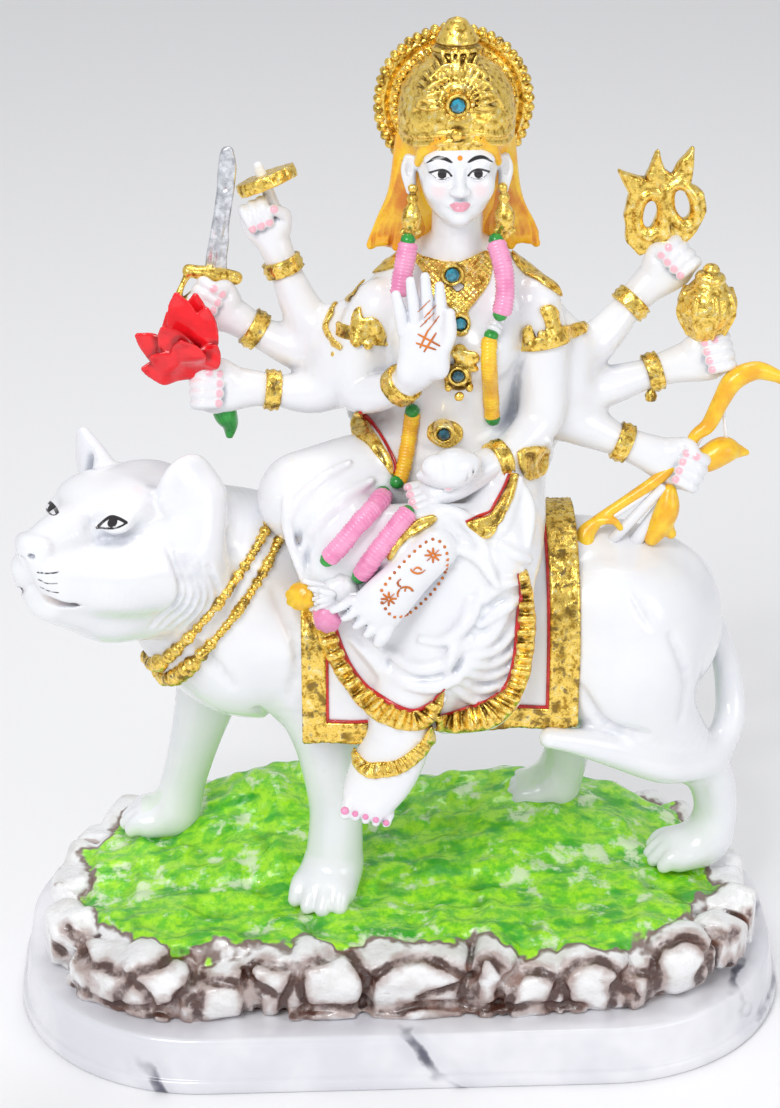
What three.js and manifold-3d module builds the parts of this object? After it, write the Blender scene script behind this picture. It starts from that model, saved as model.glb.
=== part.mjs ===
import * as THREE from 'three';
import { mergeVertices } from 'three/addons/utils/BufferGeometryUtils.js';
import Module from 'manifold-3d';

// A painted marble-dust figure of an eight-armed goddess riding a white tiger over a grassy rock,
// on an oval plinth. Millimetres, +Z up, +X to the viewer's right, the viewer on the -Y side.
// The origin is the centre of the plinth's underside.

const wasm = await Module();
wasm.setup();

// Driving sizes of the plinth and of what stands on it
const plinthLength = 236;
const plinthDepth = 133;
const plinthHeight = 17.6;
const plinthCorner = 58;
const stepHeight = 4.6;
const stepLedge = 1.2;
const bandLean = 1.7;
const plinthRim = 10;
const statueHeight = 287.4;
const stoneWidth = 4;
const stoneGap = 0.3;
const settingWall = 0.9;
const settingRise = 0.6;
const settingDepth = 5;

// The statue is drawn at this height over a plinth of this height, and is scaled as one
const drawnHeight = 287.4;
const drawnFloor = 17.6;
const scale = statueHeight / drawnHeight;

const colours = {
  plinth: 0xe9e9ea,
  statue: 0xf1f2f3,
  stone: 0x1b7fb5,
  darkStone: 0x123c46,
};

// Geometry helpers

const vec = (p) => new THREE.Vector3(p[0], p[1], p[2]);
const lerp = (a, b, t) => a + (b - a) * t;

function smooth(low, high, x) {
  const t = Math.min(1, Math.max(0, (x - low) / (high - low)));
  return t * t * (3 - 2 * t);
}

function bell(x, centre, width) {
  const t = (x - centre) / width;
  return Math.exp(-t * t);
}

function closedMesh(points, faces) {
  const geometry = new THREE.BufferGeometry();
  const flat = points.flatMap((p) => [p.x, p.y, p.z]);
  geometry.setAttribute('position', new THREE.Float32BufferAttribute(flat, 3));
  geometry.setIndex(faces.flat());
  return geometry;
}

// Joins a stack of rings with as many points each, and closes both ends on a middle point.
function skin(rings, firstPole, lastPole) {
  const count = rings[0].length;
  const points = [...rings.flat(), firstPole, lastPole];
  const first = points.length - 2;
  const last = points.length - 1;
  const faces = [];
  for (let ring = 0; ring + 1 < rings.length; ring++) {
    for (let i = 0; i < count; i++) {
      const a = ring * count + i;
      const b = ring * count + ((i + 1) % count);
      faces.push([a, b, b + count], [a, b + count, a + count]);
    }
  }
  const top = (rings.length - 1) * count;
  for (let i = 0; i < count; i++) {
    const next = (i + 1) % count;
    faces.push([next, i, first], [top + i, top + next, last]);
  }
  return closedMesh(points, faces);
}

// A limb through stations [x, y, z, half width, half depth]. The half width lies along the
// side direction. The ends bulge by a share of their radius, and rounded ends get a ring more.
function limb(stations, options = {}) {
  const { sides = 7, steps = 1, side = [1, 0, 0], round = 0.5, rounded = false } = options;
  const path = new THREE.CatmullRomCurve3(stations.map(vec));
  const sizes = new THREE.CatmullRomCurve3(
    stations.map((s) => new THREE.Vector3(s[3], s[4] ?? s[3], 0)),
  );
  const spans = (stations.length - 1) * steps;
  const rings = [];
  const ringAt = (t, grow, slide) => {
    const tangent = path.getTangent(t).normalize();
    const across = vec(side);
    across.addScaledVector(tangent, -across.dot(tangent)).normalize();
    const deep = new THREE.Vector3().crossVectors(tangent, across);
    const size = sizes.getPoint(t);
    const centre = path.getPoint(t).addScaledVector(tangent, slide);
    const ring = [];
    for (let i = 0; i < sides; i++) {
      const angle = (2 * Math.PI * i) / sides;
      ring.push(
        centre.clone()
          .addScaledVector(across, grow * size.x * Math.cos(angle))
          .addScaledVector(deep, grow * size.y * Math.sin(angle)),
      );
    }
    return { ring, centre, tangent, size };
  };
  const startBulge = round * Math.min(stations[0][3], stations[0][4] ?? stations[0][3]);
  const endStation = stations[stations.length - 1];
  const endBulge = round * Math.min(endStation[3], endStation[4] ?? endStation[3]);
  if (rounded) rings.push(ringAt(0, 0.72, -0.7 * startBulge).ring);
  for (let i = 0; i <= spans; i++) rings.push(ringAt(i / spans, 1, 0).ring);
  if (rounded) rings.push(ringAt(1, 0.72, 0.7 * endBulge).ring);
  const start = ringAt(0, 1, -startBulge).centre;
  const end = ringAt(1, 1, endBulge).centre;
  return skin(rings, start, end);
}

// A ball with its own three radii, turned by angles in degrees about X, Y and Z.
function ball(centre, radii, { turn = [0, 0, 0], around = 8, down = 5 } = {}) {
  const geometry = new THREE.SphereGeometry(1, around, down);
  geometry.rotateX(Math.PI / 2);
  geometry.scale(radii[0], radii[1], radii[2]);
  return place(geometry, centre, turn);
}

function place(geometry, centre, turn = [0, 0, 0]) {
  const angles = turn.map((degrees) => THREE.MathUtils.degToRad(degrees));
  geometry.applyMatrix4(new THREE.Matrix4().makeRotationFromEuler(new THREE.Euler(...angles)));
  geometry.translate(centre[0], centre[1], centre[2]);
  return geometry;
}

// A turned form: a profile of [radius, height] from the axis to the axis, upright on +Z.
function turned(profile, centre, { turn = [0, 0, 0], around = 16 } = {}) {
  const geometry = new THREE.LatheGeometry(profile.map((p) => new THREE.Vector2(p[0], p[1])), around);
  geometry.rotateX(Math.PI / 2);
  return place(geometry, centre, turn);
}

// A flat form: an outline in the X-Z plane with a thickness along Y, its middle at y.
function plate(outline, y, thickness, { holes = [], turn = [0, 0, 0], pivot = [0, 0, 0] } = {}) {
  const shape = new THREE.Shape(outline.map((p) => new THREE.Vector2(p[0], p[1])));
  for (const hole of holes) {
    shape.holes.push(new THREE.Path(hole.map((p) => new THREE.Vector2(p[0], p[1]))));
  }
  const geometry = new THREE.ExtrudeGeometry(shape, {
    depth: thickness,
    bevelEnabled: false,
    curveSegments: 6,
  });
  geometry.translate(-pivot[0], -pivot[2], -thickness / 2);
  geometry.rotateX(Math.PI / 2);
  return place(geometry, [pivot[0], y, pivot[2]], turn);
}

function solidOf(geometry) {
  const bare = geometry.clone();
  bare.deleteAttribute('normal');
  bare.deleteAttribute('uv');
  const merged = mergeVertices(bare, 1e-4);
  const vertProperties = Float32Array.from(merged.attributes.position.array);
  const corners = [];
  for (let i = 0; i < merged.index.count; i += 3) {
    const [a, b, c] = [0, 1, 2].map((k) => merged.index.getX(i + k));
    // A turned form has a flat triangle wherever its profile meets the axis.
    if (a !== b && b !== c && c !== a) corners.push([a, b, c]);
  }
  const inside = signedVolume(vertProperties, corners.flat()) < 0;
  const triVerts = Uint32Array.from(corners.flatMap(([a, b, c]) => (inside ? [a, c, b] : [a, b, c])));
  return new wasm.Manifold(new wasm.Mesh({ numProp: 3, vertProperties, triVerts }));
}

function signedVolume(vertices, triangles) {
  const corner = (i) => new THREE.Vector3().fromArray(vertices, 3 * triangles[i]);
  let total = 0;
  for (let i = 0; i < triangles.length; i += 3) {
    total += corner(i).dot(corner(i + 1).cross(corner(i + 2))) / 6;
  }
  return total;
}

function geometryOf(solid) {
  const mesh = solid.getMesh();
  const geometry = new THREE.BufferGeometry();
  geometry.setAttribute('position', new THREE.BufferAttribute(mesh.vertProperties, 3));
  geometry.setIndex(new THREE.BufferAttribute(mesh.triVerts, 1));
  return geometry;
}

const joined = (geometries) => geometries.map(solidOf).reduce((all, next) => all.add(next));

function named(name, geometry, colour, roughness, metalness = 0) {
  const flat = geometry.index ? geometry.toNonIndexed() : geometry;
  flat.computeVertexNormals();
  const material = new THREE.MeshStandardMaterial({ color: colour, roughness, metalness });
  const mesh = new THREE.Mesh(flat, material);
  mesh.name = name;
  return mesh;
}

// The rounded outline that the plinth and the rock share, a point for each share of the way
// round. An inset moves it inwards.
function outlinePoint(share, inset) {
  const halfLength = plinthLength / 2 - inset;
  const halfDepth = plinthDepth / 2 - inset;
  const corner = Math.max(1, Math.min(plinthCorner - inset, halfDepth));
  const straightX = halfLength - corner;
  const straightY = halfDepth - corner;
  const arc = (Math.PI / 2) * corner;
  const lengths = [straightY, arc, 2 * straightX, arc, 2 * straightY, arc, 2 * straightX, arc, straightY];
  const around = lengths.reduce((sum, length) => sum + length, 0);
  const corners = [[1, 1], [-1, 1], [-1, -1], [1, -1]];
  let walked = (share - Math.floor(share)) * around;
  for (let i = 0; i < lengths.length; i++) {
    if (walked > lengths[i] && i < lengths.length - 1) {
      walked -= lengths[i];
      continue;
    }
    const turns = Math.floor(i / 2);
    if (i % 2 === 1) {
      const [sx, sy] = corners[turns];
      const angle = (turns * Math.PI) / 2 + walked / corner;
      return [sx * straightX + corner * Math.cos(angle), sy * straightY + corner * Math.sin(angle)];
    }
    if (turns === 0) return [halfLength, walked];
    if (turns === 1) return [straightX - walked, halfDepth];
    if (turns === 2) return [-halfLength, straightY - walked];
    if (turns === 3) return [-straightX + walked, -halfDepth];
    return [halfLength, -straightY + walked];
  }
  return [halfLength, 0];
}

// Plinth

function plinthGeometry() {
  const points = 48;
  const levels = [
    [0, 0],
    [0, stepHeight],
    [stepLedge, stepHeight],
    [stepLedge + bandLean, plinthHeight],
  ];
  const rings = levels.map(([inset, height]) =>
    Array.from({ length: points }, (_, i) => {
      const [x, y] = outlinePoint(i / points, inset);
      return new THREE.Vector3(x, y, height);
    }),
  );
  return skin(rings, new THREE.Vector3(0, 0, 0), new THREE.Vector3(0, 0, plinthHeight));
}

// Rock and grass

// Height of the grass over the floor, as two low ridges towards the back.
function grassHeight(x, y) {
  const ridge = 13 * bell(x, -36, 30) + 11 * bell(x, 36, 34);
  return 38.5 - 3.5 * smooth(60, 110, Math.abs(x)) + ridge * smooth(-30, 34, y);
}

function moundGeometry() {
  const around = 54;
  const rocks = 27;
  const foot = plinthRim / scale;
  const levels = [
    [0, 0, 0.2],
    [0.3, -1.5, 1],
    [0.72, -0.5, 1],
    [1, 4, 0.5],
  ];
  const rim = (i, inset, bump) => {
    const share = i / around;
    const lump = Math.abs(Math.sin(Math.PI * (rocks * share + 0.22 * Math.sin(14 * share))));
    const [x, y] = outlinePoint(share, foot + inset + bump * 3.2 * (1 - Math.sqrt(lump)));
    return [x / scale, y / scale];
  };
  const rings = levels.map(([rise, inset, bump]) =>
    Array.from({ length: around }, (_, i) => {
      const [x, y] = rim(i, inset, bump);
      const height = lerp(drawnFloor, grassHeight(x, y) - 2.5, rise);
      return new THREE.Vector3(x, y, height);
    }),
  );
  for (const share of [0.8, 0.45]) {
    rings.push(
      Array.from({ length: around }, (_, i) => {
        const [x, y] = rim(i, 4, 0);
        const height = grassHeight(x * share, y * share);
        return new THREE.Vector3(x * share, y * share, height);
      }),
    );
  }
  return skin(rings, new THREE.Vector3(0, 0, drawnFloor), new THREE.Vector3(0, 0, grassHeight(0, 0)));
}

// Tiger

function tigerParts() {
  const alongY = { side: [0, 1, 0] };
  const trunk = limb(
    [
      [-64, -6, 122, 13, 17],
      [-48, -2, 127, 25, 34],
      [-18, 2, 124, 26, 31.5],
      [18, 4, 123, 26, 31],
      [50, 4, 121, 26, 32],
      [74, 4, 118, 24, 29.5],
      [88, 4, 116, 14, 17],
    ],
    { ...alongY, sides: 14, rounded: true },
  );
  const neck = limb(
    [
      [-36, 2, 136, 22, 27],
      [-52, -6, 142, 22, 27],
      [-66, -12, 150, 20, 25],
      [-76, -15, 158, 18, 22],
    ],
    { ...alongY, sides: 12 },
  );
  return [trunk, neck, ...tigerHead(), ...tigerLegs(), ...tigerTail()];
}

function tigerHead() {
  const faceTurn = [0, -8, 48];
  return [
    ball([-76, -15, 163], [24, 23, 21], { turn: faceTurn, around: 12, down: 7 }),
    ball([-62, -23, 153], [13, 15, 17], { turn: faceTurn }),
    ball([-88, 0, 154], [12, 13, 16], { turn: faceTurn }),
    limb(
      [
        [-84, -24, 167, 15, 13],
        [-93.5, -33, 166.4, 14, 12],
        [-101, -41, 165.6, 12.4, 10.6],
        [-105.6, -45.6, 165.2, 9.4, 8.4],
      ],
      { side: [0.74, -0.67, 0], sides: 10, round: 0.8, rounded: true },
    ),
    limb(
      [
        [-80, -24, 147, 14, 10],
        [-92, -34, 148.6, 12.4, 9],
        [-101.4, -42, 152.4, 8.8, 6],
      ],
      { side: [0.74, -0.67, 0], round: 0.8, rounded: true },
    ),
    ear([-62, -24, 178], [10, 4.5, 11], [6, 14, 40]),
    ear([-88.8, -2.5, 177.6], [8.6, 4.5, 11], [-6, -10, 40]),
  ];
}

function ear(centre, radii, turn) {
  return ball(centre, radii, { turn });
}

// Each leg runs from the trunk down to the paw, and forward into its toes.
function tigerLegs() {
  const alongX = { side: [0, 1, 0], sides: 8, round: 0.8 };
  return [
    // Far foreleg, set forward
    limb([[-48, 12, 126, 14, 17], [-55, 15, 102, 10, 12], [-61, 18, 80, 8, 8.4], [-66, 21, 60, 7, 7],
      [-70, 23, 47, 8.6, 8], [-80, 24, 43.4, 9.6, 7.6], [-89, 24.6, 41, 8, 5]], alongX),
    // Near foreleg, upright
    limb([[-30, -13, 126, 15, 20], [-25, -15, 104, 12, 13], [-22, -15, 88, 9.5, 10], [-20, -14, 66, 8, 8],
      [-21, -13, 50, 9, 8.4], [-24.6, -20, 43.6, 11, 8], [-27, -27, 40.6, 9.6, 5.4]],
    { ...alongX, side: [1, 0, 0] }),
    // Near hind leg: thigh, shank to the hock, foot
    limb([[66, -8, 128, 16, 22], [66, -11, 110, 15, 21], [72, -11, 96, 12, 17], [84, -7, 82, 9, 11],
      [95, -1, 70, 7.4, 7.6], [99, 1, 57, 6.6, 6.6], [97, 1, 45, 8.6, 7.4], [89, -0.6, 41.4, 9.4, 7.4],
      [80.6, -1.6, 38.6, 7.6, 5]], alongX),
    // Far hind leg, set forward
    limb([[66, 14, 122, 14, 20], [56, 20, 98, 10, 13], [53, 24, 78, 8, 8], [54, 26, 62, 7, 7],
      [51, 27, 50, 8, 8], [43, 26, 47, 8, 7]], alongX),
  ];
}

function tigerTail() {
  return [
    limb(
      [
        [66, 6, 146, 5],
        [75.2, 7, 142, 4.6],
        [85, 9, 131.5, 4.2],
        [97.2, 11, 110.5, 3.9],
        [102, 8, 91, 4.2],
        [100, 1, 81.6, 4.8],
        [92, -8, 77.6, 5.6],
        [78, -17, 81.4, 5.8],
        [60, -23.6, 91, 4.8],
        [43, -28.6, 97.4, 3.2],
      ],
      { side: [0, 1, 0.3], sides: 6 },
    ),
  ];
}

// Cloth under the rider: an arch over the tiger's back, square at its lower edges.
function saddleCloth() {
  const halfDepth = 29.5;
  const left = -29.5;
  const right = 51;
  const hem = 100;
  const arch = [];
  const steps = 16;
  for (let i = 0; i <= steps; i++) {
    const angle = Math.PI * (i / steps);
    arch.push([4 + halfDepth * Math.cos(angle), 121 + 35.5 * Math.sin(angle) ** 0.9]);
  }
  const outline = [[4 - halfDepth, hem], [4 + halfDepth, hem], ...arch];
  const shape = new THREE.Shape(outline.map((p) => new THREE.Vector2(p[0], p[1])));
  const geometry = new THREE.ExtrudeGeometry(shape, { depth: right - left, bevelEnabled: false });
  // The outline's own axes become Y and Z, and its thickness runs along X.
  geometry.rotateX(Math.PI / 2);
  geometry.rotateZ(Math.PI / 2);
  geometry.translate(left, 0, 0);
  return geometry;
}

// Goddess

const upperArmRadius = 7.2;
const foreArmRadius = 5.6;
const wristRadius = 4.5;
const bangleRadius = 5.9;
const bangleWidth = 3.6;

// An arm from the shoulder through the elbow to the wrist, where a bangle stands out round it,
// and on into the closed hand.
function arm({ from, through = [], elbow, wrist, hand, palm = [], thick = upperArmRadius, sides = 7 }) {
  const way = vec(hand).sub(vec(wrist)).normalize();
  const past = (distance) => vec(wrist).addScaledVector(way, distance).toArray();
  return limb(
    [
      [...from, thick],
      ...through.map((p) => [...p, thick * 0.96]),
      [...elbow, foreArmRadius + 0.9],
      [...wrist, wristRadius],
      [...past(0.3), bangleRadius],
      [...past(bangleWidth), bangleRadius],
      [...past(bangleWidth + 0.3), wristRadius],
      [...hand, ...(palm.length ? [6, 5.4] : [wristRadius])],
      ...palm,
    ],
    { side: [0, 0.2, 1], sides, round: 0.7 },
  );
}

// The bent fingers of a closed hand, as one roll.
function fingers(firstKnuckle, lastKnuckle) {
  return limb([[...firstKnuckle, 2.7], [...lastKnuckle, 2.4]], { sides: 6, round: 0.8 });
}

function body() {
  const deep = { side: [1, 0, 0] };
  return [
    // Hips, waist, chest and shoulders
    limb(
      [
        [15, 6, 158, 27, 19],
        [15, 5, 168, 26, 18],
        [14, 4, 182, 19, 14],
        [14, 3, 194, 17.5, 13],
        [15, 2, 208, 20, 15.5],
        [15.5, 2.5, 220, 22, 14],
        [16, 4, 229, 17, 10],
        [16, 4, 236, 8.5, 8],
      ],
      { ...deep, sides: 14 },
    ),
    ball([7, -8, 211], [8.5, 8, 8.5]),
    ball([23, -8, 211], [8.5, 8, 8.5]),
    limb([[16, 4, 230, 8], [16, 3, 248, 7.4]], { sides: 10 }),
    // Cape over the back and round the roots of the back arms
    limb(
      [
        [17, 12, 168, 24, 9],
        [18, 12, 186, 33, 10],
        [17, 12, 206, 34, 11],
        [16, 10, 222, 30, 10],
        [16, 8, 236, 16, 8],
      ],
      { ...deep, sides: 12 },
    ),
    ball([-14, 4, 204], [14, 10, 14]),
    ball([46, 9, 198], [12, 10, 19]),
  ];
}

function headParts() {
  return [
    limb(
      [
        [15.8, 0, 249, 5.4, 6],
        [15.8, 0, 255, 9.6, 10],
        [15.8, 0.6, 263, 11.4, 12.2],
        [15.8, 2, 272, 12, 13],
      ],
      { sides: 12 },
    ),
    // Hair, falling behind the ears to the shoulders
    limb(
      [
        [15.8, 6, 275, 16, 11],
        [15.8, 8, 262, 17, 9],
        [15.5, 10, 250, 19, 8],
        [15.5, 11, 240, 25, 7],
        [15.5, 12, 231, 27, 5],
      ],
      { sides: 12 },
    ),
    // Nose, ears and earrings
    limb([[15.8, -11, 264, 1.5], [15.8, -14, 258.6, 2.3, 2]], { sides: 5 }),
    ball([3.2, 0, 261], [1.8, 3.2, 5.4], { around: 6, down: 4 }),
    ball([28.4, 0, 261], [1.8, 3.2, 5.4], { around: 6, down: 4 }),
    limb([[3.6, -1, 256, 1.6], [2.6, -3, 249, 2.8], [2.2, -3, 244, 1.6]], { sides: 6 }),
    limb([[28, -1, 256, 1.6], [28.8, -3, 249, 2.8], [29, -3, 244, 1.6]], { sides: 6 }),
    ...crown(),
  ];
}

function crown() {
  const dome = turned(
    [[0, -8], [15.6, -8], [16.6, 0], [15.4, 6.4], [12, 12], [6.9, 15.4], [6.4, 18], [5, 20.8], [3.2, 24.2], [0, 26.4]],
    [15.8, 6.2, 278.6],
    { turn: [-2, 0, 0], around: 16 },
  );
  // Halo: a disc behind the crown with a ribbed rim, cut open below.
  const haloRadius = 22.6;
  const ribs = 22;
  const opening = 0.62;
  const rim = [];
  for (let i = 0; i <= ribs * 2; i++) {
    const angle = lerp(-Math.PI / 2 + opening, 1.5 * Math.PI - opening, i / (ribs * 2));
    const radius = haloRadius - (i % 2) * 0.9;
    rim.push([15.7 + radius * Math.cos(angle), 277.2 + radius * Math.sin(angle)]);
  }
  return [
    dome,
    plate(rim, 17, 3.4),
    limb([[14.9, -6, 284, 4.6], [14.9, -10.6, 285, 4]], { sides: 8, round: 0.1 }),
  ];
}

function armParts() {
  return [
    // Right hand raised in blessing, palm to the viewer
    arm({ from: [-6, 2, 222], through: [[-11, 0, 212]], elbow: [-12, -4, 199], wrist: [-1.5, -14, 203.5],
      hand: [3, -18, 209], thick: 8 }),
    ...raisedHand(),
    // Left hand in the lap, holding a shell
    arm({ from: [38, 3, 222], through: [[41, 1, 206]], elbow: [40, -2, 188], wrist: [29, -13, 181],
      hand: [22, -17, 179.6], palm: [[12, -21, 177, 6, 5], [3.5, -24, 174.6, 4, 2.6]], thick: 8 }),
    limb([[4.5, -24, 181.5, 1.2], [9, -24, 181.6, 5, 4.4], [14, -24, 182, 6.4, 5.4], [18.5, -24, 183, 3, 2.6]],
      { side: [0, 1, 0] }),
    // Back arms on the goddess's right, from the top
    arm({ from: [-9, 8, 216], elbow: [-24, 12, 213], wrist: [-32.4, 17, 227.5], hand: [-35.5, 18, 236],
      palm: [[-38, 19, 243, 7, 6], [-39, 19.6, 248, 5, 4]] }),
    limb([[-38.5, 21.5, 246, 2.3], [-39.6, 22, 257.5, 1.7]], { side: [0, 1, 0], sides: 5 }),
    arm({ from: [-10, 6, 210], elbow: [-26, 10, 205.5], wrist: [-40, 14, 210], hand: [-47, 14.5, 214.6],
      palm: [[-52, 14, 218, 7.4, 6.6], [-57, 12.6, 221, 4.6, 5]] }),
    arm({ from: [-8, 2, 204], elbow: [-24, 2, 196.4], wrist: [-35, 2.5, 196.6], hand: [-43, 2, 197.6],
      palm: [[-50, 1, 198, 9, 7], [-56.5, -0.6, 198.6, 7, 5]] }),
    fingers([-56, -4.6, 203], [-53, -4.6, 192]),
    // Back arms on the goddess's left, from the top
    arm({ from: [44, 9, 206], elbow: [56, 13, 204.5], wrist: [67, 19, 214], hand: [72.6, 21, 219.4],
      palm: [[78, 21.6, 224.4, 8, 6.6], [82.6, 21, 228.6, 5.6, 5]] }),
    arm({ from: [46, 8, 196], elbow: [56, 10, 192], wrist: [73, 13, 195.5], hand: [80.4, 14, 197.5],
      palm: [[88, 14, 199.6, 8, 6.6], [94.4, 12.6, 201, 6, 5]] }),
    arm({ from: [44, 7, 187], elbow: [55, 7, 182], wrist: [64, 6, 177.6], hand: [72, 5, 174.4],
      palm: [[80, 4, 171, 8.6, 6.6], [86.6, 2.4, 168.4, 6.6, 5]] }),
    ...armlets(),
  ];
}

function raisedHand() {
  const parts = [
    limb([[3, -17, 207.5, 4.6, 3.4], [6, -19, 216, 6.6, 3.4], [5.6, -20, 225, 6.4, 2.8]],
      { sides: 8 }),
    limb([[10.5, -20, 217, 2.1], [12.2, -21.5, 223, 1.8], [12, -22, 229.6, 1.4]], { sides: 5 }),
  ];
  for (let finger = 0; finger < 4; finger++) {
    const x = 10.6 - finger * 3.5;
    const length = [12.4, 15.2, 14, 10][finger];
    const lean = -0.6 - finger * 0.5;
    parts.push(
      limb([[x, -20, 224.5, 1.9], [x + lean, -20.6, 224.5 + length, 1.5]], { sides: 5, round: 0.9 }),
    );
  }
  return parts;
}

function armlets() {
  const band = { sides: 10, round: 0.1 };
  return [
    limb([[-9.6, 1.4, 216.6, 9.2, 9.2], [-10.5, 0.3, 212.3, 9.2, 9.2]], band),
    limb([[40, 1.6, 214.2, 9.2, 9.2], [40.6, 1, 210.2, 9.2, 9.2]], band),
  ];
}

function legParts() {
  return [
    // Folded right leg: thigh out to the knee, shin back to the ankle, sole to the viewer
    limb([[8, 4, 168, 15], [-10, -4, 170.6, 14], [-28.6, -12, 169.4, 13]],
      { side: [0, 1, 0], sides: 10, rounded: true }),
    limb([[-26, -14, 169, 12], [-14, -24, 163, 10], [-3, -29, 162, 6.4], [2, -31, 160, 5.4]],
      { side: [0, 1, 0], sides: 8 }),
    limb([[9, -34, 163, 6.2, 5.4], [1.5, -36, 156, 6.4, 5], [-7, -38, 148, 7.4, 4.2], [-12.5, -39, 143.5, 6.6, 3]],
      { side: [0.7, 0, -0.7], sides: 8, rounded: true }),
    // Hanging left leg under the skirt, and its foot
    limb([[26, 2, 168, 16], [27, -14, 163, 14.5], [25, -25, 155, 13]], { sides: 10 }),
    limb([[25, -24, 156, 13.5, 12.5], [17, -29, 138, 13, 10], [7, -32, 120, 11.5, 8.5], [2, -33, 108, 10, 7.5]],
      { sides: 10 }),
    limb([[3, -34, 110, 6], [-1, -35, 96, 5], [-4, -36, 90, 5.2, 5.6]], { sides: 7 }),
    limb([[-1, -33, 89, 4.6, 5], [-7, -38, 85, 5.4, 4.6], [-12, -42, 81.5, 6, 3.4], [-15, -44.5, 80, 5, 2.4]],
      { side: [0.55, -0.5, -0.5], sides: 8, rounded: true }),
    limb([[0.6, -34.6, 98.6, 7.2], [-0.6, -34.8, 95.4, 7.2]], { sides: 10, round: 0.1 }),
    ...skirt(),
  ];
}

// Skirt: cloth spread down the tiger's flank between two edges, with folds fanning to its hem.
function skirt() {
  const levels = [
    [168, -22, 28], [156, -28, 35], [141, -26, 38.5], [130, -19.5, 37.5], [120, -13, 33], [112, -6, 27.5],
    [107.5, 1, 21],
  ];
  const frontPoints = 16;
  const backY = -20;
  const frontY = -35.4;
  const foldDepth = 1.7;
  const folds = 5.5;
  const rings = levels.map(([height, left, right], level) => {
    const ring = [];
    for (let i = 0; i <= frontPoints; i++) {
      const share = i / frontPoints;
      const edge = Math.sin(Math.PI * share) ** 0.5;
      const wave = foldDepth * Math.sin(2 * Math.PI * folds * share + 0.5 * level) * (level > 1 ? 1 : 0.4);
      ring.push(new THREE.Vector3(lerp(left, right, share), lerp(-27, frontY, edge) - wave * edge, height));
    }
    ring.push(new THREE.Vector3(right - 1, backY, height), new THREE.Vector3(left + 1, backY, height));
    return ring;
  });
  const middle = ([height, left, right]) => new THREE.Vector3((left + right) / 2, -27, height);
  return [
    skin(rings, middle(levels[0]), middle(levels[levels.length - 1])),
    // Sash ends at the hips and the gold-edged point of the skirt
    limb([[-12.5, -5, 190, 4.5, 2.5], [-9, -9, 184, 4, 2.5], [-4, -15, 176, 3, 2]], { sides: 6 }),
    limb([[40, 0, 181, 5, 3], [35, -8, 174, 5, 3], [30, -18, 168, 4, 2.5], [27, -29, 160, 5, 2.2]],
      { sides: 6 }),
  ];
}

// What the goddess wears and holds
function ornaments() {
  const cord = (a, b, radius) => limb([[...a, radius], [...b, radius]], { side: [0, 1, 0], sides: 6 });
  return [
    // Necklace collar, its pendant, the clasp between the breasts and the belly ornament
    limb([[3.4, -6, 238, 3.4], [7, -5.5, 230, 3.5, 5], [15.4, -6.6, 222.5, 4.2, 6], [24, -5.5, 230, 3.5, 5], [27.4, -6, 238, 3.4]],
      { side: [0, 1, 0], sides: 6 }),
    limb([[15.8, -9.5, 219, 3, 2], [16, -12.5, 211, 3, 2]], { sides: 6 }),
    ball([16, -12.8, 206], [4, 2.6, 4.6]),
    ball([11.7, -10.8, 190], [5.4, 4, 4]),
    // Garland: pink, white and yellow lengths down both sides, then over the lap
    cord([2.4, -9, 242.6], [1, -10, 231], 2.6),
    cord([-0.6, -11.4, 221], [-1.2, -12.4, 213], 2.4),
    limb([[3.4, -12, 196, 2.5], [1.6, -13, 187, 2.5], [-1.2, -15.5, 177, 2.5]], { side: [0, 1, 0], sides: 6 }),
    limb([[26.4, -7.4, 242, 2.6], [29, -12, 234, 2.8], [28.6, -14, 226, 2.6]], { side: [0, 1, 0], sides: 6 }),
    limb([[25.4, -14.2, 215.5, 2.6], [25, -14.5, 205, 2.7], [25.6, -16, 196.5, 2.4]],
      { side: [0, 1, 0], sides: 6 }),
    cord([-6, -17.5, 171.6], [-21, -28.5, 158.5], 2.5),
    cord([-0.4, -29, 170.5], [-12, -35.5, 156.5], 2.6),
    limb([[-10, -34, 151, 5.6], [-18, -33, 150, 7], [-26, -29, 148, 6]], { side: [0, 1, 0] }),
    ball([-29, -31, 147], [3.4, 4, 5.4], { turn: [0, 10, 0] }),
    ball([-22.6, -33.4, 142], [4.4, 4.4, 4.8]),
  ];
}

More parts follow.
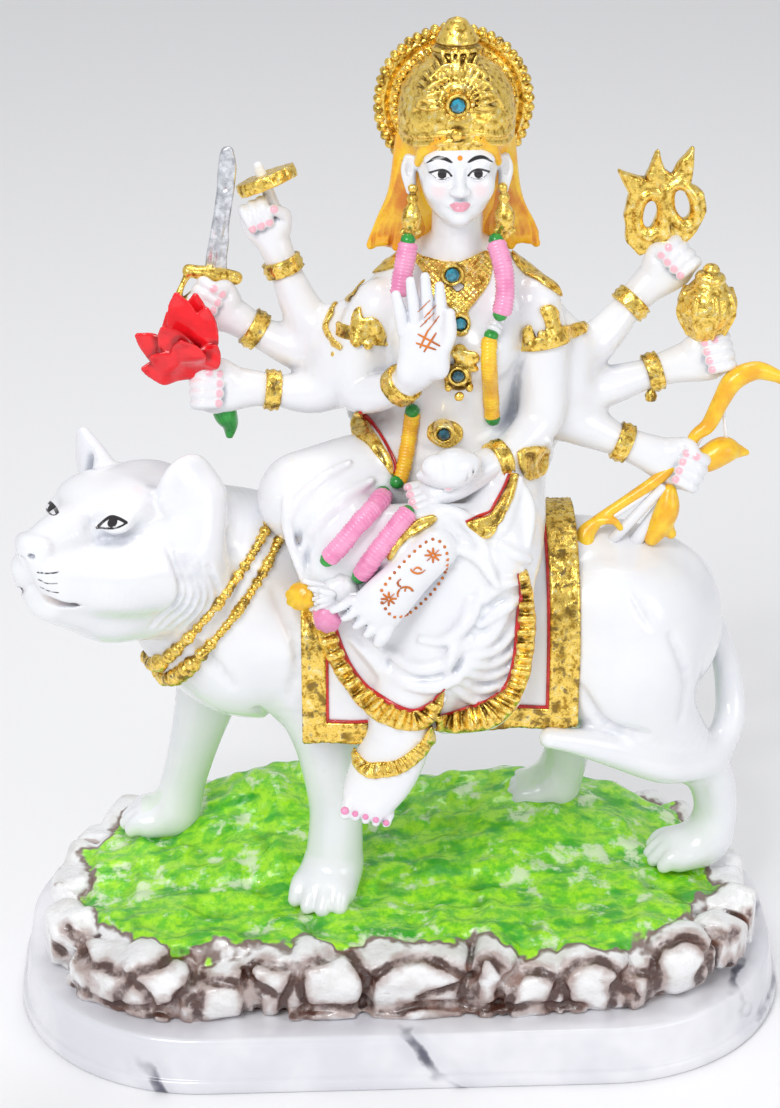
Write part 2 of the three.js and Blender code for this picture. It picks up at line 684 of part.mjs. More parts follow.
function weapons() {
  const oval = (x, z, halfWidth, halfHeight, lean) => {
    const points = [];
    for (let i = 0; i < 8; i++) {
      const angle = (2 * Math.PI * i) / 8;
      const up = halfHeight * Math.sin(angle);
      points.push([x + halfWidth * Math.cos(angle) + lean * up, z + up]);
    }
    return points;
  };
  const trident = [[70.5, 229], [66.5, 233], [65.6, 241], [67, 248], [63.4, 254.9], [71.5, 252], [72.6, 256],
    [74.9, 260.4], [77, 254.6], [79, 253.4], [81.6, 258], [85, 261.4], [85.4, 255], [84.6, 250.5],
    [88.8, 247.5], [89.6, 242], [87.4, 236], [83.5, 232], [77, 231]];
  return [
    plate(trident, 23, 3.4, { holes: [oval(73.2, 241.4, 1.9, 4.2, 0.06), oval(82.4, 244.2, 2.1, 4.4, -0.2)] }),
    // Mace head with its short neck above the fist
    turned([[0, -11], [3.2, -10.4], [6, -7], [8.6, -1.6], [7.6, 3.4], [4.6, 7], [2.5, 11], [0, 11.6]],
      [89.8, 14, 216.6], { turn: [0, 4, 0], around: 10 }),
    // Discus, seen nearly edge on
    turned([[0, -1.6], [8.8, -1.6], [8.8, 1.6], [0, 1.6]], [-37.2, 21.6, 253.2],
      { turn: [10, -20, 0], around: 14 }),
    // Sword: curved blade, guard and grip
    plate([[-55.6, 228], [-53.6, 240], [-50.6, 252], [-48.4, 263.6], [-46, 263], [-47, 250], [-48.4, 240],
      [-49.8, 230]], 17.4, 1.8),
    limb([[-60, 15.6, 228.6, 1.9], [-46.6, 16, 226.4, 2.1]], { side: [0, 1, 0], sides: 6 }),
    limb([[-54, 15, 224, 3], [-61.5, 12, 219, 2.6]], { side: [0, 1, 0], sides: 6 }),
    ...lotus(),
    ...bow(),
  ];
}

// Red lotus opening to the viewer's left, with its green stem end under the fist
function lotus() {
  return [
    turned([[0, -9], [4, -8], [8.4, -1], [10.4, 8], [6.4, 6.4], [3, 11], [0, 12]], [-62, -2.6, 211.6],
      { turn: [8, -48, 0], around: 8 }),
    limb([[-58, -2, 207, 3], [-50, 1, 198, 3]], { sides: 6 }),
    limb([[-49.8, 1.5, 191, 3.6], [-49.7, 1.6, 183.4, 1.6]], { sides: 6 }),
  ];
}

function bow() {
  const smallRound = { side: [0, 1, 0], sides: 6, round: 0.8 };
  return [
    limb([[109.4, 8, 196.6, 1.8], [103.9, 8, 198, 2.7], [97.6, 7, 195.4, 2.9], [94, 6, 189.4, 2.3],
      [90.6, 5, 182.4, 2.2], [86.4, 4, 179, 1.4], [84, 3.5, 172, 1.8]], smallRound),
    limb([[84, 3, 173, 1.8], [78, 1, 169, 1.8], [73.5, 0, 165.8, 1.7], [64.8, -1, 160, 1.5], [58, -2, 155.1, 1.9],
      [54.4, -3, 150.8, 2.8], [55.4, -4.5, 145.6, 3], [59.8, -6.5, 140.8, 2.2]], smallRound),
    limb([[88.6, 4, 171, 2.4], [95, 5, 175, 3.6], [101, 6.5, 173, 1.2]], smallRound),
    limb([[79, -0.5, 163.6, 2.6], [78, -1.5, 157.6, 3.2], [74.4, -2, 150, 2.8]], smallRound),
    limb([[81, 1.5, 165.5, 1.8], [73, 0.5, 155, 2.2], [66.6, 0, 146, 2]], smallRound),
  ];
}

// Faceted glass stones, each glued into its round gold setting, facing along -Y.
const stones = [
  { name: 'stone_crown', at: [14.9, -12.4, 285.2], width: stoneWidth, colour: colours.stone },
  { name: 'stone_necklace', at: [14.2, -7.4, 234.8], width: stoneWidth, colour: colours.stone },
  { name: 'stone_pendant', at: [16.3, -11.5, 221.8], width: stoneWidth * 0.85, colour: colours.stone },
  { name: 'stone_clasp', at: [15.6, -15.6, 207.5], width: stoneWidth * 0.85, colour: colours.darkStone },
  { name: 'stone_waist', at: [11.7, -16, 190], width: stoneWidth * 0.85, colour: colours.darkStone },
];

function stoneGeometry(width) {
  const radius = width / 2;
  const crownRise = 0.32 * width;
  const profile = [[0, 0], [radius, 0], [radius, 0.12 * width], [0.55 * radius, crownRise], [0, crownRise]];
  const geometry = new THREE.LatheGeometry(profile.map((p) => new THREE.Vector2(p[0], p[1])), 8);
  geometry.rotateX(Math.PI);
  return geometryOf(solidOf(geometry));
}

// A setting is a round cup with a low rim, and its seat keeps the clearance round the stone.
const seatRadius = (stone) => stone.width / 2 + stoneGap;
const facingViewer = { turn: [90, 0, 0], around: 16 };

function setting(stone) {
  const radius = seatRadius(stone) + settingWall;
  const profile = [[0, -settingDepth], [radius, -settingDepth], [radius, settingRise], [0, settingRise]];
  return turned(profile, stone.at, facingViewer);
}

function seat(stone) {
  const radius = seatRadius(stone);
  return turned([[0, 0], [radius, 0], [radius, stone.width], [0, stone.width]], stone.at, facingViewer);
}

// Assembly

const figure = joined([
  moundGeometry(),
  ...tigerParts(),
  saddleCloth(),
  ...body(),
  ...headParts(),
  ...armParts(),
  ...legParts(),
  ...ornaments(),
  ...weapons(),
  ...stones.map(setting),
]).subtract(joined(stones.map(seat)));

const root = new THREE.Group();
root.add(named('plinth', plinthGeometry(), colours.plinth, 0.25));

const standing = new THREE.Group();
standing.scale.setScalar(scale);
standing.position.z = plinthHeight - drawnFloor * scale;
standing.add(named('statue', geometryOf(figure), colours.statue, 0.22));
for (const stone of stones) {
  const mesh = named(stone.name, stoneGeometry(stone.width), stone.colour, 0.05);
  mesh.position.set(stone.at[0], stone.at[1] - stoneGap, stone.at[2]);
  standing.add(mesh);
}
root.add(standing);

export default root;
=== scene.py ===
"""Looks of the painted marble-dust figure of a goddess riding a white tiger.

Everything is worked out in millimetres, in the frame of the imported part, and scaled to metres
when a mesh is made: +Z up, +X towards the tiger's tail, the viewer on the -Y side.
"""

import math

import bmesh
import bpy
import numpy as np
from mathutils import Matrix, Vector


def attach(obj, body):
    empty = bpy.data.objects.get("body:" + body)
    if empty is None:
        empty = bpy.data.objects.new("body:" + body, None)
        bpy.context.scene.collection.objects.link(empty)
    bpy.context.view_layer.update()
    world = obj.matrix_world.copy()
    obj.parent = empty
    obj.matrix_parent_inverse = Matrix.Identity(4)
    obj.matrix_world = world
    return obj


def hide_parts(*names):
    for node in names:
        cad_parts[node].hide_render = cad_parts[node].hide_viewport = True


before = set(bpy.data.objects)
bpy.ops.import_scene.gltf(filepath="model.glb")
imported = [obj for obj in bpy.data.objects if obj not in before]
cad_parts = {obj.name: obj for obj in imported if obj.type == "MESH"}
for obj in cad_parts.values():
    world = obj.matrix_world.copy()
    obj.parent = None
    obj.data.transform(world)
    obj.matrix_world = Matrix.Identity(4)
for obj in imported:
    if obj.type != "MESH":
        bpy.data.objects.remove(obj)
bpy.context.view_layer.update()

MM = 0.001
BODY = "root"
COARSE = 1.0
# The distance that fills an empty clay grid, and the one that marks a point as unpainted
FAR = 9.0
UNPAINTED = 99.0
# The spread of random phases, one full turn
FULL_TURN = 6.283


# Lines and noise


def smooth_line(stations, steps):
    """Points along a smooth curve through the stations, each with its sizes."""
    stations = np.array(stations, float)
    if len(stations) < 3:
        share = np.linspace(0, 1, steps + 1)[:, None]
        return stations[0] * (1 - share) + stations[-1] * share
    first = 2 * stations[0] - stations[1]
    last = 2 * stations[-1] - stations[-2]
    around = np.vstack([first, stations, last])
    line = []
    for i in range(1, len(around) - 2):
        a, b, c, d = around[i - 1 : i + 3]
        for t in np.arange(steps) / steps:
            line.append(
                0.5 * (
                    2 * b + (c - a) * t + (2 * a - 5 * b + 4 * c - d) * t**2
                    + (3 * b - a - 3 * c + d) * t**3
                )
            )
    line.append(stations[-1])
    return np.array(line)


def even_line(points, spacing):
    """The same path with its points at even distances."""
    points = np.array(points, float)
    lengths = np.linalg.norm(np.diff(points[:, :3], axis=0), axis=1)
    walked = np.concatenate([[0], np.cumsum(lengths)])
    count = max(2, int(round(walked[-1] / spacing)) + 1)
    at = np.linspace(0, walked[-1], count)
    return np.column_stack([np.interp(at, walked, points[:, k]) for k in range(points.shape[1])])


RIPPLE_WAVES = 9


def ripple(x, y, z, size, seed):
    """Soft random unevenness between about -1 and 1, with lumps of about the given size."""
    draw = np.random.default_rng(seed)
    total = 0
    for _ in range(RIPPLE_WAVES):
        way = draw.normal(size=3)
        way *= (0.7 + 0.6 * draw.random()) * 2 / (size * np.linalg.norm(way))
        total = total + np.sin(x * way[0] + y * way[1] + z * way[2] + draw.random() * FULL_TURN)
    return total / math.sqrt(RIPPLE_WAVES)


def turn_matrix(turn):
    """Turning by degrees about X, then Y, then Z."""
    a, b, c = np.radians(turn)
    about_x = np.array([[1, 0, 0], [0, math.cos(a), -math.sin(a)], [0, math.sin(a), math.cos(a)]])
    about_y = np.array([[math.cos(b), 0, math.sin(b)], [0, 1, 0], [-math.sin(b), 0, math.cos(b)]])
    about_z = np.array([[math.cos(c), -math.sin(c), 0], [math.sin(c), math.cos(c), 0], [0, 0, 1]])
    return about_z @ about_y @ about_x


def unit(v):
    v = np.array(v, float)
    return v / np.linalg.norm(v)


# Clay: forms pressed together on a grid of distances, then skinned


class Clay:
    """Distances to the surface on a grid, in millimetres, below zero inside."""

    def __init__(self, low, high, voxel):
        self.voxel = voxel * COARSE
        self.low = np.array(low, float)
        count = np.ceil((np.array(high) - self.low) / self.voxel).astype(int) + 1
        self.axes = [(self.low[k] + self.voxel * np.arange(count[k])).astype(np.float32) for k in range(3)]
        self.value = np.full(count, FAR, np.float32)

    def window(self, low, high):
        cut = []
        for k in range(3):
            a = int(math.floor((low[k] - self.low[k]) / self.voxel))
            b = int(math.ceil((high[k] - self.low[k]) / self.voxel)) + 1
            a = min(max(a, 0), len(self.axes[k]))
            cut.append(slice(a, min(max(b, a), len(self.axes[k]))))
        return tuple(cut)

    def points(self, cut=(slice(None),) * 3):
        x, y, z = (self.axes[k][cut[k]] for k in range(3))
        return x[:, None, None], y[None, :, None], z[None, None, :]

    def press(self, form, cut, blend, carve=False):
        """Adds a form, or carves it away, with a fillet of about the blend's size."""
        old = self.value[cut]
        new = -form if carve else form
        gap = np.abs(old - new)
        fillet = np.maximum(blend - gap, 0) ** 2 / (4 * max(blend, 1e-6))
        self.value[cut] = np.maximum(old, new) + fillet if carve else np.minimum(old, new) - fillet

    def limb(self, stations, side=(1, 0, 0), blend=2.0, steps=6, carve=False):
        """A bent form through stations [x, y, z, half width along the side, half depth]."""
        line = smooth_line([list(s) + [s[3]] * (5 - len(s)) for s in stations], steps)
        reach = blend + 3 * self.voxel
        wide = line[:, 3:].max() + reach
        cut = self.window(line[:, :3].min(0) - wide, line[:, :3].max(0) + wide)
        near = np.full([s.stop - s.start for s in cut], FAR, np.float32)
        if not near.size:
            return
        for a, b in zip(line, line[1:]):
            room = max(a[3:].max(), b[3:].max()) + reach
            inner = self.window(np.minimum(a[:3], b[:3]) - room, np.maximum(a[:3], b[:3]) + room)
            x, y, z = self.points(inner)
            here = tuple(slice(i.start - c.start, i.stop - c.start) for i, c in zip(inner, cut))
            near[here] = np.minimum(near[here], link_distance(x, y, z, a, b, side))
        self.press(near, cut, blend, carve)

    def ball(self, centre, radii, turn=(0, 0, 0), blend=2.0, carve=False):
        radii = np.array(radii, float)
        centre = np.array(centre, float)
        reach = radii.max() + blend + 3 * self.voxel
        cut = self.window(centre - reach, centre + reach)
        x, y, z = self.points(cut)
        u, v, w = turned_in(x - centre[0], y - centre[1], z - centre[2], turn)
        far = np.sqrt((u / radii[0]) ** 2 + (v / radii[1]) ** 2 + (w / radii[2]) ** 2)
        slope = np.sqrt((u / radii[0] ** 2) ** 2 + (v / radii[1] ** 2) ** 2 + (w / radii[2] ** 2) ** 2)
        self.press((far * (far - 1) / (slope + 1e-6)).astype(np.float32), cut, blend, carve)

    def block(self, centre, half, corner, turn, blend):
        """A box with rounded corners."""
        half = np.array(half, float) - corner
        centre = np.array(centre, float)
        reach = np.linalg.norm(half) + corner + blend + 3 * self.voxel
        cut = self.window(centre - reach, centre + reach)
        x, y, z = self.points(cut)
        u, v, w = turned_in(x - centre[0], y - centre[1], z - centre[2], turn)
        u, v, w = np.abs(u) - half[0], np.abs(v) - half[1], np.abs(w) - half[2]
        out = np.sqrt(np.maximum(u, 0) ** 2 + np.maximum(v, 0) ** 2 + np.maximum(w, 0) ** 2)
        self.press(
            (out + np.minimum(np.maximum(np.maximum(u, v), w), 0) - corner).astype(np.float32),
            cut,
            blend,
        )

    def sample(self, points):
        """The distances at any points, taken evenly between the grid's own."""
        place = (np.asarray(points, float) - self.low) / self.voxel
        place = np.clip(place, 0, np.array(self.value.shape) - 1.001)
        base = place.astype(int)
        part = place - base
        i, j, k = base.T
        a, b, c = part.T
        total = 0
        for di, wi in ((0, 1 - a), (1, a)):
            for dj, wj in ((0, 1 - b), (1, b)):
                for dk, wk in ((0, 1 - c), (1, c)):
                    total = total + wi * wj * wk * self.value[i + di, j + dj, k + dk]
        return total

    def slope(self, points):
        step = 0.6 * self.voxel
        parts = []
        for k in range(3):
            offset = np.zeros(3)
            offset[k] = step
            parts.append(self.sample(points + offset) - self.sample(points - offset))
        parts = np.array(parts).T
        return parts / (np.linalg.norm(parts, axis=1)[:, None] + 1e-9)

    def meet(self, points, way=(0, 1, 0), start=40.0):
        """Where lines through the points, along the way or each its own, first meet the surface."""
        points = np.array(points, float)[:, :3]
        way = np.broadcast_to(np.array(way, float), points.shape)
        way = way / np.linalg.norm(way, axis=1)[:, None]
        ray = points - start * way
        found = np.zeros(len(ray), bool)
        result = points.copy()
        last = self.sample(ray)
        step = 0.5 * self.voxel
        for _ in range(int(2.2 * start / step)):
            ray = ray + step * way
            now = self.sample(ray)
            hit = ~found & (now < 0) & (last >= 0)
            if hit.any():
                share = (last[hit] / (last[hit] - now[hit] + 1e-9))[:, None]
                result[hit] = ray[hit] - (1 - share) * step * way[hit]
                found |= hit
            last = now
        return result

    def drape(self, points, ways, radius, lift=0.0, blend=1.0, flat=1.0, carve=False):
        """A ridge laid over the surface where sight lines through the points meet it."""
        met = self.meet(points, ways)
        depth = (met * ways).sum(1)
        soft = np.convolve(np.pad(depth, 2, mode="edge"), np.ones(5) / 5, mode="valid")
        lift = np.broadcast_to(lift, depth.shape)
        met = met + ((soft - depth) - lift)[:, None] * ways
        share = np.linspace(0, 1, len(met))
        size = radius * np.sin(np.pi * np.clip(share, 0.05, 0.95)) ** 0.4
        way = unit(np.cross(met[-1] - met[0], ways[0]))
        self.limb(np.column_stack([met, size, size * flat]), side=way, blend=blend, steps=1, carve=carve)

    def stroke(self, points, radius, lift=0.0, blend=1.0, carve=False, way=(0, 1, 0), steps=5, start=40.0):
        """A ridge or a groove drawn over the surface, through points seen along the way."""
        line = smooth_line(points, steps)
        met = self.meet(line, way, start)
        depth = met @ unit(way)
        soft = np.convolve(np.pad(depth, 2, mode="edge"), np.ones(5) / 5, mode="valid")
        met = met + (soft - depth)[:, None] * unit(way) - lift * unit(way)
        share = np.linspace(0, 1, len(met))
        size = radius * np.sin(np.pi * np.clip(share, 0.04, 0.96)) ** 0.5
        self.limb(np.column_stack([met, size, size]), blend=blend, steps=1, carve=carve)

    def skin(self):
        """The surface as points and four-sided faces, turned outwards, with its normals."""
        value = self.value
        inside = value < 0
        full = inside.astype(np.uint8)
        corners = [(a, b, c) for a in (0, 1) for b in (0, 1) for c in (0, 1)]
        size = np.array(value.shape) - 1

        def shifted(array, o):
            return array[o[0] : o[0] + size[0], o[1] : o[1] + size[1], o[2] : o[2] + size[2]]

        count = sum(shifted(full, o) for o in corners)
        cells = np.argwhere((count > 0) & (count < 8))
        index = np.full(size, -1, np.int64)
        index[tuple(cells.T)] = np.arange(len(cells))
        held = np.array([value[tuple((cells + o).T)] for o in corners])
        total = np.zeros((len(cells), 3))
        crossings = np.zeros(len(cells))
        for p in range(8):
            for q in range(p + 1, 8):
                if sum(a != b for a, b in zip(corners[p], corners[q])) != 1:
                    continue
                cross = (held[p] < 0) != (held[q] < 0)
                share = np.where(cross, held[p] / (held[p] - held[q] + 1e-12), 0)[:, None]
                place = np.array(corners[p]) * (1 - share) + np.array(corners[q]) * share
                total += place * cross[:, None]
                crossings += cross
        points = self.low + self.voxel * (cells + total / crossings[:, None])
        faces = []
        for axis in range(3):
            one, two = [(1, 2), (2, 0), (0, 1)][axis]
            ahead = [slice(None)] * 3
            behind = [slice(None)] * 3
            ahead[axis], behind[axis] = slice(1, None), slice(None, -1)
            change = inside[tuple(ahead)] != inside[tuple(behind)]
            edges = np.argwhere(change)
            edges = edges[(edges[:, one] > 0) & (edges[:, two] > 0)]
            edges = edges[(edges[:, one] < size[one]) & (edges[:, two] < size[two])]
            step_one = np.eye(3, dtype=int)[one]
            step_two = np.eye(3, dtype=int)[two]
            around = [edges - step_one - step_two, edges - step_two, edges, edges - step_one]
            quad = np.array([index[tuple(c.T)] for c in around]).T
            out = inside[tuple(edges.T)]
            quad[~out] = quad[~out][:, ::-1]
            faces.append(quad)
        faces = np.vstack(faces)
        for _ in range(2):
            normals = self.slope(points)
            points = points - np.clip(self.sample(points), -0.4, 0.4)[:, None] * normals
        return points, faces, self.slope(points)


def turned_in(x, y, z, turn):
    m = turn_matrix(turn)
    return tuple(x * m[0, k] + y * m[1, k] + z * m[2, k] for k in range(3))


def link_distance(x, y, z, a, b, side):
    """The distance to a straight length whose oval section changes from one end to the other."""
    along = b[:3] - a[:3]
    length = np.linalg.norm(along) + 1e-9
    tangent = along / length
    across = np.array(side, float) - np.dot(side, tangent) * tangent
    across /= np.linalg.norm(across) + 1e-9
    deep = np.cross(tangent, across)
    x, y, z = x - a[0], y - a[1], z - a[2]
    w = x * tangent[0] + y * tangent[1] + z * tangent[2]
    share = np.clip(w / length, 0, 1)
    w = w - share * length
    u = x * across[0] + y * across[1] + z * across[2]
    v = x * deep[0] + y * deep[1] + z * deep[2]
    wide = a[3] + share * (b[3] - a[3])
    thick = a[4] + share * (b[4] - a[4])
    end = np.minimum(wide, thick)
    u, v, w = u / wide, v / thick, w / end
    far = np.sqrt(u**2 + v**2 + w**2)
    slope = np.sqrt((u / wide) ** 2 + (v / thick) ** 2 + (w / end) ** 2)
    return (far * (far - 1) / (slope + 1e-6)).astype(np.float32)


def roughen(clay, amount, size, seed):
    """Small unevenness all over the clay, as in a cast finished by hand."""
    x, y, z = clay.points()
    clay.value += (amount * ripple(x, y, z, size, seed)).astype(np.float32)


def creased(name, clay, reach):
    """The clay's mesh, with its creases marked."""
    points, faces, normals = clay.skin()
    return mesh_of(name, points, faces, {"crease": crease(clay, points, normals, reach)})


def mesh_of(name, points, faces, marks=None, smooth=True):
    """A mesh object at the origin from millimetre points, with a float mark for each point."""
    mesh = bpy.data.meshes.new(name)
    if isinstance(faces, np.ndarray):
        width = faces.shape[1]
        mesh.vertices.add(len(points))
        mesh.vertices.foreach_set("co", (np.asarray(points) * MM).astype(np.float32).ravel())
        mesh.loops.add(faces.size)
        mesh.loops.foreach_set("vertex_index", faces.astype(np.int32).ravel())
        mesh.polygons.add(len(faces))
        mesh.polygons.foreach_set("loop_start", np.arange(0, faces.size, width, dtype=np.int32))
        mesh.update(calc_edges=True)
    else:
        mesh.from_pydata([tuple(np.array(p) * MM) for p in points], [], faces)
    mesh.validate()
    if smooth:
        mesh.polygons.foreach_set("use_smooth", [True] * len(mesh.polygons))
    for mark, values in (marks or {}).items():
        layer = mesh.attributes.new(mark, "FLOAT", "POINT")
        layer.data.foreach_set("value", np.asarray(values, np.float32))
    mesh.update()
    piece = bpy.data.objects.new(name, mesh)
    bpy.context.scene.collection.objects.link(piece)
    return piece


def near_line(points, line):
    """How far each point is from a path, in millimetres."""
    line = np.array(line, float)[:, :3]
    best = np.full(len(points), UNPAINTED)
    box_low, box_high = line.min(0) - 6, line.max(0) + 6
    close = np.all((points > box_low) & (points < box_high), axis=1)
    some = points[close]
    near = np.full(len(some), UNPAINTED)
    for a, b in zip(line, line[1:]):
        along = b - a
        share = np.clip((some - a) @ along / (along @ along + 1e-9), 0, 1)
        near = np.minimum(near, np.linalg.norm(some - a - share[:, None] * along, axis=1))
    best[close] = near
    return best


def crease(clay, points, normals, reach):
    """How deep in a crease each point is, from 0 in the open to 1."""
    return np.clip(1 - clay.sample(points + reach * normals) / reach, 0, 1)


# Share of its faces that each large cast keeps
SHARES = {
    "rock_and_grass": 0.62, "rider_cast": 0.55, "tiger_head_cast": 0.5, "tiger_body_cast": 0.4,
    "crown_cast": 0.6, "hair_cast": 0.5, "head_cast": 0.75, "jewellery": 0.6, "hem_gold": 0.55,
    "sash_gold": 0.6, "lotus_bloom": 0.5, "bow": 0.5, "trident_head": 0.6, "mace_head": 0.6, "conch": 0.6,
    "sword_guard": 0.6, "anklet": 0.6, "discus": 0.6,
}
HAND_SHARE = 0.55
FINE_MARKS = ("ink", "lips", "eyes", "dot", "nails")


def thinned(piece, share):
    """Takes faces away where a piece is plain and keeps them along its painted lines."""
    count = len(piece.data.vertices)
    plain = np.ones(count, bool)
    for mark in FINE_MARKS:
        layer = piece.data.attributes.get(mark)
        if layer is not None:
            values = np.empty(count, np.float32)
            layer.data.foreach_get("value", values)
            plain &= np.abs(values) > 1.2
    group = piece.vertex_groups.new(name="plain")
    group.add(np.nonzero(plain)[0].tolist(), 1.0, "REPLACE")
    modifier = piece.modifiers.new("thin", "DECIMATE")
    modifier.ratio = share
    modifier.vertex_group = "plain"
    graph = bpy.context.evaluated_depsgraph_get()
    mesh = bpy.data.meshes.new_from_object(
        piece.evaluated_get(graph), preserve_all_data_layers=True, depsgraph=graph
    )
    piece.modifiers.clear()
    piece.vertex_groups.clear()
    old = piece.data
    name = old.name
    piece.data = mesh
    bpy.data.meshes.remove(old)
    mesh.name = name


def keep(piece, material):
    """A finished piece: thinned, with its material and the body it rides on."""
    share = HAND_SHARE if piece.name.endswith("_hand") else SHARES.get(piece.name)
    if share:
        thinned(piece, share)
    piece.data.materials.clear()
    piece.data.materials.append(material)
    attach(piece, BODY)
    return piece


# Finishes


def node_group(name, inputs, outputs):
    """An empty shader group with named float, colour or vector sockets."""
    group = bpy.data.node_groups.new(name, "ShaderNodeTree")
    for label, kind, value in inputs:
        socket = group.interface.new_socket(label, in_out="INPUT", socket_type=kind)
        if value is not None:
            socket.default_value = value
    for label, kind in outputs:
        group.interface.new_socket(label, in_out="OUTPUT", socket_type=kind)
    return group


class Bench:
    """A node tree being put together, in a material or in a group."""

    def __init__(self, tree):
        self.tree = tree

    def add(self, kind, inputs=None, **settings):
        node = self.tree.nodes.new(kind)
        for key, value in settings.items():
            setattr(node, key, value)
        for key, value in (inputs or {}).items():
            if isinstance(value, bpy.types.NodeSocket):
                self.tree.links.new(value, node.inputs[key])
            else:
                node.inputs[key].default_value = value
        return node

    def object_place(self):
        return self.add("ShaderNodeTexCoord").outputs["Object"]

    def mark(self, name):
        return self.add("ShaderNodeAttribute", attribute_name=name).outputs["Fac"]

    def noise(self, place, size_mm, detail=3.0, roughness=0.55):
        """Noise whose lumps are about the given size."""
        return self.add(
            "ShaderNodeTexNoise",
            {"Vector": place, "Scale": 1000 / size_mm, "Detail": detail, "Roughness": roughness},
        ).outputs["Fac"]

    def span(self, value, low, high, to_low=0.0, to_high=1.0, soft=True):
        return self.add(
            "ShaderNodeMapRange",
            {"Value": value, "From Min": low, "From Max": high, "To Min": to_low, "To Max": to_high},
            interpolation_type="SMOOTHSTEP" if soft else "LINEAR",
        ).outputs["Result"]

    def math(self, operation, a, b=0.0):
        return self.add("ShaderNodeMath", {0: a, 1: b}, operation=operation).outputs[0]

    def mix(self, share, a, b):
        node = self.add("ShaderNodeMix", data_type="RGBA")
        for socket, value in zip((node.inputs[0], node.inputs[6], node.inputs[7]), (share, a, b)):
            if isinstance(value, bpy.types.NodeSocket):
                self.tree.links.new(value, socket)
            else:
                socket.default_value = value
        return node.outputs[2]


class Finish(Bench):
    """A material with one Principled shader."""

    def __init__(self, name, **constants):
        self.material = bpy.data.materials.new(name)
        self.material.use_nodes = True
        super().__init__(self.material.node_tree)
        self.shader = self.tree.nodes["Principled BSDF"]
        for key, value in constants.items():
            self.shader.inputs[key.replace("_", " ")].default_value = value

    def feed(self, **sockets):
        for key, value in sockets.items():
            self.tree.links.new(value, self.shader.inputs[key.replace("_", " ")])
        return self

    def bump(self, height, distance_mm, strength=1.0):
        node = self.add("ShaderNodeBump", {
            "Height": height, "Distance": distance_mm * MM, "Strength": strength,
        })
        self.tree.links.new(node.outputs["Normal"], self.shader.inputs["Normal"])
        return self

    def group(self, tree, inputs):
        return self.add("ShaderNodeGroup", inputs, node_tree=tree)


def colour(red, green, blue):
    return (red, green, blue, 1.0)


def make_wash_and_shade():
    """A darker colour over a base colour in its creases, broken up by noise: thin dark paint that runs into
    the rocks' creases, and painted shade in the creases of the other finishes.
    """
    group = node_group(
        "crease_wash_and_shade",
        [
            ("Base", "NodeSocketColor", colour(0.8, 0.8, 0.8)),
            ("Wash_and_shade", "NodeSocketColor", colour(0.3, 0.2, 0.1)),
            ("Crease", "NodeSocketFloat", 0.0),
            ("Low", "NodeSocketFloat", 0.1),
            ("High", "NodeSocketFloat", 0.8),
            ("Strength", "NodeSocketFloat", 1.0),
            ("Patch", "NodeSocketFloat", 3.0),
        ],
        [("Color", "NodeSocketColor"), ("Mask", "NodeSocketFloat")],
    )
    bench = Bench(group)
    given = bench.add("NodeGroupInput").outputs
    per_metre = bench.math("DIVIDE", 1000.0, given["Patch"])
    patches = bench.add(
        "ShaderNodeTexNoise", {"Vector": bench.object_place(), "Scale": per_metre, "Detail": 4.0}
    ).outputs["Fac"]
    uneven = bench.math("MULTIPLY", given["Crease"], bench.span(patches, 0.25, 0.7, 0.55, 1.25))
    mask = bench.add(
        "ShaderNodeMapRange",
        {"Value": uneven, "From Min": given["Low"], "From Max": given["High"]},
        interpolation_type="SMOOTHSTEP",
    ).outputs["Result"]
    mask = bench.math("MULTIPLY", mask, given["Strength"])
    result = bench.mix(mask, given["Base"], given["Wash_and_shade"])
    bench.add("NodeGroupOutput", {"Color": result, "Mask": mask})
    return group


def make_gold():
    """Crumpled gold leaf with its reflections painted in: bright patches and pale painted highlights over
    darker gold, and painted shade of olive brown in the hollows.
    """
    group = node_group(
        "gold_leaf",
        [("Crease", "NodeSocketFloat", 0.0), ("Grain", "NodeSocketFloat", 1.5)],
        [("Color", "NodeSocketColor"), ("Roughness", "NodeSocketFloat"), ("Height", "NodeSocketFloat")],
    )
    bench = Bench(group)
    given = bench.add("NodeGroupInput").outputs
    place = bench.object_place()
    per_metre = bench.math("DIVIDE", 1000.0, given["Grain"])
    grains = bench.add(
        "ShaderNodeTexNoise", {"Vector": place, "Scale": per_metre, "Detail": 3.0, "Roughness": 0.5}
    ).outputs["Fac"]
    fine = bench.noise(place, 0.55, 2.0)
    # Painted reflections: darker and brighter gold in noise patches, then pale yellow painted highlights
    tone = bench.mix(bench.span(grains, 0.32, 0.5), colour(0.46, 0.26, 0.03), colour(1.0, 0.7, 0.15))
    tone = bench.mix(bench.span(grains, 0.56, 0.7, 0, 0.9), tone, colour(1.0, 0.88, 0.45))
    tone = bench.mix(bench.span(fine, 0.3, 0.5, 0.3, 0.0), tone, colour(0.3, 0.17, 0.02))
    # Painted shade: dark olive brown in the creases
    dark = bench.span(given["Crease"], 0.12, 0.7, 0.0, 0.9)
    tone = bench.mix(dark, tone, colour(0.17, 0.085, 0.012))
    rough = bench.span(bench.noise(place, 2.5), 0.3, 0.7, 0.16, 0.34)
    height = bench.math("ADD", grains, bench.math("MULTIPLY", fine, 0.25))
    bench.add("NodeGroupOutput", {"Color": tone, "Roughness": rough, "Height": height})
    return group


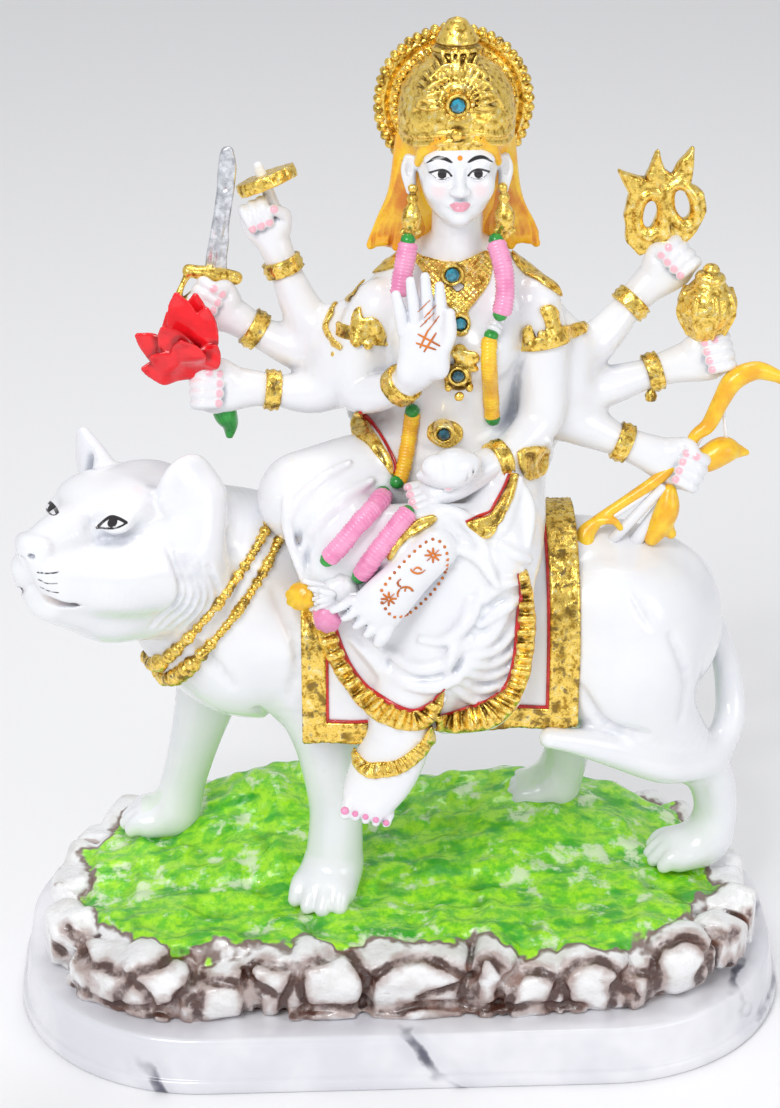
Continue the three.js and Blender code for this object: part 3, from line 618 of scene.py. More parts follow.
def make_edge():
    """A painted area's mask from a distance mark, with a hand-painted wavering edge."""
    group = node_group(
        "painted_edge",
        [
            ("Distance", "NodeSocketFloat", 0.0),
            ("Soft", "NodeSocketFloat", 0.15),
            ("Waver", "NodeSocketFloat", 0.3),
        ],
        [("Mask", "NodeSocketFloat")],
    )
    bench = Bench(group)
    given = bench.add("NodeGroupInput").outputs
    waver = bench.math(
        "MULTIPLY", bench.math("SUBTRACT", bench.noise(bench.object_place(), 2.2), 0.5), given["Waver"]
    )
    shifted = bench.math("ADD", given["Distance"], waver)
    low = bench.math("MULTIPLY", given["Soft"], -1.0)
    mask = bench.add(
        "ShaderNodeMapRange",
        {"Value": shifted, "From Min": low, "From Max": given["Soft"], "To Min": 1.0, "To Max": 0.0},
        interpolation_type="SMOOTHSTEP",
    ).outputs["Result"]
    bench.add("NodeGroupOutput", {"Mask": mask})
    return group


crease_wash_and_shade = make_wash_and_shade()
gold_leaf = make_gold()
painted_edge = make_edge()

WHITE = colour(0.84, 0.85, 0.87)
COOL_SHADE = colour(0.44, 0.47, 0.55)


def marble_dust(name, strength=0.5, paints=()):
    """Glossy white marble dust with painted cool shade in its creases, and painted areas over it.

    Each paint is (mark, colour, soft edge in mm, waver in mm)."""
    finish = Finish(
        name,
        **{
            "Roughness": 0.2, "Subsurface Weight": 0.08, "Subsurface Scale": 0.003, "Coat Weight": 0.4,
            "Coat Roughness": 0.06,
        },
    )
    finish.shader.inputs["Subsurface Radius"].default_value = (1.0, 0.9, 0.8)
    place = finish.object_place()
    cloudy = finish.mix(finish.span(finish.noise(place, 14), 0.3, 0.7), colour(0.81, 0.82, 0.86), WHITE)
    # Painted shade: cool grey-blue laid into the creases
    shaded = finish.group(crease_wash_and_shade, {
        "Base": cloudy, "Wash_and_shade": COOL_SHADE, "Crease": finish.mark("crease"), "Low": 0.2, "High": 0.95,
        "Strength": strength,
    }).outputs["Color"]
    for mark, paint, soft, waver in paints:
        mask = finish.group(painted_edge, {
            "Distance": finish.mark(mark), "Soft": soft, "Waver": waver,
        }).outputs["Mask"]
        shaded = finish.mix(mask, shaded, paint)
    fine = finish.noise(place, 1.6, 2.0)
    finish.feed(Base_Color=shaded)
    finish.bump(fine, 0.05, 0.35)
    return finish.material


GOLD_GRAIN = 1.6


def gold(name="gold", marked=True):
    """Gold leaf with painted shade in its creases, or darkened in even noise patches on rows that carry no
    marks.
    """
    finish = Finish(name, Metallic=0.85)
    if marked:
        crease_mark = finish.mark("crease")
    else:
        crease_mark = finish.span(finish.noise(finish.object_place(), 3.2, 3), 0.46, 0.66, 0, 0.62)
    leaf = finish.group(gold_leaf, {"Grain": GOLD_GRAIN, "Crease": crease_mark}).outputs
    finish.feed(Base_Color=leaf["Color"], Roughness=leaf["Roughness"])
    finish.bump(leaf["Height"], 0.26, 0.9)
    return finish.material


def paint(name, base, deep, rough=0.25, crease_shade=None, lumps=5.0, metal=0.0):
    """A painted finish that varies between two colours, with painted shade in a darker colour in its
    creases.
    """
    finish = Finish(
        name, **{"Metallic": metal, "Coat Weight": 0.2, "Coat Roughness": 0.08, "Subsurface Weight": 0.0}
    )
    place = finish.object_place()
    mixed = finish.mix(finish.span(finish.noise(place, lumps, 4), 0.36, 0.66), base, deep)
    # Painted shade: the darker colour laid into the creases
    shaded = finish.group(crease_wash_and_shade, {
        "Base": mixed, "Wash_and_shade": crease_shade or deep, "Crease": finish.mark("crease"), "Low": 0.1, "High": 0.7,
        "Patch": lumps,
    }).outputs["Color"]
    finish.feed(
        Base_Color=shaded,
        Roughness=finish.span(finish.noise(place, 2.5), 0.3, 0.7, rough * 0.75, rough * 1.35),
    )
    finish.bump(finish.noise(place, 1.2, 3), 0.12, 0.35)
    return finish.material


# Small turned and drawn forms gathered into one mesh, and rows of repeated ones


class Shapes:
    """Tubes and turned forms gathered into one mesh, in millimetres."""

    def __init__(self):
        self.points = []
        self.faces = []

    def add(self, points, faces):
        first = len(self.points)
        self.points.extend(np.asarray(points, float))
        self.faces.extend(tuple(first + i for i in face) for face in faces)
        return self

    def tube(self, stations, side=(0, 1, 0), around=12, steps=5):
        """A closed tube through stations [x, y, z, half width along the side, half depth]."""
        line = smooth_line([list(s) + [s[3]] * (5 - len(s)) for s in stations], steps)
        ways = np.gradient(line[:, :3], axis=0)
        points = [line[0, :3] - 0.4 * line[0, 4] * unit(ways[0])]
        for place, way in zip(line, ways):
            way = unit(way)
            across = unit(np.array(side) - np.dot(side, way) * way)
            deep = np.cross(way, across)
            for turn in np.arange(around) * 2 * math.pi / around:
                points.append(
                    place[:3] + place[3] * math.cos(turn) * across + place[4] * math.sin(turn) * deep
                )
        points.append(line[-1, :3] + 0.4 * line[-1, 4] * unit(ways[-1]))
        faces = []
        last = 1 + (len(line) - 1) * around
        for i in range(around):
            after = (i + 1) % around
            faces.append((0, 1 + after, 1 + i))
            faces.append((last + i, last + after, len(points) - 1))
            for ring in range(len(line) - 1):
                a = 1 + ring * around
                faces.append((a + i, a + after, a + around + after, a + around + i))
        return self.add(points, faces)

    def turned(self, profile, centre, way=(0, 0, 1), around=24, wobble=None):
        """A turned form: [radius, height] pairs from the axis to the axis, or a closed ring of them."""
        way = unit(way)
        across = unit(np.cross(way, (0.3, 0.9, 0.2)))
        deep = np.cross(way, across)
        centre = np.array(centre, float)
        closed = profile[0][0] > 0
        rings = profile if closed else profile[1:-1]
        points = []
        for radius, height in rings:
            for turn in np.arange(around) * 2 * math.pi / around:
                swell = wobble(turn, height) if wobble else 1.0
                spoke = math.cos(turn) * across + math.sin(turn) * deep
                points.append(centre + height * way + radius * swell * spoke)
        faces = []
        for ring in range(len(rings) if closed else len(rings) - 1):
            a, b = ring * around, (ring + 1) % len(rings) * around
            faces += [(a + i, a + (i + 1) % around, b + (i + 1) % around, b + i) for i in range(around)]
        if not closed:
            points += [centre + profile[0][1] * way, centre + profile[-1][1] * way]
            top = (len(rings) - 1) * around
            for i in range(around):
                faces.append((len(points) - 2, (i + 1) % around, i))
                faces.append((top + i, top + (i + 1) % around, len(points) - 1))
        return self.add(points, faces)

    def mesh(self, name):
        piece = mesh_of(name, self.points, self.faces)
        face_outwards(piece.data)
        return piece


def face_outwards(mesh):
    work = bmesh.new()
    work.from_mesh(mesh)
    bmesh.ops.recalc_face_normals(work, faces=work.faces)
    work.to_mesh(mesh)
    work.free()


def make_row_tree():
    """Beads, petals or ribs set at even steps along paths, turned to follow them."""
    tree = bpy.data.node_groups.new("row_along_path", "GeometryNodeTree")
    tree.interface.new_socket("Path", in_out="INPUT", socket_type="NodeSocketGeometry")
    for label, kind, value in (
        ("Along", "NodeSocketFloat", 0.001),
        ("Across", "NodeSocketFloat", 0.001),
        ("Rise", "NodeSocketFloat", 0.001),
        ("Spacing", "NodeSocketFloat", 0.002),
        ("Uneven", "NodeSocketFloat", 0.1),
        ("Facing", "NodeSocketVector", (0, -1, 0)),
        ("Seed", "NodeSocketInt", 1),
        ("Finish", "NodeSocketMaterial", None),
    ):
        socket = tree.interface.new_socket(label, in_out="INPUT", socket_type=kind)
        if value is not None:
            socket.default_value = value
    tree.interface.new_socket("Row", in_out="OUTPUT", socket_type="NodeSocketGeometry")
    bench = Bench(tree)
    given = bench.add("NodeGroupInput").outputs
    curve = bench.add("GeometryNodeMeshToCurve", {"Mesh": given["Path"]}).outputs["Curve"]
    spaced = bench.add(
        "GeometryNodeResampleCurve", {"Curve": curve, "Length": given["Spacing"]}, mode="LENGTH"
    ).outputs["Curve"]
    tangent = bench.add("GeometryNodeInputTangent").outputs["Tangent"]
    along = bench.add(
        "FunctionNodeAlignRotationToVector", {"Vector": tangent}, axis="X"
    ).outputs["Rotation"]
    turned = bench.add(
        "FunctionNodeAlignRotationToVector",
        {"Rotation": along, "Vector": given["Facing"]},
        axis="Z",
        pivot_axis="X",
    ).outputs["Rotation"]
    draw = bench.add("FunctionNodeRandomValue", {"Seed": given["Seed"]}, data_type="FLOAT")
    least = bench.math("SUBTRACT", 1.0, given["Uneven"])
    most = bench.math("ADD", 1.0, given["Uneven"])
    float_inputs = [socket for socket in draw.inputs if socket.type == "VALUE"]
    tree.links.new(least, float_inputs[0])
    tree.links.new(most, float_inputs[1])
    chance = [socket for socket in draw.outputs if socket.type == "VALUE"][0]
    swell = bench.add(
        "GeometryNodeInputNamedAttribute", {"Name": "swell"}, data_type="FLOAT"
    ).outputs["Attribute"]
    factor = bench.math("MULTIPLY", chance, swell)
    sizes = bench.add("ShaderNodeCombineXYZ", {
        "X": given["Along"], "Y": given["Across"], "Z": given["Rise"],
    }).outputs[0]
    scale = bench.add("ShaderNodeVectorMath", {0: sizes, "Scale": factor}, operation="SCALE").outputs[0]
    bead = bench.add("GeometryNodeMeshIcoSphere", {"Radius": 1.0, "Subdivisions": 2}).outputs["Mesh"]
    rows = bench.add("GeometryNodeInstanceOnPoints", {
        "Points": spaced, "Instance": bead, "Rotation": turned, "Scale": scale,
    }).outputs["Instances"]
    solid = bench.add("GeometryNodeRealizeInstances", {"Geometry": rows}).outputs["Geometry"]
    shaded = bench.add("GeometryNodeSetShadeSmooth", {"Geometry": solid}).outputs["Geometry"]
    finished = bench.add("GeometryNodeSetMaterial", {
        "Geometry": shaded, "Material": given["Finish"],
    }).outputs["Geometry"]
    bench.add("NodeGroupOutput", {"Row": finished})
    return tree


row_tree = make_row_tree()


def row_of(name, paths, finish, along, across, rise, spacing, uneven=0.1, facing=(0, -1, 0), seed=1):
    """One mesh of forms set along paths [x, y, z, swell], with their half sizes in millimetres."""
    points, edges, swells = [], [], []
    for path in paths:
        path = np.array([list(p) + [1.0] * (4 - len(p)) for p in path])
        first = len(points)
        points += [tuple(p[:3] * MM) for p in path]
        swells += list(path[:, 3])
        edges += [(first + i, first + i + 1) for i in range(len(path) - 1)]
    wire = bpy.data.meshes.new(name + "_path")
    wire.from_pydata(points, edges, [])
    wire.attributes.new("swell", "FLOAT", "POINT").data.foreach_set("value", np.array(swells, np.float32))
    path_object = bpy.data.objects.new(name + "_path", wire)
    bpy.context.scene.collection.objects.link(path_object)
    modifier = path_object.modifiers.new("row", "NODES")
    modifier.node_group = row_tree
    sockets = {
        item.name: item.identifier for item in row_tree.interface.items_tree if item.in_out == "INPUT"
    }
    values = {
        "Along": along * MM, "Across": across * MM, "Rise": rise * MM, "Spacing": spacing * MM,
        "Uneven": uneven, "Facing": tuple(float(f) for f in facing), "Seed": seed, "Finish": finish,
    }
    for label, value in values.items():
        modifier[sockets[label]] = value
    drawn = path_object.evaluated_get(bpy.context.evaluated_depsgraph_get())
    mesh = bpy.data.meshes.new_from_object(drawn)
    mesh.name = name
    bpy.data.objects.remove(path_object)
    bpy.data.meshes.remove(wire)
    piece = bpy.data.objects.new(name, mesh)
    bpy.context.scene.collection.objects.link(piece)
    return piece


# Plinth and mound

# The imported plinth's box, in millimetres, gives its length, its depth and its flat top
packed_plinth = np.array(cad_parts["plinth"].bound_box) / MM
PLINTH_LENGTH, PLINTH_DEPTH, PLINTH_TOP = (round(float(s), 1) for s in np.ptp(packed_plinth, axis=0))
PLINTH_CORNER = 58.0
ROCK_INSET = 10.0


def outline(inset, count):
    """Even points round the rounded outline that the plinth and the rock share."""
    corner = PLINTH_CORNER - inset
    half_x, half_y = PLINTH_LENGTH / 2 - inset, PLINTH_DEPTH / 2 - inset
    centre_x, centre_y = half_x - corner, half_y - corner
    points = []
    for quarter, (sx, sy) in enumerate(((1, 1), (-1, 1), (-1, -1), (1, -1))):
        for angle in np.linspace(0, math.pi / 2, 30):
            turn = quarter * math.pi / 2 + angle
            points.append([
                sx * centre_x + corner * math.cos(turn), sy * centre_y + corner * math.sin(turn),
            ])
    points.append(points[0])
    length = np.linalg.norm(np.diff(np.array(points), axis=0), axis=1).sum()
    return even_line(np.column_stack([points, np.zeros(len(points))]), length / count)[:-1, :2]


def plinth():
    """Two rounded tiers: a low step and a sloped band, with softened edges."""
    profile = [
        (1.2, 0.0), (0.35, 0.3), (0.0, 1.0), (0.0, 3.7), (0.25, 4.35), (0.8, 4.6), (1.1, 4.75),
        (1.3, 5.3), (1.55, 7.5), (2.0, 11.0), (2.45, 14.6), (2.75, 16.6), (3.3, 17.35), (4.2, PLINTH_TOP),
        (9.0, PLINTH_TOP), (30.0, PLINTH_TOP),
    ]
    count = 220
    rings = [np.column_stack([outline(inset, count)[:count], np.full(count, z)]) for inset, z in profile]
    points = np.vstack([*rings, [[0, 0, 0]], [[0, 0, PLINTH_TOP]]])
    faces = []
    for level in range(len(rings) - 1):
        for i in range(count):
            a, b = level * count + i, level * count + (i + 1) % count
            faces.append((a, b, b + count, a + count))
    top = (len(rings) - 1) * count
    for i in range(count):
        faces.append((i, len(points) - 2, (i + 1) % count))
        faces.append((top + i, top + (i + 1) % count, len(points) - 1))
    return mesh_of("plinth_stone", points, faces)


def plinth_finish():
    finish = Finish("veined_marble", **{"Roughness": 0.22, "Coat Weight": 0.4, "Coat Roughness": 0.08})
    place = finish.object_place()
    bent = finish.add("ShaderNodeTexNoise", {
        "Vector": place, "Scale": 60.0, "Detail": 4.0,
    }).outputs["Color"]
    warped = finish.add("ShaderNodeVectorMath", {
        0: place,
        1: finish.add("ShaderNodeVectorMath", {0: bent, "Scale": 0.012}, operation="SCALE").outputs[0],
    }, operation="ADD").outputs[0]
    slanted = finish.add("ShaderNodeMapping", {
        "Vector": warped, "Rotation": (0.0, 0.62, 0.25),
    }).outputs["Vector"]
    bands = finish.add(
        "ShaderNodeTexWave",
        {"Vector": slanted, "Scale": 4.4, "Distortion": 1.2, "Detail": 3.0, "Detail Scale": 2.0},
        wave_type="BANDS",
        bands_direction="X",
    ).outputs["Fac"]
    vein = finish.span(bands, 0.992, 1.0)
    broken = finish.span(finish.noise(place, 26), 0.44, 0.6)
    cloud = finish.mix(
        finish.span(finish.noise(place, 30), 0.35, 0.7), colour(0.7, 0.7, 0.75), colour(0.84, 0.84, 0.87)
    )
    soft_vein = finish.math("MULTIPLY", finish.span(bands, 0.93, 1.0), 0.25)
    shaded = finish.mix(finish.math("MULTIPLY", soft_vein, broken), cloud, colour(0.42, 0.42, 0.5))
    shaded = finish.mix(finish.math("MULTIPLY", vein, broken), shaded, colour(0.1, 0.1, 0.14))
    finish.feed(Base_Color=shaded)
    finish.bump(finish.noise(place, 3.0, 2.0), 0.06, 0.3)
    return finish.material


def inset_at(x, y):
    """How far inside the plinth's outline a place is, below zero outside."""
    corner = PLINTH_CORNER
    u = np.abs(x) - (PLINTH_LENGTH / 2 - corner)
    v = np.abs(y) - (PLINTH_DEPTH / 2 - corner)
    return corner - np.sqrt(np.maximum(u, 0) ** 2 + np.maximum(v, 0) ** 2) - np.minimum(np.maximum(u, v), 0)


def bell(x, centre, width):
    return np.exp(-(((x - centre) / width) ** 2))


def ease(low, high, x):
    t = np.clip((x - low) / (high - low), 0, 1)
    return t * t * (3 - 2 * t)


def grass_height(x, y):
    """The grass: two low ridges towards the back, falling a little at both ends."""
    ridge = 13 * bell(x, -36, 30) + 11 * bell(x, 36, 34)
    return 38.5 - 3.5 * ease(60, 110, np.abs(x)) + ridge * ease(-30, 34, y)


# Front boulders from the viewer's left: edge to edge along X, foot height, top height, tilt
FRONT_ROCKS = [
    (-111, -96, 21, 35, 6), (-101, -76, 19, 33, -10), (-86, -62, 19, 36, 14), (-70, -44, 18, 32, -12),
    (-49, -30, 19, 37, -26), (-37, -12, 18, 38, 12), (-14, 20, 18, 37, -7),
    (17, 30, 18, 39, 28), (26, 48, 18, 33, -14), (43, 66, 18, 36, 10), (60, 76, 19, 31, -16),
    (72, 92, 20, 38, -6), (88, 103, 22, 35, 16), (98, 110, 22, 36, -10),
]


def rock_foot(x):
    """Where the rock's front foot lies for an X, on the rounded outline."""
    half_x, half_y = PLINTH_LENGTH / 2 - ROCK_INSET, PLINTH_DEPTH / 2 - ROCK_INSET
    corner = PLINTH_CORNER - ROCK_INSET
    past = max(0.0, abs(x) - (half_x - corner))
    return -(half_y - corner) - math.sqrt(max(0.0, corner**2 - min(past, corner - 1) ** 2))


def rock_seams():
    """The outline of each front boulder, as loops seen from the front."""
    draw = np.random.default_rng(33)
    seams = []
    for left, right, foot, head, tilt in FRONT_ROCKS:
        wide = right - left
        lean = 0.05 * tilt
        rise = head - foot
        seams.append([
            [left + 0.5, 0, foot - 0.5],
            [left + 0.5 - lean, 0, foot + 0.35 * rise],
            [left + 0.12 * wide + lean, 0, foot + 0.75 * rise],
            [left + draw.uniform(0.25, 0.4) * wide, 0, head - 0.6],
            [right - draw.uniform(0.15, 0.35) * wide, 0, head - draw.uniform(0.2, 1.6)],
            [right - 0.5 + lean, 0, foot + 0.6 * rise],
            [right - 0.5, 0, foot + 0.2 * rise],
            [right - 0.5, 0, foot - 0.5],
        ])
        if draw.uniform(0, 1) < 0.35:
            # A short curl that runs into the boulder from its side
            up = foot + draw.uniform(0.35, 0.7) * rise
            near = draw.uniform(0, 1) < 0.5
            start, way = (left + 1, 1) if near else (right - 1, -1)
            seams.append([
                [start, 0, up + 2.2], [start + way * 0.16 * wide, 0, up + 0.4],
                [start + way * 0.34 * wide, 0, up - 1.4], [start + way * 0.44 * wide, 0, up - 3.6],
            ])
    seams.append([[x, 0, 21.4 + 0.9 * math.sin(0.23 * x)] for x in np.linspace(-34, 52, 12)])
    seams.append([[x, 0, 21.0 + 0.8 * math.sin(0.3 * x)] for x in np.linspace(-100, -70, 6)])
    return seams


def mound():
    clay = Clay((-113, -61, 15), (113, 61, 58), 0.95)
    x, y, z = clay.points()
    inner = inset_at(x, y) - ROCK_INSET
    lumps = 1.2 * ripple(x, y, z, 9, 3) + 1.0 * ripple(x, y, z, 4, 4) + 0.5 * ripple(x, y, z, 2.2, 5)
    top = (z - grass_height(x, y) - 0.9 * lumps) * 0.85
    wall = 6.5 + 0.25 * (z - PLINTH_TOP) - inner - 0.8 * ripple(x, y, z, 8, 6)
    core = np.maximum(top, wall) + np.maximum(5 - np.abs(top - wall), 0) ** 2 / 20
    clay.value = np.minimum(clay.value, core).astype(np.float32)
    draw = np.random.default_rng(21)
    for left, right, foot, head, tilt in FRONT_ROCKS:
        middle = (left + right) / 2
        y_foot = rock_foot(middle)
        slant = math.degrees(math.atan2(rock_foot(right) - rock_foot(left), right - left))
        half = [(right - left) / 2 + 0.2, 9.0, (head - foot) / 2 + 0.8]
        clay.block(
            [middle, y_foot + 8.8 + draw.uniform(-1.2, 1.4), (head + foot) / 2],
            half,
            min(half) * 0.72,
            (12 + draw.uniform(-8, 10), tilt, slant + draw.uniform(-9, 9)),
            blend=0.5,
        )
    for left, right in ((-100, -70), (-34, 52)):
        ledge = [[x, rock_foot(x) + 3.4, 19.4, 3.2, 2.2] for x in np.linspace(left, right, 8)]
        clay.limb(ledge, side=(0, 1, 0), blend=0.5)
    ring = outline(ROCK_INSET + 7.5, 40)
    for px, py in ring:
        if py < -22 and abs(px) < 100:
            continue
        half = [draw.uniform(6.5, 11), draw.uniform(6.5, 8), draw.uniform(7, 10)]
        turn = (draw.uniform(-16, 16), draw.uniform(-26, 26), math.degrees(math.atan2(py, px)) + 90)
        clay.block([px, py, 26.5 + draw.uniform(-2, 2)], half, min(half) * 0.6, turn, blend=0.6)
    drawn_seams = []
    for line in rock_seams():
        path = even_line(smooth_line(line, 5), 0.8)
        path[:, 1] = -75
        met = clay.meet(path, (0, 1, 0))
        swell = 0.5 + 0.5 * np.sin(np.linspace(0.15, math.pi - 0.15, len(met)))
        clay.limb(np.column_stack([met, 0.75 + 0.6 * swell]), blend=1.4, carve=True, steps=1)
        drawn_seams.append(met)
    x, y, z = clay.points()
    clay.value += (0.35 * ripple(x, y, z, 5, 8) + 0.15 * ripple(x, y, z, 2.4, 9)).astype(np.float32)
    floor = (PLINTH_TOP - 0.6 - z) * np.ones_like(clay.value)
    limit = (ROCK_INSET - 2.2 - inset_at(x, y)) * np.ones_like(clay.value)
    clay.value = np.maximum(np.maximum(clay.value, floor), limit).astype(np.float32)
    points, faces, normals = clay.skin()
    seam = np.full(len(points), UNPAINTED)
    for met in drawn_seams:
        seam = np.minimum(seam, near_line(points, met))
    marks = {
        "crease": crease(clay, points, normals, 2.0),
        "deep": crease(clay, points, normals, 5.0),
        "turf": inset_at(points[:, 0], points[:, 1]) - ROCK_INSET,
        "low": np.clip((24.0 - points[:, 2]) / 6.0, 0, 1),
        "seam": seam,
    }
    return mesh_of("rock_and_grass", points, faces, marks)


def mound_finish():
    finish = Finish("painted_rock_and_grass", **{"Coat Weight": 0.5, "Coat Roughness": 0.05})
    place = finish.object_place()
    stone = finish.mix(
        finish.span(finish.noise(place, 9, 4), 0.3, 0.6), colour(0.74, 0.72, 0.71),
        colour(0.87, 0.87, 0.88),
    )
    halo = finish.group(crease_wash_and_shade, {
        "Base": stone, "Wash_and_shade": colour(0.2, 0.075, 0.04), "Crease": finish.mark("deep"), "Low": 0.55,
        "High": 0.95, "Strength": 0.6, "Patch": 9.0,
    }).outputs["Color"]
    stone = finish.group(crease_wash_and_shade, {
        "Base": halo, "Wash_and_shade": colour(0.045, 0.014, 0.009), "Crease": finish.mark("crease"), "Low": 0.3,
        "High": 0.8, "Strength": 0.9, "Patch": 6.0,
    }).outputs["Color"]
    brown = finish.span(finish.noise(place, 7, 3), 0.3, 0.7, 1.6, 4.6, False)
    stone = finish.mix(
        finish.span(finish.math("SUBTRACT", finish.mark("seam"), brown), 1.4, -1.8, 0, 0.6),
        stone,
        colour(0.26, 0.11, 0.07),
    )
    line_width = finish.span(finish.noise(place, 5, 3), 0.3, 0.65, 0.85, 2.0, False)
    stone = finish.mix(
        finish.span(finish.math("SUBTRACT", finish.mark("seam"), line_width), 0.5, -0.4, 0, 0.92),
        stone,
        colour(0.055, 0.017, 0.01),
    )
    foot = finish.math(
        "MULTIPLY", finish.mark("low"), finish.span(finish.noise(place, 10, 3), 0.35, 0.6, 0.15, 0.9)
    )
    stone = finish.mix(finish.span(foot, 0.4, 0.95, 0, 0.6), stone, colour(0.16, 0.06, 0.035))
    # Brush strokes along the stones
    strokes = finish.noise(
        finish.add("ShaderNodeMapping", {"Vector": place, "Scale": (0.35, 1, 1.6)}).outputs["Vector"],
        5.5,
        5,
        0.6,
    )
    stone = finish.mix(finish.span(strokes, 0.64, 0.72, 0, 0.45), stone, colour(0.19, 0.08, 0.05))
    blades = finish.noise(place, 4.0, 6, 0.7)
    grass = finish.mix(finish.span(blades, 0.38, 0.62), colour(0.14, 0.6, 0.01), colour(0.42, 0.86, 0.012))
    patches = finish.noise(
        finish.add("ShaderNodeMapping", {"Vector": place, "Scale": (0.6, 1.3, 1)}).outputs["Vector"], 8, 3
    )
    grass = finish.mix(finish.span(patches, 0.5, 0.66, 0, 0.85), grass, colour(0.01, 0.36, 0.01))
    # Painted highlights: pale whitish patches over the glossy grass
    pale = finish.math("MULTIPLY", finish.span(finish.noise(place, 11, 5, 0.65), 0.54, 0.64), 0.8)
    grass = finish.mix(pale, grass, colour(0.78, 0.88, 0.62))
    # Painted shade: darker green in the creases of the grass
    grass = finish.mix(
        finish.span(finish.mark("crease"), 0.2, 0.7, 0, 0.7), grass, colour(0.015, 0.25, 0.01)
    )
    spill = finish.span(finish.noise(place, 16, 3), 0.25, 0.75, -7.5, 5.5, False)
    edge = finish.math("ADD", finish.mark("turf"), spill)
    on_turf = finish.span(edge, 10.0, 11.2)
    geometry_normal = finish.add("ShaderNodeNewGeometry").outputs["Normal"]
    upright = finish.add("ShaderNodeSeparateXYZ", {"Vector": geometry_normal}).outputs["Z"]
    on_turf = finish.math("MULTIPLY", on_turf, finish.span(upright, 0.05, 0.3))
    rim = finish.math("MULTIPLY", finish.span(edge, 7.8, 9.6), finish.span(edge, 12.4, 10.4))
    stone = finish.mix(finish.math("MULTIPLY", rim, 0.85), stone, colour(0.12, 0.045, 0.02))
    finish.feed(
        Base_Color=finish.mix(on_turf, stone, grass),
        Roughness=finish.span(finish.noise(place, 3), 0.3, 0.7, 0.1, 0.26),
    )
    finish.bump(finish.math("ADD", blades, finish.noise(place, 1.5)), 0.5, 0.8)
    return finish.material


# Tiger

FACE_WAY = unit((-0.67, -0.74, 0.1))
FACE_SIDE = unit((0.74, -0.67, 0.08))


def face_place(out, across, up):
    """A place on the tiger's head: out along the muzzle, across to the near side, and up."""
    rise = np.cross(FACE_SIDE, FACE_WAY)
    rise = rise if rise[2] > 0 else -rise
    return np.array([-76.0, -15.0, 163.0]) + out * FACE_WAY + across * FACE_SIDE + up * rise


def face_limb(clay, stations, **more):
    """A limb through stations [out, across, up, sizes] on the tiger's head."""
    clay.limb([[*face_place(*s[:3]), *s[3:]] for s in stations], **more)


def tiger_forms(clay):
    deep = (0, 1, 0)
    # Trunk, shoulders, belly and haunches
    clay.limb([
        [-60, -4, 124, 15, 18], [-48, -2, 127, 24, 32], [-18, 2, 124, 25.5, 31], [18, 4, 122, 25, 29],
        [50, 4, 121, 25.5, 31.5], [72, 4, 118, 23.5, 29], [82, 4, 116, 15, 20],
    ], side=deep)
    clay.limb([
        [-36, 2, 136, 22, 26], [-52, -6, 142, 22, 27], [-66, -12, 150, 20, 25], [-76, -15, 156, 18, 21],
    ], side=deep, blend=8)
    clay.ball([-46, -17, 128], [15, 9, 24], (0, 14, 0), blend=8)
    clay.ball([64, -15, 119], [20, 12, 27], (0, -10, 0), blend=8)
    clay.ball([62, 18, 118], [19, 11, 25], (0, -8, 0), blend=8)
    clay.ball([-62, -8, 128], [12, 16, 16], (0, 20, 0), blend=8)
    # Legs
    clay.limb([
        [-48, 12, 126, 14, 17], [-55, 15, 102, 10, 12], [-61, 18, 80, 8, 8.4], [-66, 21, 60, 7, 7],
        [-69, 22, 48, 8, 7.6],
    ], side=deep, blend=6)
    clay.limb([
        [-30, -13, 126, 15, 18], [-25, -15, 104, 12, 13], [-22, -15, 88, 9.5, 10], [-20, -14, 68, 8, 8],
        [-20.5, -13.5, 50, 8.6, 8.2],
    ], side=(1, 0, 0), blend=6)
    clay.limb([
        [66, -8, 128, 16, 22], [66, -11, 110, 15, 21], [72, -11, 96, 12, 17], [84, -7, 82, 9, 11],
        [94.5, -1, 70, 7.4, 7.8], [98.5, 1, 57, 6.6, 6.6], [97.5, 1, 46, 7.6, 7],
    ], side=deep, blend=6)
    clay.limb([
        [66, 14, 122, 14, 20], [56, 20, 98, 10, 13], [53, 24, 78, 8, 8], [54, 26, 62, 7, 7],
        [51, 27, 50, 8, 8],
    ], side=deep, blend=6)
    paw(clay, [-76, 23.4, 43], [-1, 0.1, -0.12], 1.0)
    paw(clay, [-23.4, -19.5, 43], [-0.35, -0.93, -0.16], 1.08)
    paw(clay, [88, -0.4, 41], [-1, -0.12, -0.14], 1.0)
    paw(clay, [45, 27, 48], [-1, 0, -0.1], 0.9)
    # Tail, swung round to the near side and lying against the leg
    clay.limb([
        [66, 6, 146, 5], [75.2, 7, 142, 4.6], [85, 9, 131.5, 4.2], [97.2, 11, 110.5, 3.9],
        [102, 8, 91, 4.3], [100, 1, 81.6, 4.9], [92, -8, 77.6, 5.7], [78, -17, 81.4, 5.9],
        [60, -23.6, 91, 4.9], [43, -28.6, 97.4, 3.4],
    ], side=(0, 1, 0.3), blend=3, steps=8)
    tiger_head(clay)
    tiger_folds(clay)
    roughen(clay, 0.22, 7, 31)


# The head is a finer cast of its own in the looks, parted from the body under the lower chain
NECK_CUT = np.array([-45.5, -27.5, 145.0])
NECK_CUT_WAY = unit(np.cross([-11.5, -27.5, -17.4], [-21.0, 12.5, -27.0]))
NECK_OVERLAP = 0.8


TIGER_LOW, TIGER_HIGH = (-117, -62, 34), (112, 44, 197)
BODY_VOXEL = 0.9
HEAD_VOXEL = 0.5


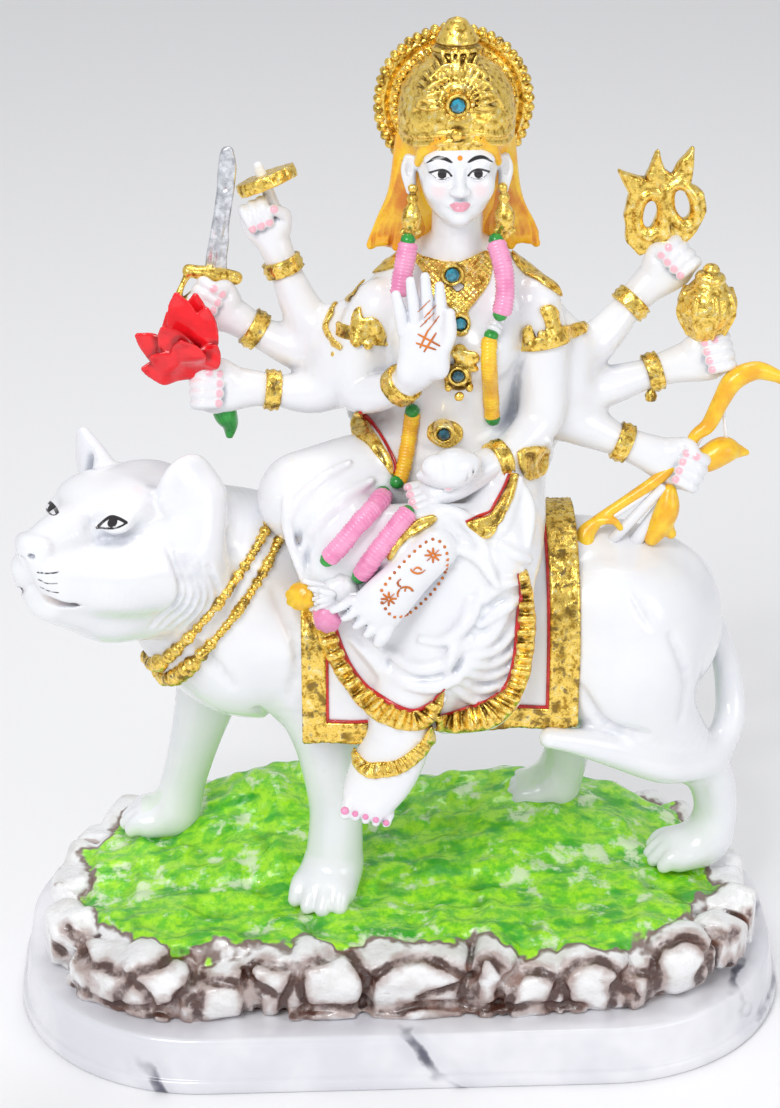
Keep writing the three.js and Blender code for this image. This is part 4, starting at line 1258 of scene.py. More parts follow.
def tiger():
    """The clay of the whole body, then the body and the head as casts of their own."""
    body = Clay(TIGER_LOW, TIGER_HIGH, BODY_VOXEL)
    front = Clay((-119, -62, 106), (-26, 34, 198), HEAD_VOXEL)
    casts = []
    whole = None
    for name, clay, side in (("tiger_body_cast", body, 1), ("tiger_head_cast", front, -1)):
        tiger_forms(clay)
        if clay is body:
            whole = Clay(TIGER_LOW, TIGER_HIGH, BODY_VOXEL)
            whole.value = clay.value.copy()
        x, y, z = clay.points()
        beyond = (
            (x - NECK_CUT[0]) * NECK_CUT_WAY[0] + (y - NECK_CUT[1]) * NECK_CUT_WAY[1]
            + (z - NECK_CUT[2]) * NECK_CUT_WAY[2]
        )
        if NECK_CUT_WAY[0] > 0:
            beyond = -beyond
        away = np.maximum(70 - z, 0) + np.maximum(x + 20, 0)
        kept = side * beyond - NECK_OVERLAP if side < 0 else np.where(away > 0, -FAR, beyond - NECK_OVERLAP)
        clay.value = np.maximum(clay.value, kept).astype(np.float32)
        points, faces, normals = clay.skin()
        marks = {"crease": crease(clay, points, normals, 3.0 if side > 0 else 2.4)}
        if side < 0:
            marks["ink"] = tiger_ink(clay, points)
            marks["blush"] = tiger_blush(points)
        else:
            marks["ink"] = np.full(len(points), UNPAINTED)
            marks["blush"] = np.full(len(points), UNPAINTED)
        # Painted shade tinted by green light reflected from the grass, on the far paws, as a distance
        marks["green_reflected_shade"] = near_line(points, [[-70, 23, 50], [-75, 24, 42]]) - 5
        marks["green_reflected_shade"] = np.minimum(
            marks["green_reflected_shade"], near_line(points, [[53, 26, 64], [52, 27, 54], [44, 27, 49]]) - 5
        )
        casts.append(mesh_of(name, points, faces, marks))
    return whole, casts


def paw(clay, place, way, size):
    """A broad paw with four toes parted by grooves."""
    way = unit(way)
    across = unit(np.cross(way, (0, 0, 1)))
    place = np.array(place, float)
    clay.limb([
        [*(place - 6 * size * way), 8.4 * size, 7 * size],
        [*(place + 2 * size * way), 9.6 * size, 6 * size],
    ], side=across, blend=4)
    for toe, spread in enumerate((-1.5, -0.5, 0.5, 1.5)):
        reach = (7.2, 9.4, 9.4, 7.4)[toe] * size
        base = place + spread * 3.6 * size * across
        tip = place + reach * way + spread * 4.3 * size * across
        clay.limb([
            [*base, 3.4 * size, 3.6 * size],
            [*(base * 0.4 + tip * 0.6 + [0, 0, 0.8]), 3.1 * size, 3.5 * size],
            [*(tip - [0, 0, 0.8 * size]), 2.4 * size],
        ], side=across, blend=0.9)


def tiger_head(clay):
    turn = (0, -8, 48)
    clay.ball([-76, -14, 162], [21.5, 20, 18.4], turn, blend=6)
    clay.ball(face_place(2, 13, -8), [12, 13, 14], turn, blend=6)
    clay.ball(face_place(2, -13, -8), [12, 13, 14], turn, blend=6)
    # Brow and the long bridge of the nose
    face_limb(clay, [
        [8, 0, 9, 13, 8], [20, 0, 6.4, 9.6, 7], [31, 0, 4.2, 7.4, 6.4], [40, 0, 2.6, 6.2, 5.4],
    ], side=FACE_SIDE, blend=5)
    for near in (1, -1):
        clay.ball(face_place(14.5, 8.6 * near, 11.2), [5.6, 6.0, 3.0], turn, blend=7)
        # Whisker pads that run back into the cheeks
        face_limb(clay, [
            [38.4, 4.6 * near, -3.4, 5.6, 5.4], [32, 7.6 * near, -4.6, 7.4, 6.6],
            [22, 11.0 * near, -6, 8.6, 8.4], [10, 14.5 * near, -6, 9.4, 10.4],
        ], side=FACE_SIDE, blend=3)
    # Chin and the heavy lower jaw, down to the throat
    face_limb(clay, [
        [36.6, 0, -14.0, 5.2, 3.8], [30, 0, -16.4, 7.6, 5.2], [20, 0, -19, 10.6, 7.2],
        [8, 0, -20, 14, 9.6], [-6, 0, -21, 15, 12],
    ], side=FACE_SIDE, blend=4)
    # Cheeks that fill the side between muzzle and jaw
    for near in (1, -1):
        face_limb(clay, [
            [35, 6.4 * near, -9.4, 5.2, 5.0], [26, 10.8 * near, -11.0, 6.8, 6.6],
            [15, 14.0 * near, -11.5, 8.0, 8.4], [3, 15.5 * near, -11.0, 9.0, 10.0],
        ], side=FACE_SIDE, blend=5)
    # Jowl that hangs behind the chin
    clay.limb([
        [-97, -42, 153.5, 6.0], [-92, -40, 149.6, 6.6], [-85, -35, 144.4, 7.6], [-76, -29, 142.4, 8.0],
    ], blend=5)
    # Nose with its wings
    face_limb(clay, [
        [41.4, -4.2, 4.6, 2.4, 2.2], [43.2, 0, 4.2, 3.2, 2.7], [41.4, 4.2, 4.6, 2.4, 2.2],
    ], side=(0, 0, 1), blend=1.6)
    for near in (1, -1):
        clay.ball(face_place(44.4, 2.8 * near, 2.6), [1.2, 1.2, 0.9], turn, blend=0.6, carve=True)
    # Groove under the nose and the mouth line round both sides
    face_limb(clay, [[45.2, 0, 1.4, 0.8], [44.4, 0, -7.0, 0.9]], blend=0.9, carve=True)
    for near in (1, -1):
        face_limb(clay, [
            [44.0, 0.6 * near, -8.6, 1.0], [41.0, 6.4 * near, -10.8, 1.15],
            [34.6, 10.4 * near, -11.6, 0.9], [30, 13.0 * near, -10.0, 0.5],
        ], blend=1.2, carve=True)
        # Eye socket with the eyeball
        clay.ball(face_place(24.8, 11.0 * near, 7.6), [2.6, 4.4, 1.9], turn, blend=4, carve=True)
        clay.ball(face_place(19.4, 10.8 * near, 7.4), [4.4, 4.6, 2.6], turn, blend=2.4)
    # Near ear rounded, far ear pointed and a little hollow towards the front
    clay.ball([-62, -23, 178], [9.2, 4.4, 10.2], (6, 14, 40), blend=3)
    clay.limb([
        [-85.6, -5.5, 171, 8.6, 5], [-88.2, -4.0, 178, 6.6, 3.6], [-90.0, -3.2, 183, 4.4, 2.6],
        [-91.2, -2.8, 187.0, 1.8, 1.4],
    ], side=(0.74, -0.67, 0), blend=2.4)
    clay.ball([-90.2, -7.6, 178.2], [3.4, 1.0, 4.8], (6, -14, 40), blend=2.4, carve=True)


def tiger_folds(clay):
    """Fur ruff behind the cheeks, skin folds of the neck, and lines that part the muscles."""
    clay.limb([
        [-57.6, -22, 174, 7, 8], [-58.4, -27, 162, 7.4, 7.6], [-61.0, -27.6, 150, 7.4, 8],
        [-70, -25, 142, 7, 8], [-82, -26, 143, 6, 7],
    ], side=(0.74, -0.67, 0), blend=5)
    for row in range(6):
        high = [-66.5 + 2.2 * row, 0, 166 - 1.5 * row]
        middle = [-63.5 + 2.1 * row, 0, 153 - 1.2 * row]
        low = [-72 + 2.6 * row, 0, 141.5 - 1.4 * row]
        clay.stroke([high, middle, low], 0.8, lift=0.1, blend=1.8, carve=True)
    for line, radius in (
        ([[-83, 0, 158], [-76, 0, 151], [-78, 0, 143]], 0.8),
        ([[-79, 0, 162], [-71, 0, 154], [-74, 0, 143]], 0.8),
        ([[-50, 0, 165], [-48, 0, 150], [-56, 0, 134]], 1.0),
        ([[-60, 0, 131], [-55, 0, 124], [-50, 0, 116]], 1.0),
        ([[-37, 0, 146], [-31, 0, 128], [-34, 0, 112]], 1.0),
        ([[-43, 0, 106], [-38, 0, 95], [-36, 0, 84]], 1.0),
        ([[52, 0, 112], [60, 0, 100], [72, 0, 95]], 1.2),
        ([[78, 0, 128], [84, 0, 112], [83, 0, 98]], 1.0),
        ([[66, 0, 142], [72, 0, 132]], 0.9),
    ):
        clay.stroke(line, radius, lift=0.2, blend=2.6, carve=True)


NEAR_EYE = [
    [-86.6, 169.3], [-84.8, 171.2], [-82.7, 172.5], [-80.6, 172.0], [-78.5, 170.7], [-80.4, 169.4],
    [-82.5, 168.9], [-84.6, 169.0],
]
FAR_EYE = [
    [-101.5, 177.1], [-100.6, 177.8], [-99.3, 177.0], [-98.2, 175.6], [-97.6, 174.1], [-98.4, 173.4],
    [-99.6, 173.8], [-100.7, 175.3],
]
PUPILS = [[-82.4, 170.8], [-99.5, 175.6]]
WHISKERS = [
    [[-104.2, 155.6], [-101.1, 155.2], [-98.2, 155.5]], [[-104.0, 153.4], [-101.5, 152.0], [-98.7, 151.9]],
    [[-103.9, 151.2], [-101.4, 149.7], [-98.5, 149.0]],
]


def met_in_sight(clay, line, steps=5):
    points, ways = seen(line, steps)
    return clay.meet(points, ways)


def tiger_ink(clay, points):
    """How far each point is from the fine dark brush lines, less their half width."""
    best = np.full(len(points), UNPAINTED)
    for outline_points in (NEAR_EYE, FAR_EYE):
        rim = met_in_sight(clay, [*outline_points, outline_points[0]])
        best = np.minimum(best, near_line(points, rim) - 0.3)
        upper = met_in_sight(clay, outline_points[:5])
        best = np.minimum(best, near_line(points, upper) - 0.55)
    for place, radius in zip(PUPILS, (1.5, 1.2)):
        pupil = met_in_sight(clay, [place, [place[0] + 0.1, place[1]]], 0)[0]
        best = np.minimum(best, np.linalg.norm(points - pupil, axis=1) - radius)
    for line in WHISKERS:
        best = np.minimum(best, near_line(points, met_in_sight(clay, line)) - 0.22)
    return best


def tiger_blush(points):
    """Thin brown shading in the mouth line, as a distance."""
    best = np.full(len(points), UNPAINTED)
    for near in (1, -1):
        line = smooth_line([
            face_place(44.0, 0.6 * near, -8.6), face_place(41.0, 6.4 * near, -10.8),
            face_place(34.6, 10.4 * near, -11.6),
        ], 5)
        best = np.minimum(best, near_line(points, line) - 0.9)
    return best


# Rider: body, arms up to the bangles, legs and skirt

# The place that the figure is seen from, and an upright plane through the lap. Lines given as
# [x, z] lie on that plane and are carried on to the surface along the sight lines.
VIEWER = np.array([-36.1, -762.1, 513.9])
SEEN_Y = -30.0


def seen(line, steps=5):
    """A smooth line on the plane, with the way of sight for each of its points."""
    flat = smooth_line(line, steps) if steps else np.array(line, float)
    points = np.column_stack([flat[:, 0], np.full(len(flat), SEEN_Y), flat[:, 1]])
    ways = points - VIEWER
    return points, ways / np.linalg.norm(ways, axis=1)[:, None]


def on_plane(points):
    """Where surface points are seen on the plane, as [x, z]."""
    share = (SEEN_Y - VIEWER[1]) / (points[:, 1] - VIEWER[1])
    held = VIEWER + share[:, None] * (points - VIEWER)
    return held[:, [0, 2]]


def facing(points, normals):
    """How far a surface faces the viewer, from -1 to 1."""
    ways = points - VIEWER
    return -(normals * ways).sum(1) / np.linalg.norm(ways, axis=1)


def closed(outline, steps):
    """A smooth line once round an outline."""
    return smooth_line([*outline, outline[0]], steps)


def area(flat, corners):
    """Distances in the plane to a closed outline, below zero inside."""
    corners = np.array(corners, float)
    best = np.full(len(flat), 1e9)
    inside = np.zeros(len(flat), bool)
    for a, b in zip(corners, np.roll(corners, -1, 0)):
        along = b - a
        share = np.clip((flat - a) @ along / (along @ along + 1e-9), 0, 1)
        best = np.minimum(best, np.linalg.norm(flat - a - share[:, None] * along, axis=1))
        crosses = (a[1] > flat[:, 1]) != (b[1] > flat[:, 1])
        reach = a[0] + (flat[:, 1] - a[1]) * along[0] / (along[1] + 1e-12)
        inside ^= crosses & (flat[:, 0] < reach)
    return np.where(inside, -best, best)


UPPER_ARM = 7.2
FORE_ARM = 6.5
WRIST = 4.5
BANGLE_LENGTH = 3.6

# Each arm: shoulder, a point below it, elbow, wrist and the hand's own start
ARMS = {
    "blessing": ([-6, 2, 222], [-11, 0, 212], [-12, -4, 199], [-1.5, -14, 203.5], [3, -18, 209], 8.0),
    "lap": ([38, 3, 222], [41, 1, 206], [40, -2, 188], [29, -13, 181], [22, -17, 179.6], 8.0),
    "discus": ([-9, 8, 216], None, [-24, 12, 213], [-32.4, 17, 227.5], [-35.5, 18, 236], UPPER_ARM),
    "sword": ([-10, 6, 210], None, [-26, 10, 205.5], [-40, 14, 210], [-47, 14.5, 214.6], UPPER_ARM),
    "lotus": ([-8, 2, 204], None, [-24, 2, 196.4], [-35, 2.5, 196.6], [-43, 2, 197.6], UPPER_ARM),
    "trident": ([44, 9, 206], None, [56, 13, 204.5], [67, 19, 214], [72.6, 21, 219.4], UPPER_ARM),
    "mace": ([46, 8, 196], None, [56, 10, 192], [73, 13, 195.5], [80.4, 14, 197.5], UPPER_ARM),
    "bow": ([44, 7, 187], None, [55, 7, 182], [64, 6, 177.6], [72, 5, 174.4], UPPER_ARM),
}


def arm_line(name):
    """Stations of an arm from its shoulder to just inside its bangle."""
    root, middle, elbow, wrist, hand, thick = ARMS[name]
    way = unit(np.array(hand, float) - wrist)
    line = [[*root, thick]]
    if middle:
        line.append([*middle, thick * 0.95])
    line.append([*elbow, FORE_ARM])
    line.append([*wrist, WRIST])
    line.append([*(np.array(wrist) + BANGLE_LENGTH * way), WRIST])
    return line


HEM_LEFT = [
    [-26.1, 137.4], [-23.9, 129.0], [-19.0, 119.0], [-14.4, 111.7], [-9.2, 105.9], [-2.5, 102.4],
    [4.0, 101.5], [8.6, 104.4], [11.5, 109.7],
]
HEM_LEFT_INNER = [
    [-20.3, 137.3], [-18.1, 129.5], [-15.5, 123.2], [-11.8, 117.5], [-7.4, 113.5], [-1.9, 109.7],
    [2.8, 108.3], [7.4, 110.5], [11.5, 115.0],
]
HEM_RIGHT = [
    [9.2, 101.4], [13.9, 100.6], [20.4, 100.8], [26.5, 102.3], [31.2, 106.6], [34.6, 113.1],
    [36.7, 121.0], [37.7, 130.8], [37.5, 139.9], [36.4, 147.6], [34.9, 154.0],
]
HEM_RIGHT_INNER = [
    [9.2, 106.1], [13.6, 107.3], [18.5, 108.9], [23.8, 111.1], [28.4, 114.3], [30.9, 119.8],
    [32.0, 126.0], [32.4, 133.5], [32.8, 140.6], [33.3, 145.4], [32.6, 152.2],
]
# Ridges of the cloth: radius of the ridge, then its line on the plane
FOLDS = [
    (2.2, [[-4.8, 127.9], [3.0, 122.5], [11.7, 124.2], [18.3, 131.3]]),
    (2.0, [[-5.4, 121.3], [3.0, 116.5], [12.6, 117.6], [21.8, 127.3]]),
    (1.6, [[18.7, 144.2], [15.9, 133.9], [13.7, 126.5], [12.6, 120.9]]),
    (1.7, [[4.4, 131.6], [11.6, 131.4], [18.8, 137.7], [22.1, 147.3]]),
    (1.5, [[-15.2, 132.0], [-9.4, 125.4], [-6.0, 118.7]]),
    (1.5, [[-11.4, 133.2], [-7.7, 128.6], [-5.4, 122.7]]),
    (2.0, [[18.3, 128.6], [24.6, 132.4], [30.8, 143.9]]),
    (2.0, [[18.3, 126.0], [26.1, 128.5], [33.2, 136.1]]),
    (2.0, [[17.8, 123.4], [25.3, 123.9], [32.8, 128.3]]),
    (1.9, [[16.7, 120.8], [23.6, 119.7], [31.2, 121.8]]),
    (1.8, [[15.5, 118.2], [21.4, 115.4], [27.8, 116.0]]),
    (1.7, [[14.4, 115.6], [19.1, 112.2], [23.8, 110.7]]),
    (2.0, [[23.3, 144.1], [27.2, 148.8], [32.4, 149.6]]),
    (2.0, [[21.7, 136.0], [27.4, 140.8], [32.5, 143.9]]),
    (1.4, [[-15.4, 188.1], [-23.9, 182.7], [-31.0, 175.1], [-33.9, 167.4]]),
    (1.8, [[-9.3, 182.4], [-18.3, 176.4], [-26.3, 167.3], [-29.8, 157.9]]),
    (1.8, [[-5.7, 176.2], [-14.1, 168.6], [-21.3, 159.3]]),
    (1.7, [[-29.7, 162.6], [-28.5, 151.6], [-22.9, 141.9]]),
    (1.5, [[-33.8, 176.7], [-32.5, 164.3], [-28.5, 150.0]]),
    (1.8, [[7.0, 174.4], [15.5, 171.1], [21.3, 163.2], [24.3, 152.0]]),
    (1.8, [[14.2, 160.8], [21.4, 156.8], [26.4, 148.8]]),
    (1.7, [[32.3, 181.6], [35.3, 172.3], [35.0, 161.3]]),
    (1.5, [[27.0, 161.5], [31.4, 158.2], [35.7, 156.5]]),
]
SASH_LEFT = [[-15.3, 202.6], [-12.0, 199.2], [-8.4, 194.0], [-5.6, 188.5], [-3.7, 184.8]]
SASH_RIGHT = [[39.6, 193.7], [38.6, 189.2], [37.9, 184.0]]


def skirt(clay):
    """Cloth spread down the tiger's flank, thickened round the shin, with folds and a wavy hem."""
    cut = clay.window((-34, -42, 92), (46, -18, 176))
    x, y, z = clay.points(cut)
    around = [*HEM_LEFT, *HEM_RIGHT, [32, 162], [24, 172], [-14, 172], [-27, 160], [-27.5, 148]]
    flat = np.stack(np.broadcast_arrays(x[:, 0, :], z[:, 0, :]), -1).reshape(-1, 2)
    side = area(flat, smooth_line(around, 2)).reshape(x.shape[0], z.shape[2])[:, None, :]
    across = np.abs(y + 27.5 + 0.03 * np.abs(x - 4)) - 4.6
    sheet = np.maximum(side, across) + np.maximum(3.5 - np.abs(side - across), 0) ** 2 / 14
    clay.press(np.broadcast_to(sheet, clay.value[cut].shape).astype(np.float32), cut, 3)
    clay.limb([
        [25, -24, 157, 13.5, 12.5], [17, -29, 138, 13, 9.5], [7, -32, 121, 11, 7.5], [3, -33, 112, 9, 5],
    ], blend=5)
    for radius, line in FOLDS:
        points, ways = seen(line)
        clay.drape(points, ways, radius, lift=0.26 * radius, blend=1.6)
    for line, inner in ((HEM_LEFT, HEM_LEFT_INNER), (HEM_RIGHT, HEM_RIGHT_INNER)):
        outer_points, ways = seen(even_line(smooth_line(line, 4), 1.0), 0)
        inner_points, _ = seen(even_line(smooth_line(inner, 4), 1.0), 0)
        count = len(outer_points)
        again = np.array([inner_points[int(i)] for i in np.linspace(0, len(inner_points) - 1, count)])
        middle = 0.5 * (outer_points + again)
        half = 0.5 * np.linalg.norm(outer_points - again, axis=1)
        crimp = 0.5 * np.sin(np.arange(count) * 1.15)
        clay.drape(middle, ways, np.maximum(half, 1.3), lift=0.7 + crimp, blend=1.2, flat=0.75)


def rider():
    clay = Clay((-66, -56, 78), (106, 34, 252), 0.75)
    clay.limb([
        [15, 6, 158, 27, 19], [15, 5, 168, 26, 18], [14, 4, 182, 18.5, 14], [14, 3, 192, 17, 12.5],
        [15, 2.5, 206, 19.5, 14], [15.5, 2.5, 219, 22, 13], [16, 4, 228, 17, 10], [16, 4, 235, 9, 8],
    ])
    clay.limb([[16, 4, 228, 8], [16, 3, 238, 7.4], [16, 2.4, 252, 7.2]], blend=4)
    for x in (7.2, 23.4):
        clay.ball([x, -7.2, 212], [8.6, 8.2, 8.4], blend=5)
    # Cape over the back and the roots of the arms
    clay.limb([
        [17, 12, 166, 24, 9], [18, 12, 186, 33, 10], [17, 12, 206, 33, 11], [16, 10, 222, 28, 10],
        [16, 8, 234, 15, 8],
    ], blend=5)
    clay.ball([-13, 4, 205], [13, 10, 13], blend=5)
    clay.ball([46, 9, 198], [11, 10, 18], blend=5)
    for name in ARMS:
        clay.limb(arm_line(name), side=(0, 0.2, 1), blend=2.2 if name in ("blessing", "lap") else 3.5)
    # Thighs, the folded shin and both feet
    clay.limb([[8, 4, 168, 15], [-10, -4, 170.6, 14], [-28.6, -12, 169.4, 13]], side=(0, 1, 0), blend=5)
    clay.limb([
        [-26, -14, 169, 12], [-14, -24, 163, 10.5], [-3, -29, 162, 7], [2, -31, 160, 5.6],
    ], side=(0, 1, 0), blend=5)
    clay.limb([[26, 2, 168, 16], [27, -14, 163, 14.5], [25, -25, 156, 13]], blend=6)
    skirt(clay)
    folded_foot(clay)
    hanging_foot(clay)
    for line, radius in ((SASH_LEFT, 2.2), (SASH_RIGHT, 3.0)):
        points, ways = seen(line)
        clay.drape(points, ways, radius, lift=0.4, blend=1.0, flat=0.6)
    points, ways = seen([[20.7, 167.9], [26.6, 166.5], [29.4, 173.4], [32.3, 182.4]])
    clay.drape(points, ways, 2.4, lift=0.3, blend=1.0, flat=0.6)
    for line in ([[2, 193], [9, 190.4], [16, 190.6]], [[4, 186.6], [11, 184.2], [19, 184.6]]):
        points, ways = seen(line)
        clay.drape(points, ways, 0.8, lift=0.3, blend=1.6, carve=True)
    roughen(clay, 0.1, 6, 41)
    points, faces, normals = clay.skin()
    marks = {"crease": crease(clay, points, normals, 2.4)}
    return clay, mesh_of("rider_cast", points, faces, marks)


def folded_foot(clay):
    """The right foot laid over the lap, its sole to the viewer."""
    slant = (0.7, 0, -0.7)
    clay.limb([
        [9, -34, 163, 6.2, 5.2], [1.5, -36, 156, 6.6, 4.6], [-6.5, -38, 148, 7.6, 4],
        [-9.5, -38.4, 145, 7.4, 3.4],
    ], side=slant, blend=1.6)
    for toe in range(5):
        root = np.array([-5.0 - 2.7 * toe, -38.4, 141.6 + 1.9 * toe])
        tip = root + np.array([-3.0 - 0.5 * toe, -0.8, -5.6 + 0.7 * toe])
        thick = 1.9 - 0.12 * toe if toe else 2.2
        clay.limb([
            [*root, thick], [*(0.5 * (root + tip) + [0, -0.7, 0]), thick], [*tip, thick * 0.8],
        ], blend=0.6)


def hanging_foot(clay):
    clay.limb([
        [3, -31, 120, 11, 8], [-0.9, -32, 113.6, 10, 7.5], [-1.8, -33, 101.6, 9.7, 7],
        [-6.3, -36, 92, 10.0, 6.5], [-10.8, -39, 85.5, 8.3, 4.6],
    ], side=(1, -0.3, -0.1), blend=1.6)
    clay.limb([
        [-8.0, -37.5, 89, 8.6, 5.4], [-11.6, -40.8, 83.8, 7.6, 3.6],
    ], side=(0.9, -0.1, -0.4), blend=2)
    for toe in range(5):
        root = np.array([-16.6 + 3.0 * toe, -41.6 - 0.1 * toe, 84.6 - 1.05 * toe])
        tip = root + np.array([-1.4, -2.4, -2.2])
        thick = 2.2 if toe == 0 else 1.75 - 0.1 * toe
        clay.limb([[*root, thick], [*tip, thick * 0.85]], blend=0.6)


ANKLET = [[-16.0, 95.0], [-14.8, 89.5], [-11.3, 86.4], [-5.7, 85.9], [0.2, 87.8], [5.2, 91.7], [9.6, 98.1]]
ANKLET_RISE = 5.4


def anklet(body):
    """The gold cuff above the hanging foot."""
    lower = smooth_line(ANKLET, 4)
    upper = smooth_line([[x * 0.9 - 0.6, z + ANKLET_RISE] for x, z in ANKLET], 4)
    clay = Clay((-24, -50, 80), (16, -20, 108), 0.45)
    overlay(clay, body, [*lower, *upper[::-1]], crimped(ANKLET, 3.2, 0.8, 1.5), back=-24)
    return gold_skin("anklet", clay)


def toenails(body):
    made = Shapes()
    for toe in range(5):
        tip = np.array([-18.0 + 3.0 * toe, -44.4 - 0.1 * toe, 83.6 - 1.05 * toe])
        way = unit(tip - VIEWER)
        met = body.meet([tip - 14 * way], way)[0]
        size = 1.25 if toe == 0 else 0.95
        made.turned([(0, -0.5), (size, -0.25), (size * 0.9, 0.25), (0, 0.4)], met, -way, 14)
    return made.mesh("toenails")


def flat_line(flat, line):
    best = np.full(len(flat), UNPAINTED)
    line = np.asarray(line, float)
    for a, b in zip(line, line[1:]):
        along = b - a
        share = np.clip((flat - a) @ along / (along @ along + 1e-9), 0, 1)
        best = np.minimum(best, np.linalg.norm(flat - a - share[:, None] * along, axis=1))
    return best


# Head, hair and crown

HEAD = np.array([15.8, 1.0, 262.0])
HEAD_LEAN = math.radians(8)
HEAD_TURN = (-8, 0, 0)
HEAD_OUT = np.array([0, -math.cos(HEAD_LEAN), math.sin(HEAD_LEAN)])
HEAD_UP = np.array([0, math.sin(HEAD_LEAN), math.cos(HEAD_LEAN)])
# The face in thirds: hairline to brow, brow to nose, nose to chin
THIRD = 8.6
BROW = 4.4
NOSE_FOOT = BROW - THIRD
MOUTH = NOSE_FOOT - THIRD / 3
CHIN = NOSE_FOOT - THIRD
EYE = 1.5
EYE_APART = 5.0


def head_place(across, out, up):
    """A place on the head: across to the viewer's right, out through the face, and up."""
    return HEAD + across * np.array([1.0, 0, 0]) + out * HEAD_OUT + up * HEAD_UP


def head_limb(clay, stations, **more):
    """A limb through stations [across, out, up, sizes] on the head."""
    clay.limb([[*head_place(*s[:3]), *s[3:]] for s in stations], **more)


def head():
    clay = Clay((-2, -18, 226), (34, 18, 280), 0.4)
    clay.limb([[16, 4, 226, 9, 8], [16, 3, 234, 7.2, 7], [15.8, 1.6, 250, 6.6, 6.6]])
    clay.ball(head_place(0, -1.5, 6), [11.8, 12.2, 12], HEAD_TURN, blend=2)
    head_limb(clay, [
        [0, 7.6, CHIN + 2.0, 3.4, 3.2], [0, 4.6, MOUTH + 0.4, 8.0, 6.6], [0, 2.8, -1.5, 10.4, 9.2],
        [0, 1.6, 5.5, 11.0, 10.6], [0, 0.6, 12, 10.4, 10.4],
    ], blend=2)
    for near in (1, -1):
        clay.ball(head_place(5.2 * near, 8.2, NOSE_FOOT + 1.6), [4.3, 3.4, 4.2], HEAD_TURN, blend=3)
        clay.ball(
            head_place(EYE_APART * near, 13.4, EYE + 0.3),
            [3.9, 2.3, 2.6],
            HEAD_TURN,
            blend=2.2,
            carve=True,
        )
        clay.ball(head_place(EYE_APART * near, 9.0, EYE), [3.5, 3.0, 2.7], HEAD_TURN, blend=0.6)
        # Lids, brow ridge, wing of the nose
        lid = [
            [2.3, 11.0, EYE - 0.2, 0.42], [3.7, 12.1, EYE + 1.5, 0.55], [5.5, 12.0, EYE + 1.8, 0.55],
            [8.0, 10.2, EYE + 0.5, 0.4],
        ]
        head_limb(clay, [[p[0] * near, *p[1:]] for p in lid], blend=0.5)
        lower = [[2.5, 11.2, EYE - 0.6, 0.3], [5.0, 11.8, EYE - 1.7, 0.42], [7.8, 10.3, EYE - 0.2, 0.3]]
        head_limb(clay, [[p[0] * near, *p[1:]] for p in lower], blend=0.6)
        clay.ball(head_place(5.4 * near, 9.6, BROW + 0.6), [4.4, 2.2, 1.7], HEAD_TURN, blend=2.5)
        clay.ball(head_place(1.75 * near, 12.6, NOSE_FOOT + 0.8), [1.25, 1.5, 1.1], HEAD_TURN, blend=0.8)
        clay.ball(
            head_place(1.0 * near, 13.6, NOSE_FOOT - 0.3),
            [0.5, 0.7, 0.4],
            HEAD_TURN,
            blend=0.4,
            carve=True,
        )
        # Ear with its hollow and long lobe
        ear = [
            [12.6 * near, -0.6, 3.6, 2.3, 1.6], [13.6 * near, -0.2, 0.4, 2.1, 1.5],
            [12.8 * near, 0.6, -5.0, 1.5, 1.2],
        ]
        head_limb(clay, ear, side=(1, 0, 0), blend=1.0)
        clay.ball(head_place(13.6 * near, 1.2, 1.8), [1.0, 0.9, 2.6], HEAD_TURN, blend=0.6, carve=True)
    head_limb(clay, [
        [0, 10.8, BROW - 0.5, 1.25], [0, 12.2, 0.4, 1.15], [0, 13.9, NOSE_FOOT + 1.5, 1.45],
        [0, 13.6, NOSE_FOOT + 0.7, 1.3],
    ], blend=1.6)
    # Lips and the line between them, then the chin
    head_limb(clay, [
        [-3.1, 10.7, MOUTH, 0.35], [-1.1, 12.1, MOUTH + 0.55, 0.75], [0, 12.2, MOUTH + 0.35, 0.62],
        [1.1, 12.1, MOUTH + 0.55, 0.75], [3.1, 10.7, MOUTH, 0.35],
    ], blend=0.7)
    head_limb(clay, [
        [-2.6, 10.9, MOUTH - 0.5, 0.4], [0, 12.2, MOUTH - 1.1, 0.95], [2.6, 10.9, MOUTH - 0.5, 0.4],
    ], blend=0.7)
    head_limb(clay, [
        [-2.9, 11.9, MOUTH - 0.1, 0.18], [0, 13.2, MOUTH - 0.25, 0.22], [2.9, 11.9, MOUTH - 0.1, 0.18],
    ], blend=0.3, carve=True)
    clay.ball(head_place(0, 9.6, CHIN + 2.2), [2.9, 2.4, 2.4], HEAD_TURN, blend=2)
    points, faces, normals = clay.skin()
    marks = {"crease": crease(clay, points, normals, 2.0), **face_marks(points)}
    return mesh_of("head_cast", points, faces, marks)


